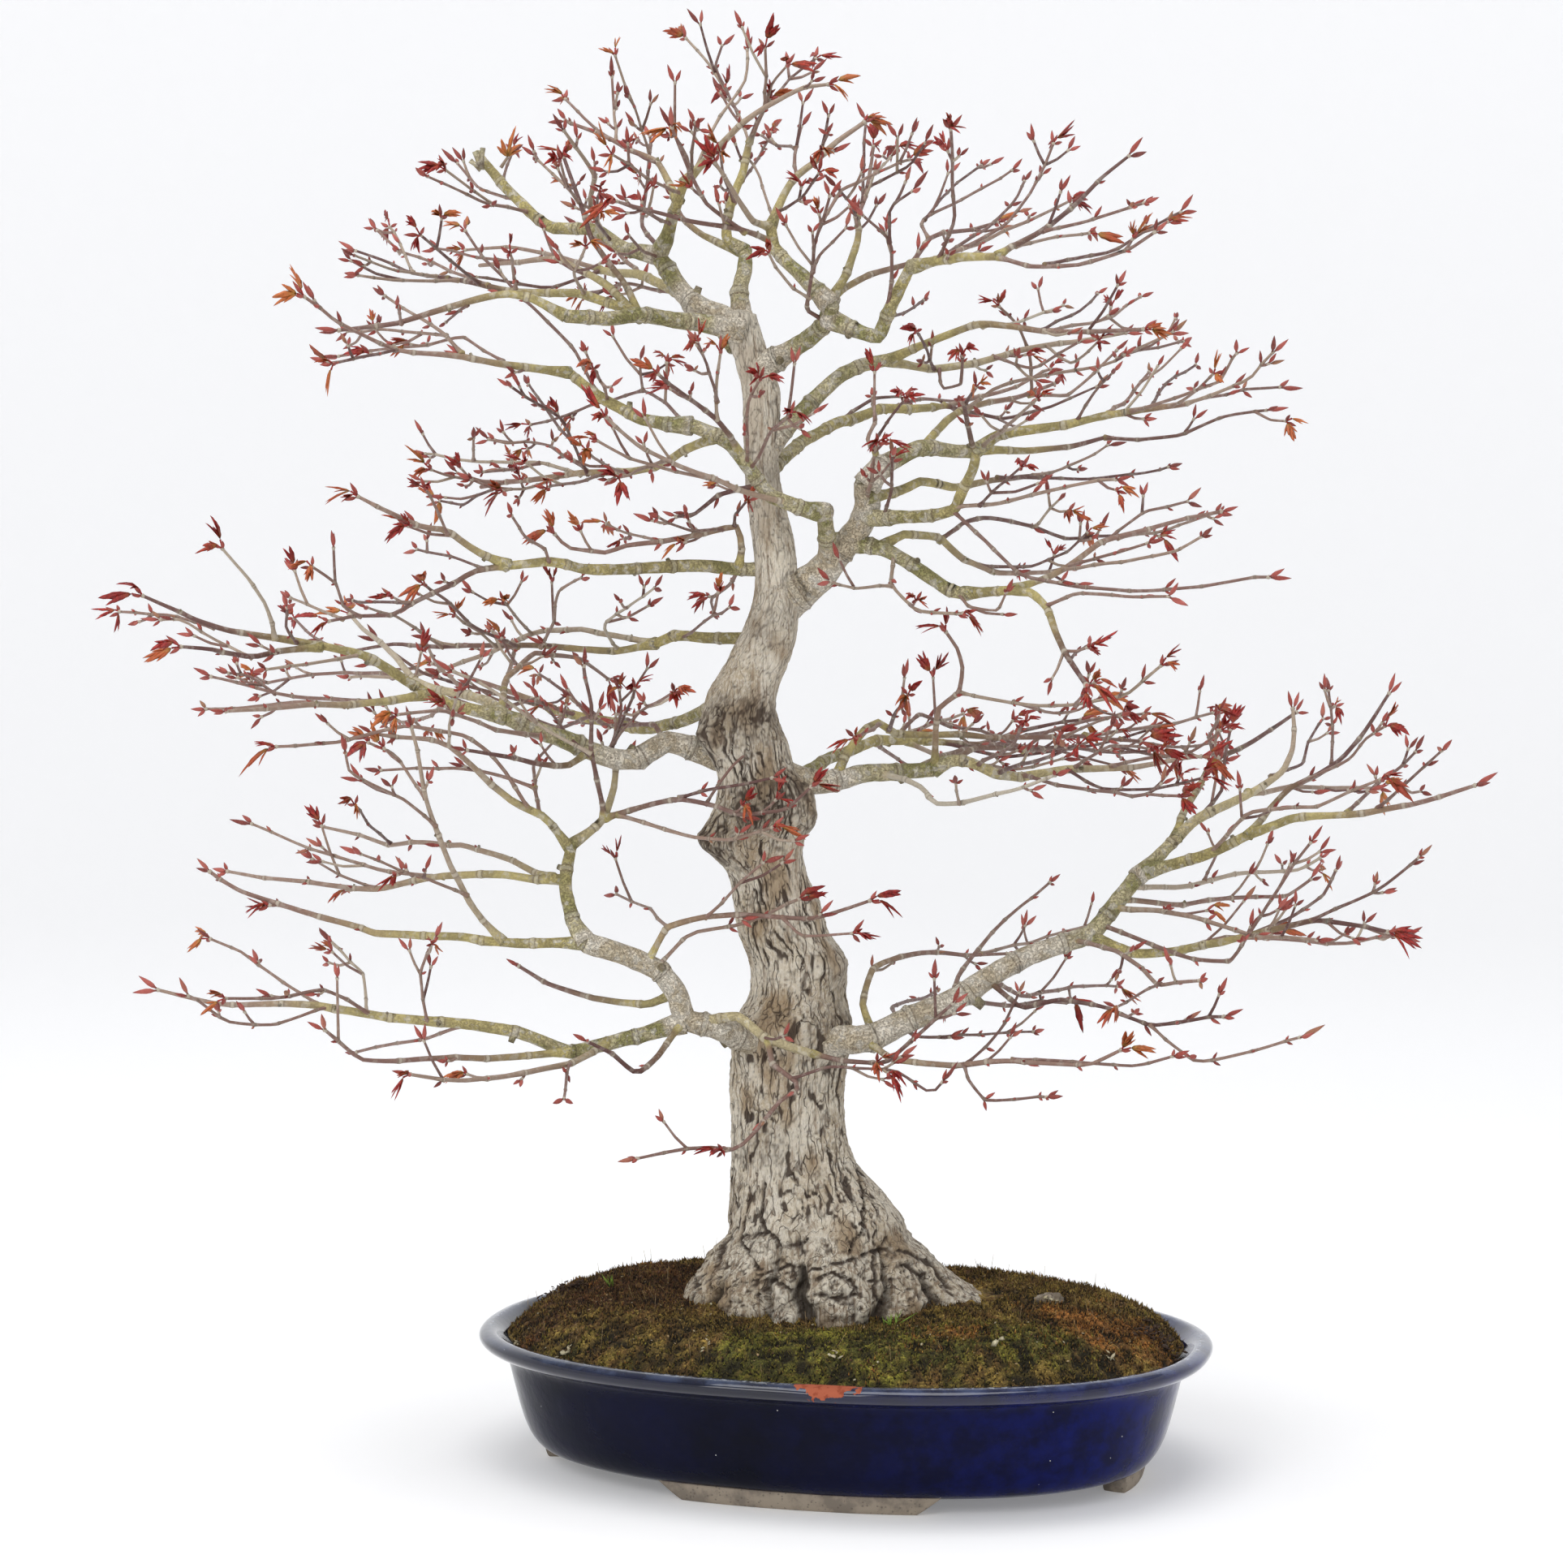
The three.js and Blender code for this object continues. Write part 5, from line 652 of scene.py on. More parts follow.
def smooth_line(knots, step, soft=0.42):
    """Points about a step apart on a soft curve through the knots, and each one's distance along it."""
    pulls = []
    for i, knot in enumerate(knots):
        before = (knot - knots[i - 1]).normalized() if i else Vector()
        after = (knots[i + 1] - knot).normalized() if i + 1 < len(knots) else Vector()
        pulls.append((before + after).normalized())
    line = []
    for i in range(len(knots) - 1):
        a, b = knots[i], knots[i + 1]
        span = (b - a).length
        count = max(2, round(span / step))
        for k in range(count):
            t = k / count
            line.append(
                a * (2 * t**3 - 3 * t**2 + 1)
                + b * (3 * t**2 - 2 * t**3)
                + pulls[i] * (soft * span * (t**3 - 2 * t**2 + t))
                + pulls[i + 1] * (soft * span * (t**3 - t**2))
            )
    line.append(knots[-1].copy())
    along = [0.0]
    for i in range(1, len(line)):
        along.append(along[-1] + (line[i] - line[i - 1]).length)
    return line, along


def point_at(line, along, distance):
    """The point at a distance along a line, and the direction there."""
    i = 1
    while i < len(along) - 1 and along[i] < distance:
        i += 1
    span = along[i] - along[i - 1]
    share = clamp((distance - along[i - 1]) / span) if span else 0
    ahead = (line[i] - line[i - 1]).normalized()
    return line[i - 1].lerp(line[i], share), ahead


# Skins: the meshes as they are built up


class Skin:
    """The points and faces of one piece, with four numbers at each point that its finish reads."""

    def __init__(self):
        self.points = []
        self.shades = []
        self.faces = []

    def ring(self, points, shade):
        first = len(self.points)
        self.points.extend(points)
        self.shades.extend([shade] * len(points))
        return first

    def band(self, lower, upper, sides):
        for k in range(sides):
            after = (k + 1) % sides
            self.faces.append((lower + k, lower + after, upper + after, upper + k))

    def loft(self, rings, sides):
        for lower, upper in zip(rings, rings[1:]):
            self.band(lower, upper, sides)

    def close(self, ring, sides, middle, shade, at_end):
        tip = self.ring([middle], shade)
        for k in range(sides):
            after = (k + 1) % sides
            corner = (ring + k, ring + after, tip) if at_end else (ring + after, ring + k, tip)
            self.faces.append(corner)

    def tube(self, line, radii, sides, shades, relief=None):
        """A closed round bar along a line."""
        side = None
        rings = []
        for i, centre in enumerate(line):
            ahead = (line[min(i + 1, len(line) - 1)] - line[max(i - 1, 0)]).normalized()
            side = ahead.orthogonal() if side is None else side
            side = (side - ahead * side.dot(ahead)).normalized()
            up = ahead.cross(side)
            ring = []
            for k in range(sides):
                turn = 2 * math.pi * k / sides
                spoke = side * math.cos(turn) + up * math.sin(turn)
                reach = radii[i] + (relief(centre + spoke * radii[i], radii[i]) if relief else 0)
                ring.append(centre + spoke * reach)
            rings.append(self.ring(ring, shades[i]))
        self.loft(rings, sides)
        self.close(rings[0], sides, line[0], shades[0], False)
        self.close(rings[-1], sides, line[-1], shades[-1], True)


def new_piece(name, skin, finishes, stands_for=(), parts=None):
    """The piece that a skin makes. It rides on the one body, and stands for the nodes named."""
    mesh = bpy.data.meshes.new(name)
    mesh.from_pydata([in_metres(p) for p in skin.points], [], skin.faces)
    shade = mesh.color_attributes.new("shade", "FLOAT_COLOR", "POINT")
    shade.data.foreach_set("color", [n for s in skin.shades for n in (*s, 1.0)[:4]])
    mesh.polygons.foreach_set("use_smooth", [True] * len(mesh.polygons))
    for finish in finishes:
        mesh.materials.append(finish)
    if parts:
        mesh.polygons.foreach_set("material_index", parts)
    made = bpy.data.objects.new(name, mesh)
    bpy.context.scene.collection.objects.link(made)
    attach(made, "root")
    for node in stands_for:
        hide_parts(node)
    return made


# Finishes


class Wiring:
    """Adds nodes to a tree and wires values or other nodes' outputs into their sockets."""

    def __init__(self, tree):
        self.tree = tree

    def add(self, kind, sockets=None, **settings):
        node = self.tree.nodes.new("ShaderNode" + kind)
        for key, value in settings.items():
            setattr(node, key, value)
        for key, value in (sockets or {}).items():
            if isinstance(value, bpy.types.NodeSocket):
                self.tree.links.new(value, node.inputs[key])
            else:
                node.inputs[key].default_value = value
        return node

    def feed(self, shader, socket, value):
        self.tree.links.new(value, shader.inputs[socket])

    def mix(self, share, a, b, blend="MIX"):
        MIX_SHARE, MIX_A, MIX_B, MIX_OUT = 0, 6, 7, 2
        sockets = {MIX_SHARE: share, MIX_A: a, MIX_B: b}
        return self.add("Mix", sockets, data_type="RGBA", blend_type=blend).outputs[MIX_OUT]

    def tint(self, base, mask, share, over):
        """A base colour with a share of another over it where a mask says."""
        return self.mix(self.sum("MULTIPLY", mask, share), base, over)

    def sum(self, operation, a, b=0.0):
        return self.add("Math", {0: a, 1: b}, operation=operation, use_clamp=False).outputs[0]

    def remap(self, value, low, high, to_low=0.0, to_high=1.0):
        sockets = {"Value": value, "From Min": low, "From Max": high, "To Min": to_low, "To Max": to_high}
        return self.add("MapRange", sockets, interpolation_type="SMOOTHSTEP").outputs[0]

    def ramp(self, value, stops):
        node = self.add("ValToRGB", {"Fac": value})
        steps = node.color_ramp.elements
        while len(steps) < len(stops):
            steps.new(0.5)
        for step, (position, colour) in zip(steps, stops):
            step.position = position
            step.color = colour
        return node.outputs["Color"]

    def place(self):
        return self.add("TexCoord").outputs["Object"]

    def axes(self, vector):
        return self.add("SeparateXYZ", {0: vector}).outputs

    def shade(self):
        """The four numbers that a skin keeps at each point."""
        kept = self.add("Attribute", attribute_name="shade").outputs
        return [*self.add("SeparateColor", {0: kept["Color"]}).outputs[:3], kept["Alpha"]]

    def group(self, tree, **values):
        node = self.add("Group", node_tree=tree)
        for key, value in values.items():
            node.inputs[key].default_value = value
        return node.outputs

    def bump(self, height, depth, strength=1.0):
        sockets = {"Height": height, "Distance": depth, "Strength": strength}
        return self.add("Bump", sockets).outputs["Normal"]


def new_group(name, inputs, outputs):
    tree = bpy.data.node_groups.new(name, "ShaderNodeTree")
    for label, value in inputs.items():
        socket = tree.interface.new_socket(name=label, in_out="INPUT", socket_type="NodeSocketFloat")
        socket.default_value = value
    for label in outputs:
        tree.interface.new_socket(name=label, in_out="OUTPUT", socket_type="NodeSocketFloat")
    entry = tree.nodes.new("NodeGroupInput").outputs
    leave = tree.nodes.new("NodeGroupOutput").inputs
    return tree, Wiring(tree), entry, leave


def make_mottle():
    """Cloudy patches: 1 inside a patch and 0 between them."""
    inputs = {"Scale": 100.0, "Detail": 4.0, "Low": 0.42, "High": 0.58}
    tree, wire, entry, leave = new_group("mottle", inputs, ["Mask"])
    cloud = wire.add("TexNoise", {
        "Vector": wire.place(),
        "Scale": entry["Scale"],
        "Detail": entry["Detail"],
        "Roughness": 0.6,
    })
    tree.links.new(wire.remap(cloud.outputs["Fac"], entry["Low"], entry["High"]), leave["Mask"])
    return tree


def make_specks():
    """Small scattered spots with ragged edges."""
    inputs = {"Scale": 300.0, "Size": 0.2, "Spread": 0.5}
    tree, wire, entry, leave = new_group("specks", inputs, ["Mask"])
    where = wire.place()
    spots = wire.add("TexVoronoi", {"Vector": where, "Scale": entry["Scale"]})
    chance = wire.add("SeparateColor", {0: spots.outputs["Color"]}).outputs[0]
    size = wire.sum("MULTIPLY", entry["Size"], wire.sum("LESS_THAN", chance, entry["Spread"]))
    ragged = wire.add("TexNoise", {"Vector": where, "Scale": 1500.0, "Detail": 2.0}).outputs["Fac"]
    reach = wire.sum("MULTIPLY", size, wire.sum("ADD", ragged, 0.5))
    tree.links.new(wire.sum("LESS_THAN", spots.outputs["Distance"], reach), leave["Mask"])
    return tree


def make_grain():
    """Fine streaks that run up and down."""
    tree, wire, entry, leave = new_group("grain", {"Scale": 300.0, "Stretch": 0.12}, ["Mask"])
    x, y, z = wire.axes(wire.place())
    along = wire.sum("MULTIPLY", z, entry["Stretch"])
    drawn = wire.add("CombineXYZ", {0: x, 1: y, 2: along}).outputs[0]
    noise_in = {"Vector": drawn, "Scale": entry["Scale"], "Detail": 5.0, "Roughness": 0.65}
    streak = wire.add("TexNoise", noise_in)
    tree.links.new(streak.outputs["Fac"], leave["Mask"])
    return tree


def make_fissures():
    """Thin wavy lines, drawn out up and down by Stretch: 1 on a line and 0 beside it."""
    inputs = {"Scale": 200.0, "Stretch": 0.15, "Width": 0.03, "Bend": 0.004}
    tree, wire, entry, leave = new_group("fissures", inputs, ["Mask"])
    where = wire.place()
    swirl = wire.add("TexNoise", {"Vector": where, "Scale": 90.0, "Detail": 2.0}).outputs["Color"]
    bent = wire.add("VectorMath", {0: swirl, "Scale": entry["Bend"]}, operation="SCALE").outputs[0]
    x, y, z = wire.axes(wire.add("VectorMath", {0: where, 1: bent}, operation="ADD").outputs[0])
    drawn = wire.add("CombineXYZ", {0: x, 1: y, 2: wire.sum("MULTIPLY", z, entry["Stretch"])}).outputs[0]
    cloud = wire.add("TexNoise", {"Vector": drawn, "Scale": entry["Scale"], "Detail": 1.0})
    apart = wire.sum("ABSOLUTE", wire.sum("SUBTRACT", cloud.outputs["Fac"], 0.5))
    tree.links.new(wire.remap(apart, entry["Width"], 0.0), leave["Mask"])
    return tree


mottle = make_mottle()
specks = make_specks()
grain = make_grain()
fissures = make_fissures()


def new_finish(name, roughness=0.8, **constants):
    """A material with its shader, and the wiring of its tree."""
    made = bpy.data.materials.new(name)
    made.use_nodes = True
    shader = made.node_tree.nodes["Principled BSDF"]
    shader.inputs["Roughness"].default_value = roughness
    for label, value in constants.items():
        shader.inputs[label.replace("_", " ")].default_value = value
    return made, shader, Wiring(made.node_tree)


def colour(red, green, blue):
    """A colour given as it looks on a screen, from 0 to 255."""
    linear = [((n / 255 + 0.055) / 1.055) ** 2.4 if n > 10 else n / 3295 for n in (red, green, blue)]
    return (*linear, 1.0)


def finish_trunk_bark():
    """Pale ridges with brown fissures, brown stains, swirling wrinkles on the roots, and painted shade
    deep in the root clefts and down at the moss.
    """
    finish, shader, wire = new_finish("trunk_bark", 0.88)
    crack, dark, tone, open_to_light = wire.shade()
    height = wire.axes(wire.place())[2]
    on_roots = wire.remap(height, 0.150, 0.118)
    smooth_bark = wire.remap(height, 0.42, 0.45)
    broad = wire.group(mottle, Scale=26.0, Detail=3.0, Low=0.4, High=0.62)["Mask"]
    blotch = wire.group(mottle, Scale=130.0, Detail=4.0, Low=0.42, High=0.62)["Mask"]
    pale = wire.group(mottle, Scale=520.0, Detail=3.0, Low=0.46, High=0.6)["Mask"]
    streak = wire.group(grain, Scale=380.0, Stretch=0.1)["Mask"]
    fine = wire.group(grain, Scale=1000.0, Stretch=0.16)["Mask"]
    tall = wire.group(fissures, Scale=170.0, Stretch=0.09, Width=0.022, Bend=0.006)["Mask"]
    swirled = wire.group(fissures, Scale=130.0, Stretch=0.8, Width=0.016, Bend=0.022)["Mask"]
    veined = wire.mix(on_roots, tall, swirled)
    veined = wire.sum("MULTIPLY", veined, wire.remap(smooth_bark, 0.0, 1.0, 1.0, 0.35))
    base = wire.mix(broad, colour(226, 216, 196), colour(198, 183, 157))
    base = wire.tint(base, blotch, 0.4, colour(206, 199, 184))
    base = wire.tint(base, pale, 0.5, colour(238, 231, 217))
    base = wire.mix(wire.remap(tone, 0.5, 0.8, 0.0, 0.75), base, colour(160, 134, 98))
    base = wire.mix(wire.remap(height, 0.46, 0.60, 0.0, 0.5), base, colour(226, 219, 204))
    root_streak = wire.sum("MULTIPLY", on_roots, wire.remap(streak, 0.56, 0.4, 0.0, 0.7))
    base = wire.mix(root_streak, base, colour(128, 112, 92))
    base = wire.mix(wire.remap(streak, 0.48, 0.36, 0.0, 0.6), base, colour(146, 122, 96))
    base = wire.mix(wire.remap(fine, 0.47, 0.32, 0.0, 0.55), base, colour(120, 98, 78))
    base = wire.tint(base, dark, 0.6, colour(112, 98, 78))
    base = wire.tint(base, veined, 0.7, colour(92, 72, 54))
    base = wire.mix(wire.remap(crack, 0.08, 0.7, 0.0, 0.92), base, colour(62, 46, 34))
    # painted shade: dark brown deep between the root toes and down at the moss, where the fourth number
    # falls
    base = wire.mix(wire.remap(open_to_light, 0.9, 0.0, 0.0, 0.88), base, colour(54, 42, 30))
    wire.feed(shader, "Base Color", base)
    relief = wire.sum("ADD", streak, wire.sum("MULTIPLY", fine, 0.8))
    relief = wire.sum("SUBTRACT", relief, wire.sum("MULTIPLY", veined, 0.9))
    wire.feed(shader, "Normal", wire.bump(relief, 0.0018))
    return finish


def finish_limb_bark():
    """Pale cream on old limbs, olive and tan on younger ones, and brown on last year's twigs."""
    finish, shader, wire = new_finish("limb_bark", 0.7)
    age, ring, tone = wire.shade()[:3]
    patch = wire.group(mottle, Scale=70.0, Detail=4.0, Low=0.42, High=0.58)["Mask"]
    fine = wire.group(mottle, Scale=800.0, Detail=3.0, Low=0.46, High=0.6)["Mask"]
    bloom = wire.group(mottle, Scale=200.0, Detail=4.0, Low=0.53, High=0.6)["Mask"]
    streak = wire.group(grain, Scale=700.0, Stretch=0.6)["Mask"]
    thin = wire.ramp(tone, [
        (0.0, colour(96, 62, 58)),
        (0.4, colour(138, 106, 94)),
        (0.75, colour(172, 154, 134)),
        (1.0, colour(192, 182, 164)),
    ])
    young = wire.mix(patch, colour(186, 172, 112), colour(158, 146, 96))
    young = wire.mix(wire.remap(tone, 0.45, 0.95), young, colour(196, 182, 148))
    old = wire.mix(patch, colour(196, 186, 148), colour(148, 144, 92))
    joint = wire.mix(patch, colour(226, 217, 199), colour(194, 180, 154))
    old = wire.mix(wire.remap(age, 0.93, 1.0), old, joint)
    old = wire.mix(wire.remap(streak, 0.45, 0.34, 0.0, 0.7), old, colour(124, 104, 82))
    base = wire.mix(wire.remap(age, 0.05, 0.24), thin, young)
    base = wire.mix(wire.remap(age, 0.42, 0.7), base, old)
    base = wire.tint(base, bloom, wire.remap(age, 0.0, 0.5, 0.15, 0.6), colour(224, 219, 206))
    base = wire.tint(base, fine, wire.remap(age, 0.05, 0.7, 0.14, 0.3), colour(104, 84, 62))
    base = wire.tint(base, ring, wire.remap(age, 0.05, 0.4, 0.8, 0.5), colour(198, 190, 172))
    edge = wire.sum("SUBTRACT", 1.0, wire.sum("ABSOLUTE", wire.sum("SUBTRACT", ring, 0.35)))
    base = wire.mix(wire.remap(edge, 0.8, 1.0, 0.0, 0.6), base, colour(96, 76, 58))
    wire.feed(shader, "Base Color", base)
    rough = wire.sum("MULTIPLY", wire.sum("ADD", fine, streak), wire.remap(age, 0.05, 0.8, 0.25, 1.0))
    wire.feed(shader, "Normal", wire.bump(rough, 0.0008))
    wire.feed(shader, "Roughness", wire.remap(age, 0.0, 0.6, 0.5, 0.85))
    return finish


def finish_bud():
    finish, shader, wire = new_finish("bud_scales", 0.5)
    along, tone = wire.shade()[:2]
    fine = wire.group(mottle, Scale=1300.0, Detail=3.0, Low=0.35, High=0.65)["Mask"]
    red = wire.ramp(tone, [
        (0.0, colour(118, 44, 38)),
        (0.4, colour(160, 62, 52)),
        (0.75, colour(190, 96, 86)),
        (1.0, colour(158, 116, 84)),
    ])
    base = wire.mix(wire.remap(along, 0.32, 0.0, 0.0, 0.85), red, colour(70, 36, 32))
    base = wire.mix(wire.remap(along, 0.7, 1.0, 0.0, 0.55), base, colour(96, 44, 40))
    base = wire.tint(base, fine, 0.25, colour(196, 120, 104))
    wire.feed(shader, "Base Color", base)
    wire.feed(shader, "Normal", wire.bump(fine, 0.0003))
    return finish


def finish_young_leaf():
    """Crimson to brownish red, and orange to olive where a leaf has begun to open."""
    finish, shader, wire = new_finish("young_leaf", 0.45)
    along, tone, rib = wire.shade()[:3]
    patch = wire.group(mottle, Scale=500.0, Detail=4.0, Low=0.35, High=0.65)["Mask"]
    red = wire.mix(patch, colour(190, 48, 38), colour(150, 34, 30))
    warm = wire.mix(wire.remap(tone, 0.3, 0.9), red, colour(214, 120, 58))
    green = wire.mix(wire.remap(tone, 0.1, 0.7), colour(176, 96, 50), colour(178, 156, 66))
    base = wire.mix(wire.remap(along, 0.5, 0.0, 0.0, 0.7), warm, green)
    base = wire.tint(base, rib, 0.45, colour(92, 26, 26))
    wire.feed(shader, "Base Color", base)
    wire.feed(shader, "Normal", wire.bump(patch, 0.0003))
    return finish


def finish_glaze(chip):
    """Deep blue glaze, near black with painted light turning it a lighter blue to the right, a worn lip
    with a painted highlight, dust with a painted sheen on the rim's flat top, white specks and one chip
    down to the clay.
    """
    finish, shader, wire = new_finish("blue_glaze", 0.1, Specular_IOR_Level=0.1, Coat_Roughness=0.05)
    where = wire.place()
    x, y, z = wire.axes(where)
    facing = wire.axes(wire.add("NewGeometry").outputs["Normal"])[2]
    broad = wire.group(mottle, Scale=14.0, Detail=3.0, Low=0.3, High=0.7)["Mask"]
    cloud = wire.group(mottle, Scale=60.0, Detail=4.0, Low=0.35, High=0.7)["Mask"]
    scuff = wire.group(mottle, Scale=260.0, Detail=5.0, Low=0.5, High=0.62)["Mask"]
    speck = wire.group(specks, Scale=150.0, Size=0.05, Spread=0.2)["Mask"]
    # painted light: the glaze goes from near black to a lighter blue towards the right, where the light
    # falls
    right = wire.remap(x, -0.05, 0.24, 0.05, 1.0)
    deep = wire.mix(broad, colour(3, 5, 18), colour(5, 8, 34))
    painted_lit_blue = wire.mix(cloud, colour(5, 9, 52), colour(9, 20, 92))
    base = wire.mix(right, deep, painted_lit_blue)
    # dust on the rim's flat top, and a pale grey-blue painted sheen on the faces that look up
    high = wire.remap(z, 0.0725, 0.0765)
    flat = wire.remap(facing, 0.3, 0.95)
    dust = wire.sum("MULTIPLY", wire.sum("MULTIPLY", high, flat), wire.remap(cloud, 0.0, 1.0, 0.12, 0.5))
    base = wire.mix(dust, base, colour(84, 98, 128))
    # the lip's pale rubbed marks: wear, and a painted highlight along the rim's top edge
    edge = wire.sum("MULTIPLY", wire.remap(z, 0.0768, 0.0773), scuff)
    base = wire.tint(base, edge, 0.7, colour(176, 184, 194))
    base = wire.mix(speck, base, colour(190, 192, 190))
    across = wire.sum("DIVIDE", wire.sum("SUBTRACT", x, chip.x), CHIP["half"] * MM)
    down = wire.sum("DIVIDE", wire.sum("SUBTRACT", chip.z, z), CHIP["drop"] * MM)
    ragged = wire.add("TexNoise", {"Vector": where, "Scale": 150.0, "Detail": 4.0}).outputs["Fac"]
    off = wire.sum("ADD", wire.sum("POWER", wire.sum("ABSOLUTE", across), 2.4), wire.sum("ABSOLUTE", down))
    off = wire.sum("ADD", off, wire.remap(ragged, 0.3, 0.7, -0.45, 0.45))
    front = wire.sum("LESS_THAN", y, chip.y + 0.009)
    gone = wire.sum("MULTIPLY", wire.sum("LESS_THAN", off, 0.8), front)
    clay = wire.mix(scuff, colour(164, 90, 66), colour(140, 70, 50))
    base = wire.mix(gone, base, clay)
    wire.feed(shader, "Base Color", base)
    dull = wire.sum("MAXIMUM", gone, wire.sum("MULTIPLY", dust, 0.5))
    wire.feed(shader, "Roughness", wire.remap(dull, 0.0, 1.0, 0.1, 0.9))
    shine = wire.sum("MULTIPLY", wire.remap(z, 0.064, 0.070), wire.sum("SUBTRACT", 1.0, gone))
    wire.feed(shader, "Coat Weight", wire.sum("MULTIPLY", shine, 0.9))
    dents = wire.sum("ADD", wire.sum("MULTIPLY", gone, -2.5), wire.sum("MULTIPLY", cloud, 0.2))
    wire.feed(shader, "Normal", wire.bump(dents, 0.0006))
    return finish


def finish_foot_clay():
    finish, shader, wire = new_finish("foot_clay", 0.9)
    patch = wire.group(mottle, Scale=60.0, Detail=6.0)["Mask"]
    fleck = wire.group(specks, Scale=500.0, Size=0.3, Spread=0.4)["Mask"]
    base = wire.mix(patch, colour(150, 138, 122), colour(122, 112, 100))
    base = wire.tint(base, fleck, 0.5, colour(84, 76, 68))
    wire.feed(shader, "Base Color", base)
    wire.feed(shader, "Normal", wire.bump(patch, 0.0004))
    return finish


def finish_moss():
    """Olive moss that turns green, brown or rust by region, with painted shade in its hollows and painted
    light on its points.
    """
    finish, shader, wire = new_finish("moss", 0.98)
    rust, green, brown, high = wire.shade()
    patch = wire.group(mottle, Scale=80.0, Detail=4.0, Low=0.44, High=0.56)["Mask"]
    spots = wire.group(mottle, Scale=300.0, Detail=3.0, Low=0.5, High=0.6)["Mask"]
    fine = wire.group(mottle, Scale=900.0, Detail=3.0, Low=0.4, High=0.64)["Mask"]
    base = wire.mix(patch, colour(180, 150, 74), colour(136, 102, 54))
    leafy = wire.mix(patch, colour(158, 152, 56), colour(104, 102, 40))
    woody = wire.mix(patch, colour(140, 94, 56), colour(104, 68, 44))
    rusty = wire.mix(patch, colour(222, 146, 70), colour(184, 124, 60))
    base = wire.mix(wire.remap(green, 0.25, 0.6), base, leafy)
    base = wire.mix(wire.remap(brown, 0.3, 0.65), base, woody)
    base = wire.mix(wire.remap(rust, 0.3, 0.65), base, rusty)
    base = wire.tint(base, spots, 0.45, colour(172, 142, 72))
    # painted light on the moss's points and painted shade in its hollows, by the fourth number
    base = wire.mix(wire.remap(high, 0.8, 1.15, 0.0, 0.6), base, colour(214, 190, 112))
    painted_pit_shade = wire.mix(brown, colour(34, 30, 14), colour(38, 24, 16))
    base = wire.mix(wire.remap(high, 0.7, 0.2, 0.0, 0.97), base, painted_pit_shade)
    base = wire.tint(base, fine, 0.4, colour(52, 40, 22))
    wire.feed(shader, "Base Color", base)
    wire.feed(shader, "Normal", wire.bump(fine, 0.0012))
    return finish


def finish_litter():
    """Bits of lichen, bark and old bud scales: pale to dark by each bit's own tone."""
    finish, shader, wire = new_finish("litter", 0.9)
    tone, green = wire.shade()[:2]
    fine = wire.group(mottle, Scale=900.0, Detail=3.0)["Mask"]
    base = wire.ramp(tone, [
        (0.0, colour(46, 34, 26)),
        (0.35, colour(112, 74, 46)),
        (0.65, colour(176, 150, 108)),
        (1.0, colour(202, 194, 162)),
    ])
    base = wire.mix(green, base, colour(122, 158, 52))
    base = wire.tint(base, fine, 0.35, colour(70, 54, 40))
    wire.feed(shader, "Base Color", base)
    return finish


def finish_stone():
    finish, shader, wire = new_finish("grey_stone", 0.85)
    patch = wire.group(mottle, Scale=220.0, Detail=7.0)["Mask"]
    fleck = wire.group(specks, Scale=900.0, Size=0.35, Spread=0.4)["Mask"]
    base = wire.mix(patch, colour(150, 138, 122), colour(112, 100, 84))
    base = wire.tint(base, fleck, 0.6, colour(74, 66, 56))
    wire.feed(shader, "Base Color", base)
    wire.feed(shader, "Normal", wire.bump(patch, 0.0006))
    return finish


def finish_soil():
    finish, shader, wire = new_finish("clay_grains", 0.97)
    grains = wire.add("TexVoronoi", {"Vector": wire.place(), "Scale": 330.0})
    patch = wire.group(mottle, Scale=120.0, Detail=4.0)["Mask"]
    base = wire.mix(patch, colour(124, 88, 58), colour(88, 62, 42))
    base = wire.mix(wire.remap(grains.outputs["Distance"], 0.3, 0.75), base, colour(38, 28, 20))
    wire.feed(shader, "Base Color", base)
    wire.feed(shader, "Normal", wire.bump(grains.outputs["Distance"], -0.0015))
    return finish


def finish_drain_plastic():
    finish, shader, wire = new_finish("drain_plastic", 0.5)
    dust = wire.group(mottle, Scale=260.0, Detail=5.0)["Mask"]
    base = wire.mix(wire.sum("MULTIPLY", dust, 0.5), colour(28, 40, 26), colour(92, 80, 58))
    wire.feed(shader, "Base Color", base)
    wire.feed(shader, "Roughness", wire.remap(dust, 0.0, 1.0, 0.4, 0.8))
    return finish


# Pot


def pot_point(half_length, half_width, angle):
    """A point of the pot's plan, in its measuring frame, at height 0."""
    c, s = math.cos(angle), math.sin(angle)
    u = half_length * math.copysign(abs(c) ** (2 / POT_POWER), c)
    v = half_width * math.copysign(abs(s) ** (2 / POT_POWER), s)
    turn_c, turn_s = math.cos(POT_TURN), math.sin(POT_TURN)
    return Vector((POT_X + u * turn_c - v * turn_s, u * turn_s + v * turn_c, 0))


def soften(profile, times):
    """A profile with its corners cut, more finely each time."""
    for _ in range(times):
        cut = [profile[0]]
        for a, b in zip(profile, profile[1:]):
            cut.append([p * 0.75 + q * 0.25 for p, q in zip(a, b)])
            cut.append([p * 0.25 + q * 0.75 for p, q in zip(a, b)])
        profile = cut + [profile[-1]]
    return profile


def chip_place():
    """The middle of the chip, on the outer edge of the rim in front."""
    top, length, width = 77.4, 208, 147
    turns = [math.radians(180 + k * 0.5) for k in range(360)]
    nearest = min((pot_point(length, width, t) for t in turns), key=lambda p: abs(p.x - CHIP["x"]))
    return Vector((nearest.x, nearest.y, top))


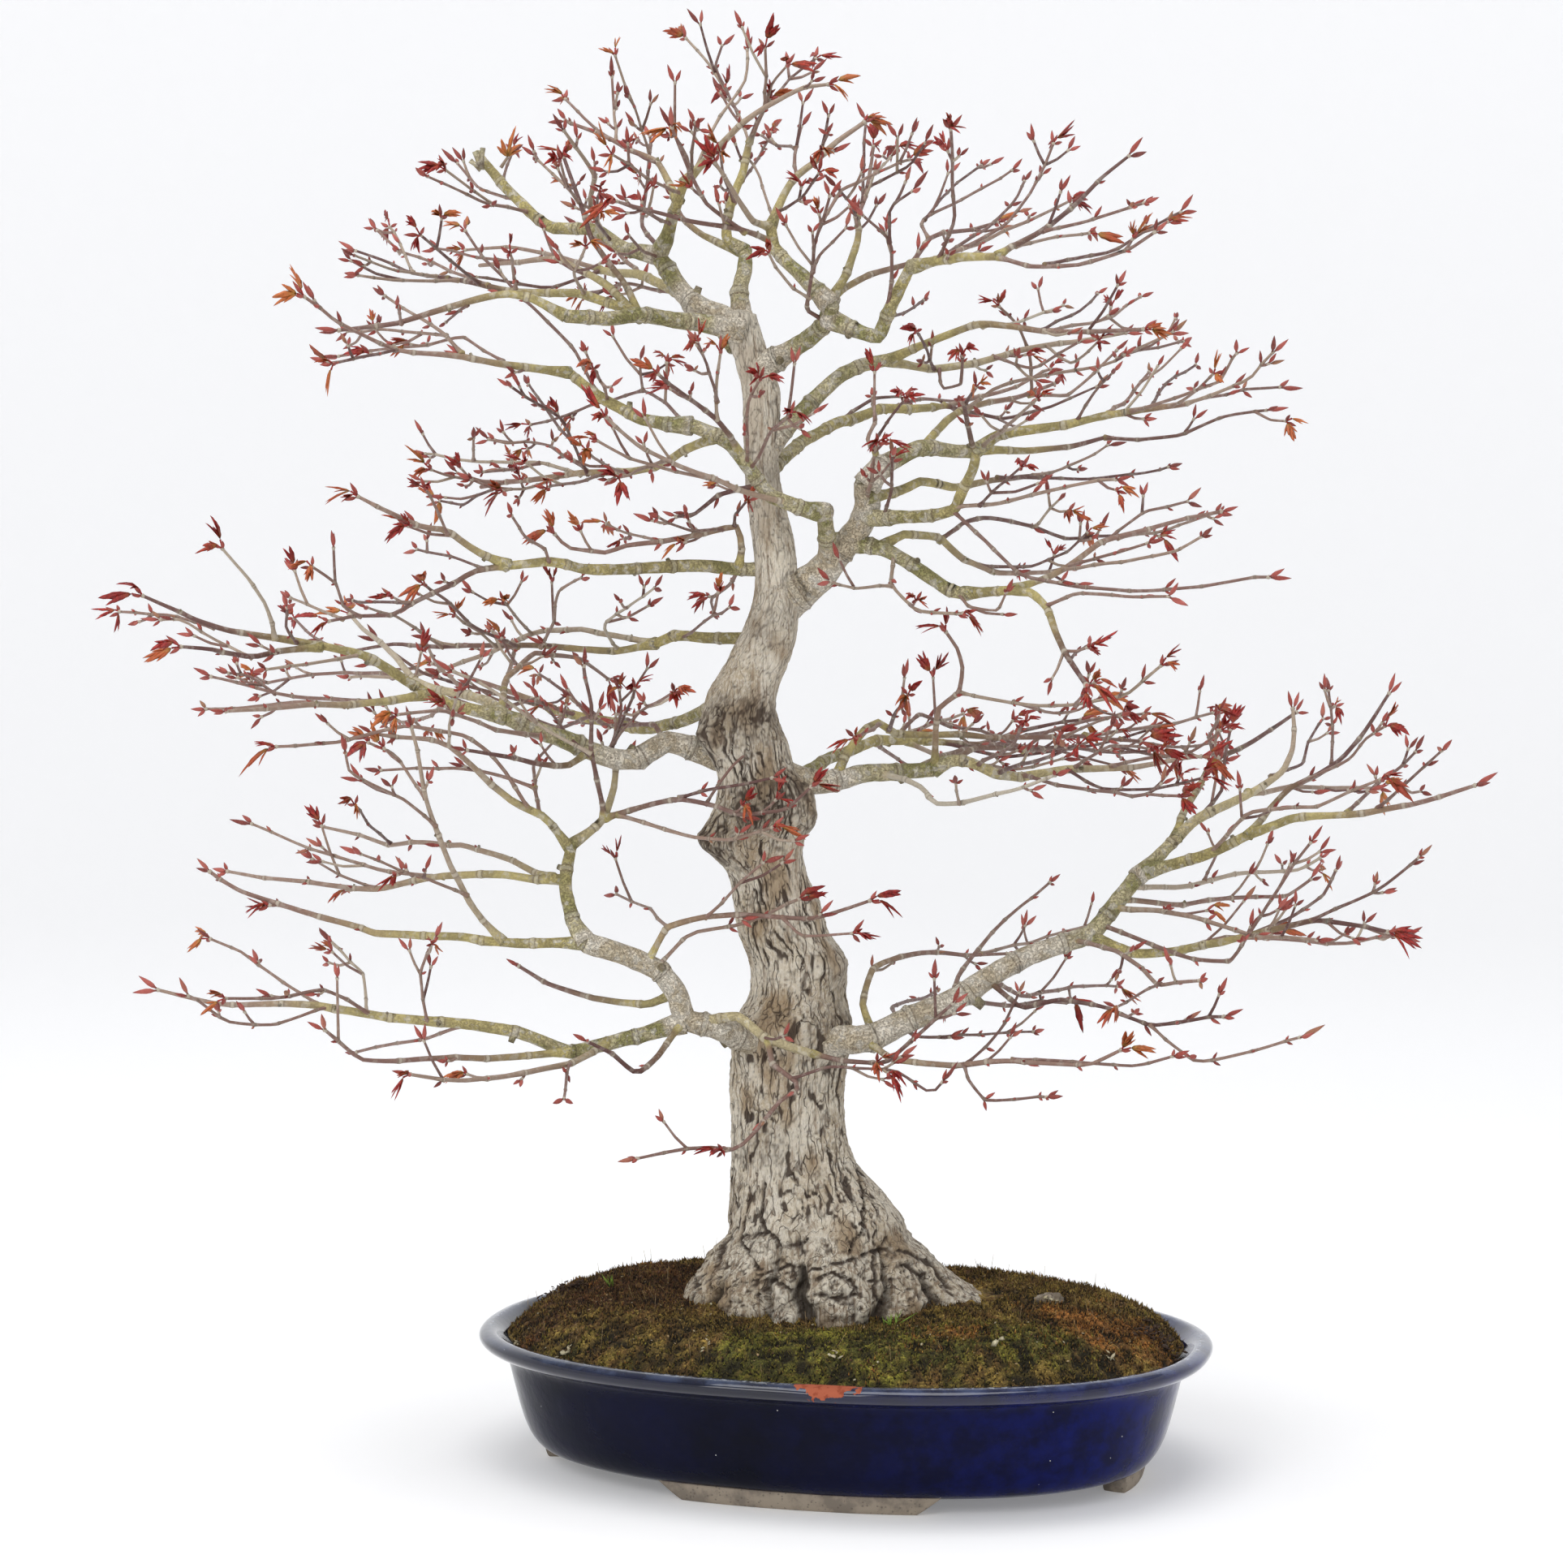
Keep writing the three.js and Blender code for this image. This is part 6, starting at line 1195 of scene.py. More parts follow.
def make_pot(chip):
    skin = Skin()
    parts = []
    sides = POT_SIDES
    around = [2 * math.pi * k / sides for k in range(sides)]
    rings = []
    for z, length, width in soften(POT_WALL, 2):
        ring = []
        for angle in around:
            point = pot_point(length, width, angle)
            point.z = z + 0.25 * noise.noise(point / 60)
            off = abs((point.x - chip.x) / CHIP["half"]) ** 2.4 + abs(chip.z - z) / CHIP["drop"]
            if off < 1 and point.y < chip.y + 12:
                point.y += 1.1 * (1 - off)
            ring.append(point)
        rings.append(skin.ring(ring, (0, 0, 0)))
    skin.loft(rings, sides)
    bottom, floor = POT_WALL[0][0], POT_WALL[-1][0]
    skin.close(rings[0], sides, Vector((POT_X, 0, bottom)), (0, 0, 0), False)
    skin.close(rings[-1], sides, Vector((POT_X, 0, floor)), (0, 0, 0), True)
    glazed = len(skin.faces)
    for middle, half in [(90, 25), (270, 25), (0, 15.3), (180, 15.3)]:
        add_foot(skin, math.radians(middle), math.radians(half))
    parts = [0] * glazed + [1] * (len(skin.faces) - glazed)
    finishes = [finish_glaze(in_metres(chip)), finish_foot_clay()]
    pot = new_piece("pot_body", skin, finishes, ["pot"], parts)
    drill_drains(pot)
    return pot


def add_foot(skin, middle, half):
    """One foot: a stretch of the foot band whose ends slope inward to the ground."""
    section = soften(FOOT_SECTION, 1)
    steps = 48
    rings = []
    for i in range(steps + 1):
        t = 2 * i / steps - 1
        ring = []
        for z, length, width in section:
            squeeze = 1 - 0.2 * (1 - z / FOOT_SECTION[0][0])
            point = pot_point(length, width, middle + half * t * squeeze)
            point.z = max(0, z)
            ring.append(point)
        rings.append(skin.ring(ring, (0, 0, 0)))
    for lower, upper in zip(rings, rings[1:]):
        skin.band(upper, lower, len(section))
    for ring, at_end in ((rings[0], True), (rings[-1], False)):
        points = skin.points[ring:ring + len(section)]
        centre = sum(points, Vector()) / len(section)
        skin.close(ring, len(section), centre, (0, 0, 0), at_end)


def drill_drains(pot):
    """Cuts the two drain holes where the drain plates lie."""
    for node in ("drain_mesh_left", "drain_mesh_right"):
        low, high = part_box(node)
        middle = (low + high) / 2
        cutter_mesh = bpy.data.meshes.new("drain_cutter")
        shape = bmesh.new()
        bmesh.ops.create_cone(shape, cap_ends=True, segments=32, radius1=0.009, radius2=0.009, depth=0.06)
        bmesh.ops.translate(shape, verts=shape.verts, vec=(middle.x, middle.y, 0))
        shape.to_mesh(cutter_mesh)
        shape.free()
        cutter = bpy.data.objects.new("drain_cutter", cutter_mesh)
        bpy.context.scene.collection.objects.link(cutter)
        hole = pot.modifiers.new("drain", "BOOLEAN")
        hole.operation = "DIFFERENCE"
        hole.object = cutter
        apply_modifiers(pot)
        bpy.data.objects.remove(cutter)


def apply_modifiers(made):
    """Bakes a piece's modifiers into its mesh."""
    bpy.context.view_layer.update()
    shown = made.evaluated_get(bpy.context.evaluated_depsgraph_get())
    baked = bpy.data.meshes.new_from_object(shown)
    made.modifiers.clear()
    made.data = baked


# Moss, litter and stone


def mound_height(share, angle):
    """The moss's height over the share of the way from the middle to the pot's wall."""
    swell = 1.6 * math.sin(3 * angle + 1) * share + 1.1 * math.sin(7 * angle) * share * share
    return MOUND["rim"] + MOUND["rise"] * (1 - share ** MOUND["fall"]) + swell * (1 - share**6)


def mound_share(x, y):
    """How far out a plan point lies on the mound, from 0 to 1 at the wall, and its angle."""
    turn_c, turn_s = math.cos(POT_TURN), math.sin(POT_TURN)
    u = (x - POT_X) * turn_c + y * turn_s
    v = y * turn_c - (x - POT_X) * turn_s
    across, deep = abs(u) / MOSS_PLAN[0], abs(v) / MOSS_PLAN[1]
    share = (across**POT_POWER + deep**POT_POWER) ** (1 / POT_POWER)
    half_power = POT_POWER / 2
    angle = math.atan2(math.copysign(deep**half_power, v), math.copysign(across**half_power, u))
    return share, angle


def moss_relief(x, y):
    """How the moss's cushions, tufts and crumbs rise and fall at a plan point."""
    here = Vector((x, y, 0))
    bend = here + noise.noise_vector(here / 11) * 5
    cushions = 2.4 * noise.fractal(bend / 21, 1, 2, 3)
    tufts = 2.2 * (0.5 - abs(noise.noise(bend / 9 + Vector((7, 3, 1)))) * 2)
    crumbs = 1.1 * noise.noise(here / 2.4)
    return cushions + tufts + crumbs


def moss_top(x, y):
    """The moss's surface, lower in front of the toes."""
    share, angle = mound_share(x, y)
    beside_toes = math.exp(-(((x - 20) / 58) ** 2) - ((y + 70) / 26) ** 2)
    edge = smooth(1.02, 0.93, share)
    relief = moss_relief(x, y) * (0.5 + 0.5 * edge)
    return mound_height(min(share, 1), angle) + relief - MOSS_DIP * beside_toes


def on_moss(x, y, lift=0.0):
    return Vector((x, y, moss_top(x, y) + lift))


def moss_regions(x, y):
    """How rusty, how green and how brown the moss is at a plan point, and the painted light of its relief
    there: light on the tops, shade in the hollows.
    """
    drift = 0.5 * noise.noise(Vector((x, y, 40)) / 24) + 0.3 * noise.noise(Vector((x, y, 9)) / 7)

    def near(cx, cy, reach_x, reach_y):
        return math.exp(-(((x - cx) / reach_x) ** 2) - ((y - cy) / reach_y) ** 2)

    rust = near(178, -66, 46, 34) + 0.7 * near(95, -92, 30, 20)
    green = 1.1 * near(20, -112, 80, 30) + 0.8 * near(120, -95, 60, 30) + 0.6 * near(-110, -60, 40, 30)
    brown = near(-90, 0, 70, 60) + near(20, 60, 120, 50) + 0.5 * near(60, -100, 16, 12)
    # painted light and shade: the relief's tops get a high number and its hollows a low one
    height = clamp(0.42 + moss_relief(x, y) * 0.16)
    return (*(clamp(value + drift - 0.1) for value in (rust, green, brown)), height)


def make_moss():
    """The carpet: cushioned on top, with a wall down beside the pot and a flat underside."""
    skin = Skin()
    sides, steps = MOSS_GRID
    rings = []
    for i in range(steps):
        share = 1.005 * ((i + 1) / steps) ** 0.8
        for k in range(sides):
            point = pot_point(MOSS_PLAN[0] * share, MOSS_PLAN[1] * share, 2 * math.pi * k / sides)
            point.z = moss_top(point.x, point.y)
            first = skin.ring([point], moss_regions(point.x, point.y))
            if k == 0:
                rings.append(first)
    wall = [pot_point(188, 127, 2 * math.pi * k / sides) + Vector((0, 0, 66)) for k in range(sides)]
    # the wall down beside the pot gets full painted shade
    rings.append(skin.ring(wall, (0, 0, 1, 0)))
    for inner, outer in zip(rings, rings[1:]):
        skin.band(outer, inner, sides)
    top = Vector((POT_X, 0, moss_top(POT_X, 0)))
    skin.close(rings[0], sides, top, (0, 0, 1, 0.5), True)
    skin.close(rings[-1], sides, Vector((POT_X, 0, 66)), (0, 0, 1, 0), False)
    return new_piece("moss_carpet", skin, [finish_moss()], ["moss"])


def moss_spots(count, rng, most=0.99):
    """Random plan points on the moss, clear of the trunk."""
    spots = []
    while len(spots) < count:
        x = rng.uniform(-165, 235)
        y = rng.uniform(-165, 165)
        if mound_share(x, y)[0] < most and not inside_roots(x, y):
            spots.append((x, y))
    return spots


def inside_roots(x, y):
    dx, dy = x - ROOT_CENTRE[0], (y - ROOT_CENTRE[1]) / 0.9
    return math.hypot(dx, dy) < root_radius(92, math.atan2(dy, dx))


def make_moss_tufts(moss_finish):
    """Short leafy shoots that stand up out of the moss, with painted shade at their feet and painted light
    at their points.
    """
    rng = random.Random(5)
    skin = Skin()
    for x, y in moss_spots(MOSS_SHOOTS, rng, 1.0):
        foot = on_moss(x, y, -0.6)
        height = rng.uniform(1.4, 4.2)
        lean = Vector((rng.gauss(0, 0.4), rng.gauss(0, 0.4), 1)).normalized()
        width = rng.uniform(0.45, 0.9)
        turn = rng.uniform(0, 2)
        ring = [
            foot + Vector((width * math.cos(turn + a), width * math.sin(turn + a), 0))
            for a in (0, 2.094, 4.189)
        ]
        *region, high = moss_regions(x, y)
        region = [clamp(n + rng.gauss(0, 0.2)) for n in region]
        # painted shade at the shoot's foot and painted light at its point
        base = skin.ring(ring, (*region, high * 0.4))
        tip = high * 0.6 + rng.uniform(0.0, 1.0)
        skin.close(base, 3, foot + lean * height, (*region, tip), True)
        skin.faces.append((base + 2, base + 1, base))
    return new_piece("moss_shoots", skin, [moss_finish])


def add_bit(skin, centre, size, shade, rng):
    """A flat irregular crumb."""
    tilt = Vector((rng.gauss(0, 0.5), rng.gauss(0, 0.5), 1)).normalized()
    side = tilt.orthogonal().normalized()
    up = tilt.cross(side)
    turn = rng.uniform(0, 6.28)
    sides = 5
    stretch = rng.uniform(0.3, 0.9)
    ring = []
    for k in range(sides):
        angle = turn + 2 * math.pi * k / sides
        reach = size * rng.uniform(0.7, 1.2)
        ring.append(centre + side * reach * math.cos(angle) + up * reach * stretch * math.sin(angle))
    first = skin.ring(ring, shade)
    thick = size * rng.uniform(0.15, 0.4)
    skin.close(first, sides, centre + tilt * thick, shade, True)
    skin.close(first, sides, centre - tilt * thick, shade, False)


def make_litter():
    """Lichen flakes, old bud scales, dark crumbs, hair-thin stalks and two seedlings on the moss."""
    rng = random.Random(8)
    skin = Skin()
    for x, y in moss_spots(1100, rng):
        tone = rng.choice([0.1, 0.2, 0.3, 0.4, 0.6])
        add_bit(skin, on_moss(x, y, 0.9), rng.uniform(0.4, 1.5), (tone, 0, 0), rng)
    for x, y in moss_spots(150, rng):
        tone = rng.uniform(0.62, 1)
        add_bit(skin, on_moss(x, y, 1.5), rng.uniform(0.5, 1.4), (tone, 0, 0), rng)
    for x, y in FLAKES:
        for _ in range(5):
            spot = Vector((x + rng.gauss(0, 2.2), y + rng.gauss(0, 1.2), 0))
            spot.z = moss_top(spot.x, spot.y) + rng.uniform(1, 3)
            add_bit(skin, spot, rng.uniform(1.2, 2.8), (rng.uniform(0.85, 1), 0, 0), rng)
    for cx, cy in [(-128, 40), (-120, 34), (208, -48), (212, -58), (204, -62)]:
        for _ in range(40):
            x, y = rng.gauss(cx, 5), rng.gauss(cy, 4)
            lift = rng.uniform(0, 5)
            add_bit(skin, on_moss(x, y, lift), rng.uniform(1, 2.4), (0.05, 0, 0), rng)
    for x, y in moss_spots(70, rng):
        foot = on_moss(x, y)
        tip = foot + Vector((rng.gauss(0, 2), rng.gauss(0, 2), rng.uniform(5, 13)))
        skin.tube([foot, foot.lerp(tip, 0.6), tip], [0.16, 0.13, 0.09], 3, [(0.6, 0, 0)] * 3)
    for cx, cy, blades in [(62, -70, 9), (-97, 22, 6), (58, -68, 5)]:
        for _ in range(blades):
            foot = Vector((cx + rng.gauss(0, 1.4), cy + rng.gauss(0, 1.4), moss_top(cx, cy) - 0.5))
            tip = foot + Vector((rng.gauss(0, 4), rng.gauss(0, 3), rng.uniform(4, 9)))
            skin.tube([foot, foot.lerp(tip, 0.5), tip], [0.35, 0.45, 0.08], 4, [(0.6, 0.9, 0)] * 3)
    return new_piece("moss_litter", skin, [finish_litter()])


def make_stone():
    """A lumpy flat pebble in the place of its solid."""
    low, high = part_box("stone")
    middle = ((low + high) / 2 - SHIFT) / MM
    half = (high - low) / 2 / MM
    skin = Skin()
    sides, levels = 48, 20
    rings = []
    for i in range(1, levels):
        up = -math.pi / 2 + math.pi * i / levels
        ring = []
        for k in range(sides):
            turn = 2 * math.pi * k / sides
            ray = Vector((math.cos(up) * math.cos(turn), math.cos(up) * math.sin(turn), math.sin(up)))
            lumps = 1 + 0.16 * noise.fractal(ray * 1.7, 1, 2, 4)
            ring.append(middle + Vector((ray.x * half.x, ray.y * half.y, ray.z * half.z)) * lumps)
        rings.append(skin.ring(ring, (0, 0, 0)))
    skin.loft(rings, sides)
    skin.close(rings[0], sides, middle - Vector((0, 0, half.z)), (0, 0, 0), False)
    skin.close(rings[-1], sides, middle + Vector((0, 0, half.z)), (0, 0, 0), True)
    return new_piece("moss_stone", skin, [finish_stone()], ["stone"])


# Trunk


def depth_sway(z):
    """How far the trunk leans back at a height."""
    return 5 * math.sin((z - 140) / 75) * min(1, (z - 120) / 200)


def trunk_edges_at(z):
    """The trunk's left and right edge at a height, on a smooth curve through the table."""
    table = TRUNK_EDGES
    z = clamp(z, table[0][0], table[-1][0])
    i = max(k for k in range(len(table) - 1) if table[k][0] <= z)
    lower, upper = table[i], table[i + 1]
    before, after = table[max(i - 1, 0)], table[min(i + 2, len(table) - 1)]
    span = upper[0] - lower[0]
    t = (z - lower[0]) / span
    edges = []
    for side in (1, 2):
        slope_a = (upper[side] - before[side]) / (upper[0] - before[0])
        slope_b = (after[side] - lower[side]) / (after[0] - lower[0])
        edges.append(
            lower[side] * (2 * t**3 - 3 * t**2 + 1)
            + upper[side] * (3 * t**2 - 2 * t**3)
            + slope_a * span * (t**3 - 2 * t**2 + t)
            + slope_b * span * (t**3 - t**2)
        )
    return edges


def degrees_apart(angle, direction):
    return abs((math.degrees(angle) - direction + 180) % 360 - 180)


def root_radius(z, angle):
    """How far out the roots reach: rounded toes with clefts between them."""
    low_down = max(0, BARE_TRUNK - z) / (BARE_TRUNK - 92)
    sway = 5 * noise.noise(Vector((math.cos(angle) * 2.5, math.sin(angle) * 2.5, z / 13)))
    angle += math.radians(sway)
    reach = 0
    for direction, turn, length, half, hollow in TOES:
        apart = degrees_apart(angle, direction + turn * (1 - min(low_down, 1))) / half
        if apart < 1:
            knuckle = min(low_down, 1.3) ** hollow * (1 - 0.14 * smooth(0.7, 1.1, low_down) * (hollow < 1))
            reach = max(reach, length * knuckle * (1 - apart**2.2) ** 0.5)
    for at_moss, at_top, top, depth, half in CLEFTS:
        rise = clamp((z - 92) / (top - 92))
        apart = degrees_apart(angle, at_moss + (at_top - at_moss) * rise) / (half * (1 - 0.6 * rise))
        reach -= depth * smooth(top, top - 12, z) * math.exp(-apart * apart)
    return 47 + 5 * min(low_down, 1.3) + reach


def painted_cleft_shade(z, angle):
    """The painted shade on the roots: 1 where they lie open, and towards 0 deep between two toes and at
    the moss.
    """
    step = math.radians(9)
    beside = (root_radius(z, angle - step) + root_radius(z, angle + step)) / 2
    return smooth(-9, 0.5, root_radius(z, angle) - beside) * (0.45 + 0.55 * smooth(86, 102, z))


def trunk_surface(z, angle):
    """The trunk without its bark: a fluted stem that passes into the root flare."""
    left, right = trunk_edges_at(z)
    half = (right - left) / 2
    flute = 1 + 0.035 * math.sin(3 * angle + z / 40) + 0.02 * math.sin(5 * angle - z / 23)
    stem = Vector((
        (left + right) / 2 + half * flute * math.cos(angle),
        depth_sway(z) + 0.92 * half * flute * math.sin(angle),
        z,
    ))
    share = smooth(148, 124, z)
    if share == 0:
        return stem
    reach = root_radius(z, angle)
    root = Vector((
        ROOT_CENTRE[0] + reach * math.cos(angle),
        ROOT_CENTRE[1] + 0.9 * reach * math.sin(angle),
        z,
    ))
    return stem.lerp(root, share)


def grain_at(point, across, up):
    """Noise with grains of one size across and another up the trunk."""
    return noise.noise(Vector((point.x / across, point.y / across, point.z / up)))


def ridges_at(angle, point, count, low_down):
    """0 on the crest of a bark ridge and 1 in the fissure beside it."""
    swing = 2.9 * grain_at(point, 10, 19)
    swing += 1.2 * grain_at(point, 4, 8)
    swing *= 1 + 1.4 * low_down
    return 0.5 - 0.5 * math.cos(count * angle + 2.6 * swing)


def crease_at(point):
    """1 in a crease of the roots and 0 away from it."""
    if point.z > 178 or point.y > 5:
        return 0.0
    scale = EYE.y / (EYE.y - point.y)
    x = point.x * scale
    z = EYE.z + (point.z - EYE.z) * scale
    bend = noise.noise_vector(point / 7) * 2.2
    x, z = x + bend.x, z + bend.z
    away = 99.0
    for line in CREASES:
        for i in range(0, len(line) - 2, 2):
            across, up = line[i + 2] - line[i], line[i + 3] - line[i + 1]
            share = clamp(((x - line[i]) * across + (z - line[i + 1]) * up) / (across * across + up * up))
            away = min(away, math.hypot(line[i] + share * across - x, line[i + 1] + share * up - z))
    return clamp(1 - away / (1.5 + 1.1 * noise.noise(point / 6)))


def bark_at(point, angle):
    """How far the bark stands out at a point, how cracked it is, how rough and how stained."""
    low_down = smooth(150, 116, point.z)
    high_up = smooth(*WAIST, point.z)
    wave = ridges_at(angle, point, RIDGES[0], low_down) * (1 - high_up)
    wave += ridges_at(angle, point, RIDGES[1], low_down) * high_up
    broken = smooth(-0.25, 0.3, grain_at(point, 8, 15))
    fissure = smooth(0.7, 0.99, wave) * (0.08 + 0.92 * broken)
    fissure *= (1 - 0.75 * high_up) * (1 - 0.55 * low_down)
    spot = point + noise.noise_vector(point / 13) * 7
    swirl = noise.noise(spot / 8)
    fine_swirl = noise.noise(spot / 4.2 + Vector((3, 7, 2)))
    wrinkle = max(clamp(1 - abs(swirl) / 0.07), 0.7 * clamp(1 - abs(fine_swirl) / 0.08)) * low_down
    crossed = smooth(0.1, 0.35, noise.noise(point / 11 + Vector((1, 5, 8))))
    crossed *= clamp(1 - abs(grain_at(spot, 11, 4.5)) / 0.1)
    rough = 0.0
    swell = 0.0
    for x, z, depth, reach, height, dark in SWELLINGS:
        near = math.exp(-((point - place(x, z, depth)).length / reach) ** 2)
        swell += height * near
        rough += dark * near
    rough = clamp(rough)
    pit = 0.0
    for x, z, depth, radius, deep in SCARS:
        away = (point - place(x, z, depth)).length / radius
        pit += deep * math.exp(-away * away) - 0.3 * deep * math.exp(-(((away - 1.9) / 0.5) ** 2))
    plates = noise.voronoi(spot / 4.6)[0]
    plated = clamp(1 - (plates[1] - plates[0]) / 0.3) * rough
    grid = noise.voronoi(Vector((spot.x / 5.5, spot.y / 5.5, spot.z / 11)))[0]
    crackle = 0.5 * clamp(1 - (grid[1] - grid[0]) / 0.13) * (1 - low_down)
    lumps = 1.5 * noise.fractal(point / 30, 1, 2, 3)
    folds = 2.2 * noise.noise(spot / 9) + 1.4 * grain_at(spot, 10, 3.6)
    folds = low_down * (folds + 2.4 * abs(swirl) + abs(fine_swirl))
    knobbly = rough * (1.2 * noise.noise(point / 3.6) + 1.6 * noise.noise(spot / 7))
    crease = crease_at(point)
    crossed *= 0.28 + 0.52 * rough
    crack = max(fissure, crease, 0.85 * wrinkle, crossed, 0.9 * plated, crackle)
    ridge = 0.55 * (1 - wave) * (1 - 0.6 * high_up) * (1 - low_down) + 0.4 * noise.noise(point / 2.3)
    lift = swell + lumps + ridge + folds + knobbly - FISSURE * crack - CREASE * crease - pit
    stain = 0.5 + 0.5 * noise.fractal(Vector((point.x / 18, point.y / 18, point.z / 40)), 1, 2, 3)
    return lift, clamp(crack + 0.25 * max(0, pit)), rough, clamp(stain)


def make_trunk():
    """Root toes, trunk and bark as one skin, ring by ring up to the top fork."""
    skin = Skin()
    sides, levels = BARK_GRID
    top = TRUNK_EDGES[-1][0]
    rings = []
    for i in range(levels + 1):
        z = ROOT_BOTTOM + (top - ROOT_BOTTOM) * i / levels
        middle = trunk_surface(z, 0).lerp(trunk_surface(z, math.pi), 0.5)
        girth = 2 * math.pi * (trunk_surface(z, 0) - middle).length
        fine = clamp(girth / 130, 0.6, 1)
        for k in range(sides):
            angle = 2 * math.pi * k / sides
            point = trunk_surface(z, angle)
            out = point - middle
            out.z = 0
            out.normalize()
            lift, crack, dark, stain = bark_at(point, angle)
            # the fourth number carries the painted shade of the root clefts
            open_to_light = painted_cleft_shade(z, angle) if z < 134 else 1
            first = skin.ring([point + out * lift * fine], (crack, dark, stain, open_to_light))
            if k == 0:
                rings.append(first)
    skin.loft(rings, sides)
    foot = Vector((ROOT_CENTRE[0], ROOT_CENTRE[1], ROOT_BOTTOM))
    skin.close(rings[0], sides, foot, (0, 0, 0), False)
    left, right = trunk_edges_at(top)
    crown = Vector(((left + right) / 2, depth_sway(top), top + 3))
    skin.close(rings[-1], sides, crown, (0, 0.5, 0.5), True)
    return new_piece("trunk_bark", skin, [finish_trunk_bark()], ["trunk"])


# Limbs, twigs, buds and leaves


def true_radius(thick):
    """Fine twigs are finer than their solids, which can't be as thin."""
    return thick / 2 * (0.76 + 0.26 * smooth(2.2, 4.4, thick))


def nearest_on(routes, x, z):
    best = None
    for route in routes:
        front, depths = route["front"], route["depths"]
        for i in range(len(front) - 1):
            ax, az = front[i]
            bx, bz = front[i + 1][0] - ax, front[i + 1][1] - az
            share = clamp(((x - ax) * bx + (z - az) * bz) / (bx * bx + bz * bz))
            away = math.hypot(ax + share * bx - x, az + share * bz - z)
            if best is None or away < best[0] - 1e-6:
                depth = depths[i] + share * (depths[i + 1] - depths[i])
                best = (away, (ax + share * bx, az + share * bz), depth)
    return best[1:]


def routes_of(joint_depth, limbs):
    """The limbs of a spray as routes in space, each started on the nearest limb before it."""
    routes = []
    for gain, thick0, thick1, tip, flat in limbs:
        front = list(zip(flat[::2], flat[1::2]))
        depth = joint_depth
        if routes:
            front[0], depth = nearest_on(routes, *front[0])
        steps = [0.0]
        for (ax, az), (bx, bz) in zip(front, front[1:]):
            steps.append(steps[-1] + math.hypot(bx - ax, bz - az))
        depths = [depth + gain * s / steps[-1] for s in steps]
        knots = [place(x, z, d) for (x, z), d in zip(front, depths)]
        routes.append({
            "front": front,
            "depths": depths,
            "knots": knots,
            "thick": (thick0, thick1),
            "tip": tip,
        })
    return routes


def knuckles(length, thick, rng):
    """Where a limb's old bud scars ring it."""
    gap = 22 if thick < 4 else 32
    spots = []
    at = gap * rng.uniform(0.4, 1)
    while at < length - 5:
        spots.append(at)
        at += gap * rng.uniform(0.6, 1.35)
    return spots


def limb_relief(point, radius):
    """Bark relief, in proportion to the limb."""
    if radius < 1.6:
        return 0.08 * radius * noise.noise(point / 3)
    lumps = 0.1 * radius * noise.fractal(point / 11, 1, 2, 3)
    scales = min(0.5, 0.06 * radius) * noise.noise(point / 2.2)
    return lumps + scales


def any_way(rng):
    """A random direction."""
    return Vector((rng.gauss(0, 1), rng.gauss(0, 1), rng.gauss(0, 1))).normalized()


def kink_at(kinks, s):
    """How far a limb is out of its smooth line: it turns a little at each scar."""
    for (before, first), (after, second) in zip(kinks, kinks[1:]):
        if s <= after:
            return first.lerp(second, (s - before) / max(1e-6, after - before))
    return kinks[-1][1]


def add_stub(wood, centre, ahead, radius, rng):
    """A knob where an old shoot was cut off a limb."""
    out = (beside(ahead, rng) + ahead * rng.uniform(0.1, 0.7)).normalized()
    width = rng.uniform(0.3, 0.5) * radius
    reach = radius + width * rng.uniform(0.7, 2)
    points = [centre + out * radius * 0.4, centre + out * radius, centre + out * reach]
    shades = [(0.6, 0.0, 0.6), (0.6, 0.5, 0.6), (0.9, 0.35, 0.9)]
    wood.tube(points, [width * 1.5, width * 1.2, width], 9, shades, limb_relief)


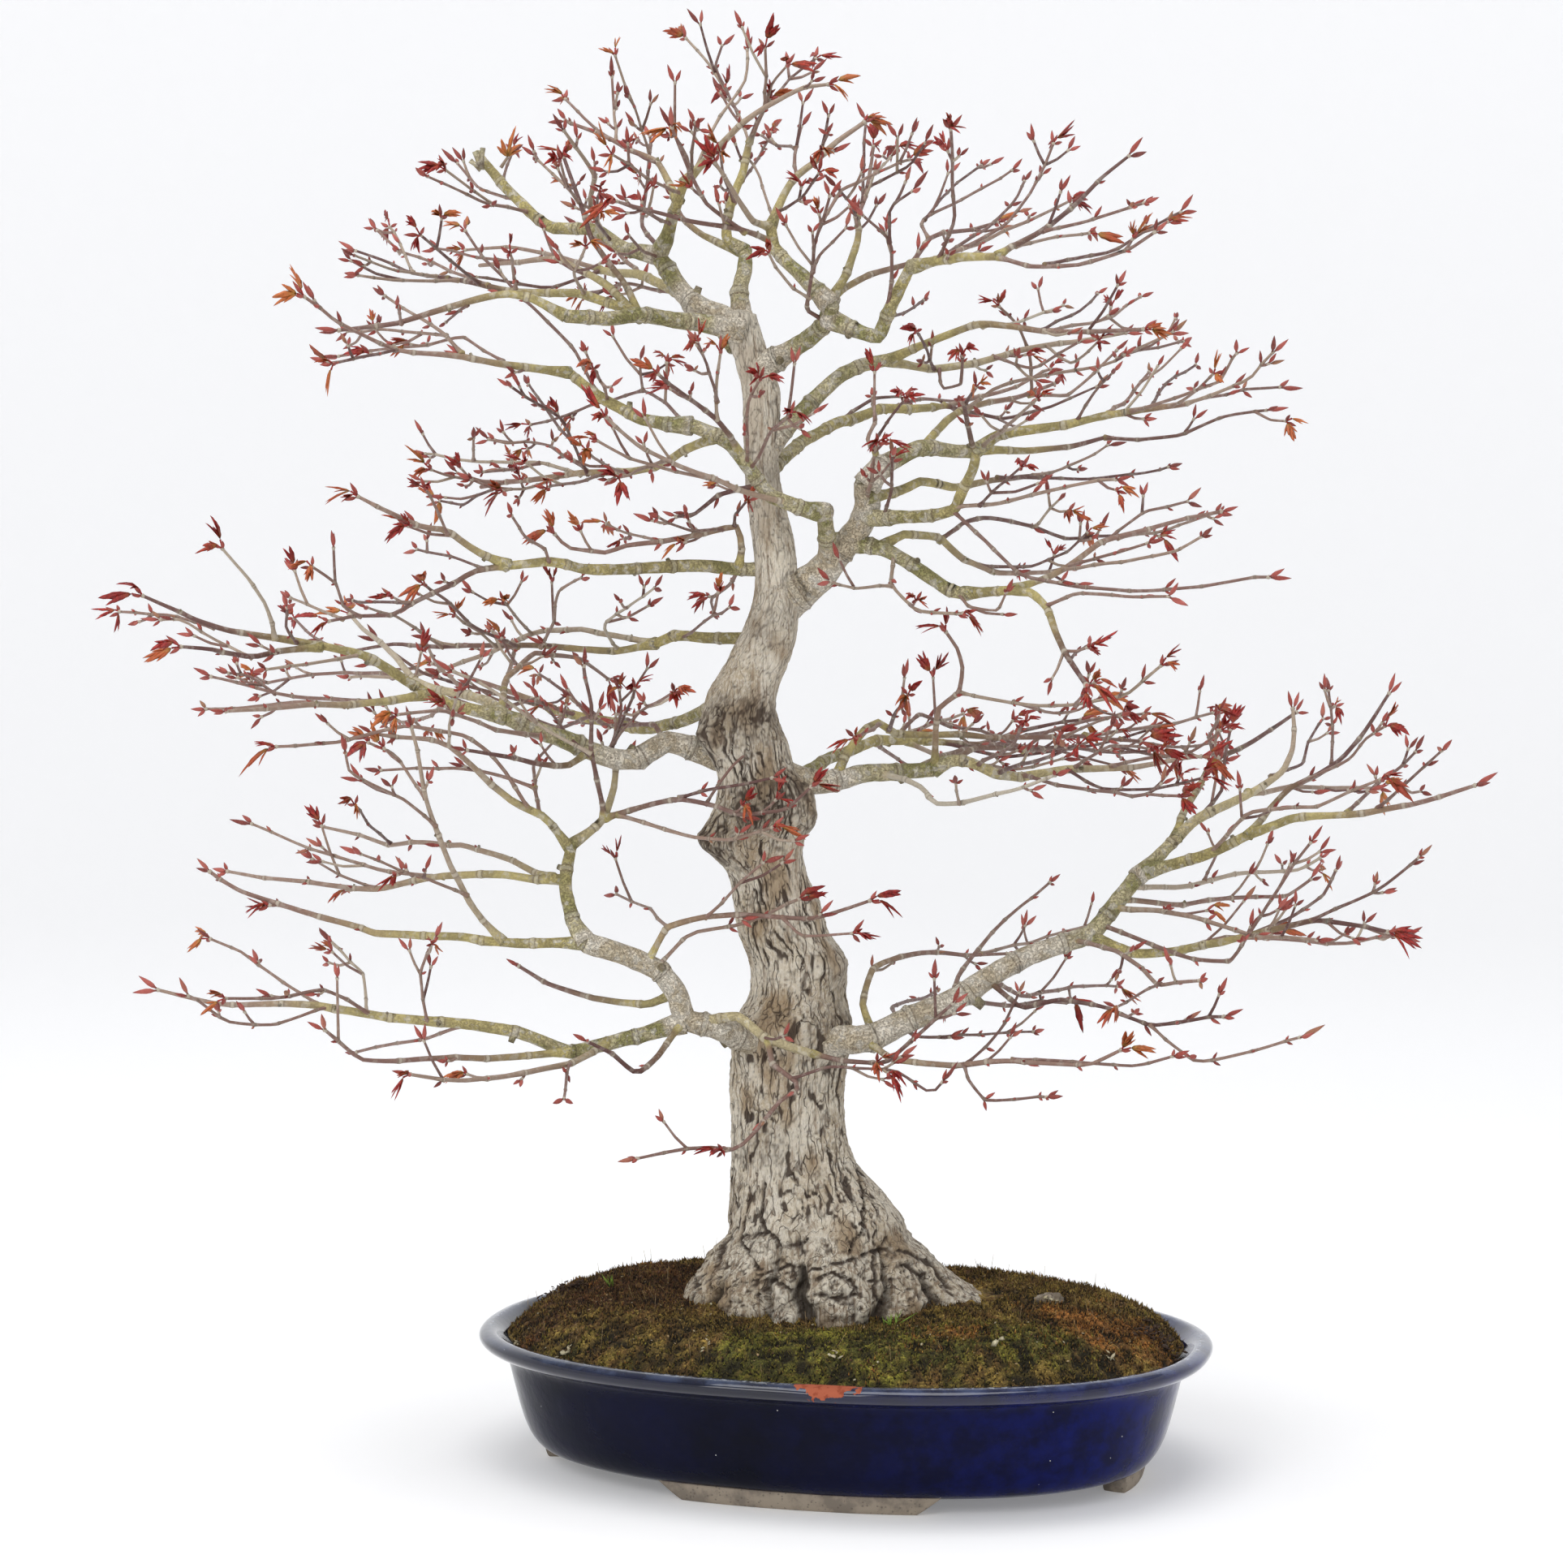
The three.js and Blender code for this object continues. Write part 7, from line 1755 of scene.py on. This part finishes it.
def grow_limb(route, spray, rng):
    """Adds a limb's wood, with its scar rings, and what grows at them and at its tip."""
    wood = spray[0]
    line, along = smooth_line(route["knots"], 2.0)
    length = along[-1]
    thick0, thick1 = route["thick"]
    start, end = true_radius(thick0), true_radius(thick1)
    scars = knuckles(length, thick0, rng)
    step = 3.2 if thick0 > 5 else 6.5
    stations = {0.0, length}
    stations.update(k * length / max(2, round(length / step)) for k in range(max(2, round(length / step))))
    for scar in scars:
        stations.update((max(0, scar - 1.6), scar, min(length, scar + 1.6)))
    collar = start * 3
    kinks = [(0.0, Vector((0, 0, 0)))]
    for scar in scars:
        kinks.append((scar, any_way(rng) * min(1.5, 0.5 + 0.35 * start)))
    kinks.append((length, Vector((0, 0, 0))))
    stations.update((collar * 0.33, collar * 0.8))
    stations = [s for s in sorted(stations) if s <= length]
    pale = smooth(60, -260, route["knots"][-1].x) * 0.15
    tone = clamp(rng.gauss(0.28 + pale, 0.26))
    points, radii, shades = [], [], []
    for s in stations:
        share = s / length
        radius = start + (end - start) * share
        scar = max([math.exp(-(((s - n) / 1.5) ** 2)) for n in scars], default=0)
        swell = 0.36 if radius < 1.5 else 0.16
        radius *= 1 + swell * scar + (0.75 if start < 2.5 else 0.45) * math.exp(-((s / collar) ** 2))
        centre, ahead = point_at(line, along, s)
        wander = noise.noise_vector(centre / 26) * min(1.2, 0.5 * radius) * math.sin(math.pi * share)
        points.append(centre + wander + kink_at(kinks, s))
        radii.append(radius)
        age = smooth(1.2, 12, 2 * radius / (1 + swell * scar))
        shades.append((age, scar * (0.35 + 0.65 * smooth(0.9, 2.2, radius)), tone))
    if route["tip"] == "cut":
        points.append(points[-1] + (points[-1] - points[-2]).normalized() * radii[-1] * 0.5)
        radii.append(radii[-1] * 0.72)
        shades.append((0.9, 0.8, tone))
    sides = 24 if start > 5 else 14 if start > 3 else 9 if start > 1.6 else 6
    wood.tube(points, radii, sides, shades, limb_relief)
    tip, heading = point_at(line, along, length)
    if route["tip"] != "cut":
        dress_tip(tip, heading, route["tip"], end, spray, rng)
    if thick0 > 3.5:
        for scar in scars:
            if rng.random() < 0.45:
                centre, ahead = point_at(line, along, scar)
                radius = start + (end - start) * scar / length
                add_stub(wood, centre + kink_at(kinks, scar), ahead, radius, rng)
    if thick0 < 7:
        dress_scars(line, along, scars, kinks, (start, end), spray, rng)


def beside(heading, rng, turn=None):
    """A direction square to a heading."""
    side = heading.orthogonal().normalized()
    turn = rng.uniform(0, 2 * math.pi) if turn is None else turn
    return side * math.cos(turn) + heading.cross(side) * math.sin(turn)


def dress_scars(line, along, scars, kinks, radii, spray, rng):
    """Opposite side buds at a twig's scars, and now and then short shoots in place of them."""
    buds = spray[1]
    length = along[-1]
    turn = rng.uniform(0, math.pi)
    for scar in scars:
        turn += math.pi / 2 + rng.gauss(0, 0.2)
        if scar < 0.25 * length or rng.random() < 0.25:
            continue
        centre, ahead = point_at(line, along, scar)
        centre = centre + kink_at(kinks, scar)
        radius = radii[0] + (radii[1] - radii[0]) * scar / length
        for flip in (0, math.pi):
            out = beside(ahead, rng, turn + flip)
            heading = (ahead + out * rng.uniform(0.6, 1.0)).normalized()
            root = centre + out * radius * 0.6
            chance = rng.random()
            if chance < 0.34 and length > 36:
                add_shoot(root, heading, rng.choice([5, 9, 15, 24]) * rng.uniform(0.8, 1.2), spray, rng)
            elif radius > 2:
                continue
            elif chance < 0.8:
                size = rng.choice([3.2, 4.5, 7.5]) * rng.uniform(0.85, 1.2)
                add_bud(buds, root, heading, size, 1.2 + 0.14 * size, rng)


def add_shoot(root, heading, length, spray, rng):
    """A short side shoot with its pair of buds."""
    wood = spray[0]
    lift = Vector((0, 0, 0.22 * length))
    knots = [root, root + heading * length * 0.5 + lift * 0.2, root + heading * length + lift]
    line, along = smooth_line(knots, 3)
    tone = clamp(rng.gauss(0.35, 0.25))
    radii = [0.9 - 0.2 * s / along[-1] for s in along]
    wood.tube(line, radii, 6, [(0.02, 0.0, tone)] * len(line), limb_relief)
    tip, ahead = point_at(line, along, along[-1])
    dress_tip(tip, ahead, rng.choice(["pair", "pair", "pair", "bud", "leaf"]), radii[-1], spray, rng, 0.8)


def dress_tip(tip, heading, kind, radius, spray, rng, size=1.0):
    """What a twig's tip bears: one bud, a pair of them, or opening leaves between two buds."""
    wood, buds, leaves = spray
    swollen = [tip - heading * 1.5, tip, tip + heading * 0.9]
    wood.tube(swollen, [radius, radius * 1.5, radius * 0.9], 7, [(0.03, 0.8, 0.5)] * 3)
    turn = rng.uniform(0, math.pi)
    tone = clamp(rng.gauss(0.4, 0.3))
    if kind == "bud":
        add_bud(buds, tip, heading, size * rng.uniform(9, 15), rng.uniform(2.6, 3.3), rng)
        spread, lengths = 0.8, (4, 8)
    elif kind == "pair":
        spread, lengths = 0.42, (8.5, 14.5)
    else:
        spread, lengths = 0.7, (6, 10)
        add_leaf_pair(leaves, tip, heading, turn + math.pi / 2, size, tone, rng)
    for flip in (0, math.pi):
        out = beside(heading, rng, turn + flip)
        aim = (heading + out * spread * rng.uniform(0.7, 1.3)).normalized()
        root = tip + out * radius * 0.5
        length = size * rng.uniform(*lengths)
        add_bud(buds, root, aim, length, 1.35 + 0.13 * length, rng)


def add_bud(skin, root, heading, length, width, rng):
    """A closed winter bud: slim, pointed and a little bent, on a short stalk."""
    large = length > 6
    sides = 7 if large else 5
    bend = beside(heading, rng) * length * rng.uniform(0.02, 0.1) + Vector((0, 0, 0.05 * length))
    tone = clamp(rng.gauss(0.4, 0.28))
    profile = [(0, 0.34), (0.14, 0.4), (0.27, 0.84), (0.44, 1), (0.68, 0.74), (0.88, 0.33)]
    if not large:
        profile = [(0, 0.4), (0.28, 0.86), (0.52, 0.94), (0.82, 0.46)]
    rings = []
    side = heading.orthogonal().normalized()
    up = heading.cross(side)
    flat = rng.uniform(0.78, 0.95)
    for t, wide in profile:
        centre = root + heading * length * t + bend * t * t
        ring = []
        for k in range(sides):
            turn = 2 * math.pi * k / sides
            reach = width / 2 * wide
            ring.append(centre + side * reach * math.cos(turn) + up * reach * flat * math.sin(turn))
        rings.append(skin.ring(ring, (t, tone, 0)))
    skin.loft(rings, sides)
    skin.close(rings[0], sides, root, (0, tone, 0), False)
    skin.close(rings[-1], sides, root + heading * length + bend, (1, tone, 0), True)


def add_leaf_pair(skin, tip, heading, turn, size, tone, rng):
    """Two young leaves on red stalks, on either side of a twig's tip."""
    for flip in (0, math.pi):
        out = beside(heading, rng, turn + flip)
        aim = (heading + out * rng.uniform(0.3, 0.8) + Vector((0, 0, 0.15))).normalized()
        base = tip + aim * size * rng.uniform(2, 6)
        stalk = [(0.9, 0.2 * tone, 0.6)] * 3
        skin.tube([tip, tip.lerp(base, 0.5), base], [0.55, 0.45, 0.6], 5, stalk)
        hang = (aim + Vector((0, 0, -rng.uniform(0.0, 0.75)))).normalized()
        add_leaf(skin, base, hang, size * rng.uniform(11, 19), clamp(tone + rng.gauss(0, 0.15)), rng)


def add_leaf(skin, base, heading, length, tone, rng, spread=None):
    """A leaf that is still half folded: narrow pointed lobes close together on its stalk."""
    side = beside(heading, rng)
    face = heading.cross(side)
    spread = rng.uniform(0.12, 0.36) if spread is None else spread
    for share, reach in ((0, 1), (-0.5, 0.86), (0.5, 0.86), (-1, 0.62), (1, 0.62)):
        turn = share * spread * 1.3 + rng.gauss(0, 0.05)
        aim = (heading * math.cos(turn) + side * math.sin(turn) + face * rng.gauss(0, 0.16)).normalized()
        add_lobe(skin, base, aim, face, length * reach * rng.uniform(0.85, 1.1), tone, rng)


def add_lobe(skin, root, heading, face, length, tone, rng):
    """One lobe: narrow, folded along its rib, toothed and curved to a fine point."""
    side = heading.cross(face).normalized()
    face = side.cross(heading)
    width = length * rng.uniform(0.08, 0.115)
    droop = length * rng.uniform(0.0, 0.3)
    sections = 6
    rings = []
    for i in range(1, sections):
        t = i / sections
        half = width * math.sin(math.pi * t**0.8) ** 0.8 * (1.12 if i % 2 else 0.92)
        centre = root + heading * length * t + Vector((0, 0, -droop * t * t))
        lift = face * half * 0.6
        rings.append([
            skin.ring([centre + side * half + lift], (t, tone, 0)),
            skin.ring([centre + face * 0.16], (t, tone, 1)),
            skin.ring([centre - side * half + lift], (t, tone, 0)),
            skin.ring([centre - face * 0.16], (t, tone, 0.6)),
        ])
    tip = skin.ring([root + heading * length + Vector((0, 0, -droop))], (1, tone, 0))
    start = skin.ring([root], (0, tone, 1))
    for lower, upper in zip(rings, rings[1:]):
        for k in range(4):
            after = (k + 1) % 4
            skin.faces.append((lower[k], lower[after], upper[after], upper[k]))
    for k in range(4):
        after = (k + 1) % 4
        skin.faces.append((rings[0][after], rings[0][k], start))
        skin.faces.append((rings[-1][k], rings[-1][after], tip))


def dress_upper_left(spray, depth, rng):
    """The one leaf that has opened, and the cut knobs at the end of the upper left limb."""
    wood, leaves = spray[0], spray[2]
    foot = place(-152, 738, depth)
    wood.tube([place(-156, 732, depth), foot], [1.1, 0.8], 7, [(0.1, 0.2, 0.5)] * 2, limb_relief)
    add_leaf(leaves, foot, Vector((0.3, -0.2, 0.9)).normalized(), 19, 1.0, rng, 0.85)
    for x, z, width in ((-170, 741, 1.6), (-173, 736, 1.2), (-166, 743, 1.3)):
        root, end = place(-167, 731, depth), place(x, z, depth)
        shades = [(0.5, 0.2, 0.7), (0.4, 0.6, 0.6), (0.7, 0.9, 0.8)]
        wood.tube([root, root.lerp(end, 0.6), end], [1.9, width, width * 1.3], 8, shades, limb_relief)


def make_spray(index, spray_row, finishes):
    name, _, inside, joint_depth, limbs = spray_row
    rng = random.Random(101 + index)
    skins = (Skin(), Skin(), Skin())
    routes = routes_of(joint_depth, limbs)
    routes[0]["knots"].insert(0, place(*inside))
    for route in routes:
        grow_limb(route, skins, rng)
    limb_finish, bud_finish, leaf_finish = finishes
    if name == "spray_left_leader":
        dress_upper_left(skins, joint_depth + 70, random.Random(31))
    plain = name.replace("spray_", "")
    new_piece(plain + "_limbs", skins[0], [limb_finish], [name])
    new_piece(plain + "_buds", skins[1], [bud_finish])
    if skins[2].points:
        new_piece(plain + "_leaves", skins[2], [leaf_finish])


# Stage, light and camera


def make_stage():
    """A pale floor that curves up into a pale wall all round."""
    finish = new_finish(
        "pale_floor",
        0.8,
        Base_Color=colour(238, 238, 239),
        Emission_Color=(1, 1, 1, 1),
        Emission_Strength=0.2,
    )[0]
    profile = [(0.0, 0.0), (3.0, 0.0)]
    bend, wall = 1.4, 3.6
    for k in range(1, 13):
        turn = math.pi / 2 * k / 12
        profile.append((3.0 + bend * math.sin(turn), bend * (1 - math.cos(turn))))
    profile.append((3.0 + bend, wall))
    sides = 96
    points = [(0, 0, 0)]
    faces = []
    for radius, z in profile[1:]:
        points += [
            (radius * math.cos(2 * math.pi * k / sides), radius * math.sin(2 * math.pi * k / sides), z)
            for k in range(sides)
        ]
    for k in range(sides):
        faces.append((0, 1 + k, 1 + (k + 1) % sides))
    for i in range(len(profile) - 2):
        first = 1 + i * sides
        for k in range(sides):
            after = (k + 1) % sides
            faces.append((first + k, first + sides + k, first + sides + after, first + after))
    mesh = bpy.data.meshes.new("stage")
    mesh.from_pydata(points, [], faces)
    mesh.polygons.foreach_set("use_smooth", [True] * len(mesh.polygons))
    mesh.materials.append(finish)
    stage = bpy.data.objects.new("stage", mesh)
    bpy.context.scene.collection.objects.link(stage)


def aim_at(made, target):
    made.rotation_mode = "QUATERNION"
    made.rotation_quaternion = (target - made.location).to_track_quat("-Z", "Y")


def add_light(name, where, size, power, target):
    lamp = bpy.data.lights.new(name, "AREA")
    lamp.shape = "RECTANGLE"
    lamp.size, lamp.size_y = size
    lamp.energy = power
    made = bpy.data.objects.new(name, lamp)
    made.location = where
    bpy.context.scene.collection.objects.link(made)
    aim_at(made, target)


def make_light():
    middle = Vector((0, 0, 0.4))
    add_light("sky_panel", Vector((-0.2, -0.5, 3.2)), (2.2, 2.2), 56, middle)
    add_light("front_panel", Vector((-1.5, -2.7, 2.1)), (1.6, 1.4), 26, middle)
    world = bpy.data.worlds.new("pale_room")
    world.use_nodes = True
    world.node_tree.nodes["Background"].inputs["Color"].default_value = (0.95, 0.97, 1.0, 1)
    world.node_tree.nodes["Background"].inputs["Strength"].default_value = 0.4
    bpy.context.scene.world = world
    bpy.context.scene.view_settings.view_transform = "Standard"


def make_camera():
    lens = bpy.data.cameras.new("camera")
    lens.lens = LENS
    lens.sensor_width = 36
    lens.clip_start, lens.clip_end = 0.1, 30
    made = bpy.data.objects.new("camera", lens)
    made.location = in_metres(CAMERA)
    bpy.context.scene.collection.objects.link(made)
    aim_at(made, in_metres(AIM))
    bpy.context.scene.camera = made


make_camera()
make_stage()
make_light()

for kept, finish in (
    ("soil", finish_soil()),
    ("drain_mesh_left", finish_drain_plastic()),
    ("drain_mesh_right", finish_drain_plastic()),
):
    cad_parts[kept].data.materials.clear()
    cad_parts[kept].data.materials.append(finish)

make_pot(chip_place())
moss = make_moss()
make_moss_tufts(moss.data.materials[0])
make_litter()
make_stone()
make_trunk()
finishes = (finish_limb_bark(), finish_bud(), finish_young_leaf())
for index, row in enumerate(SPRAYS):
    make_spray(index, row, finishes)
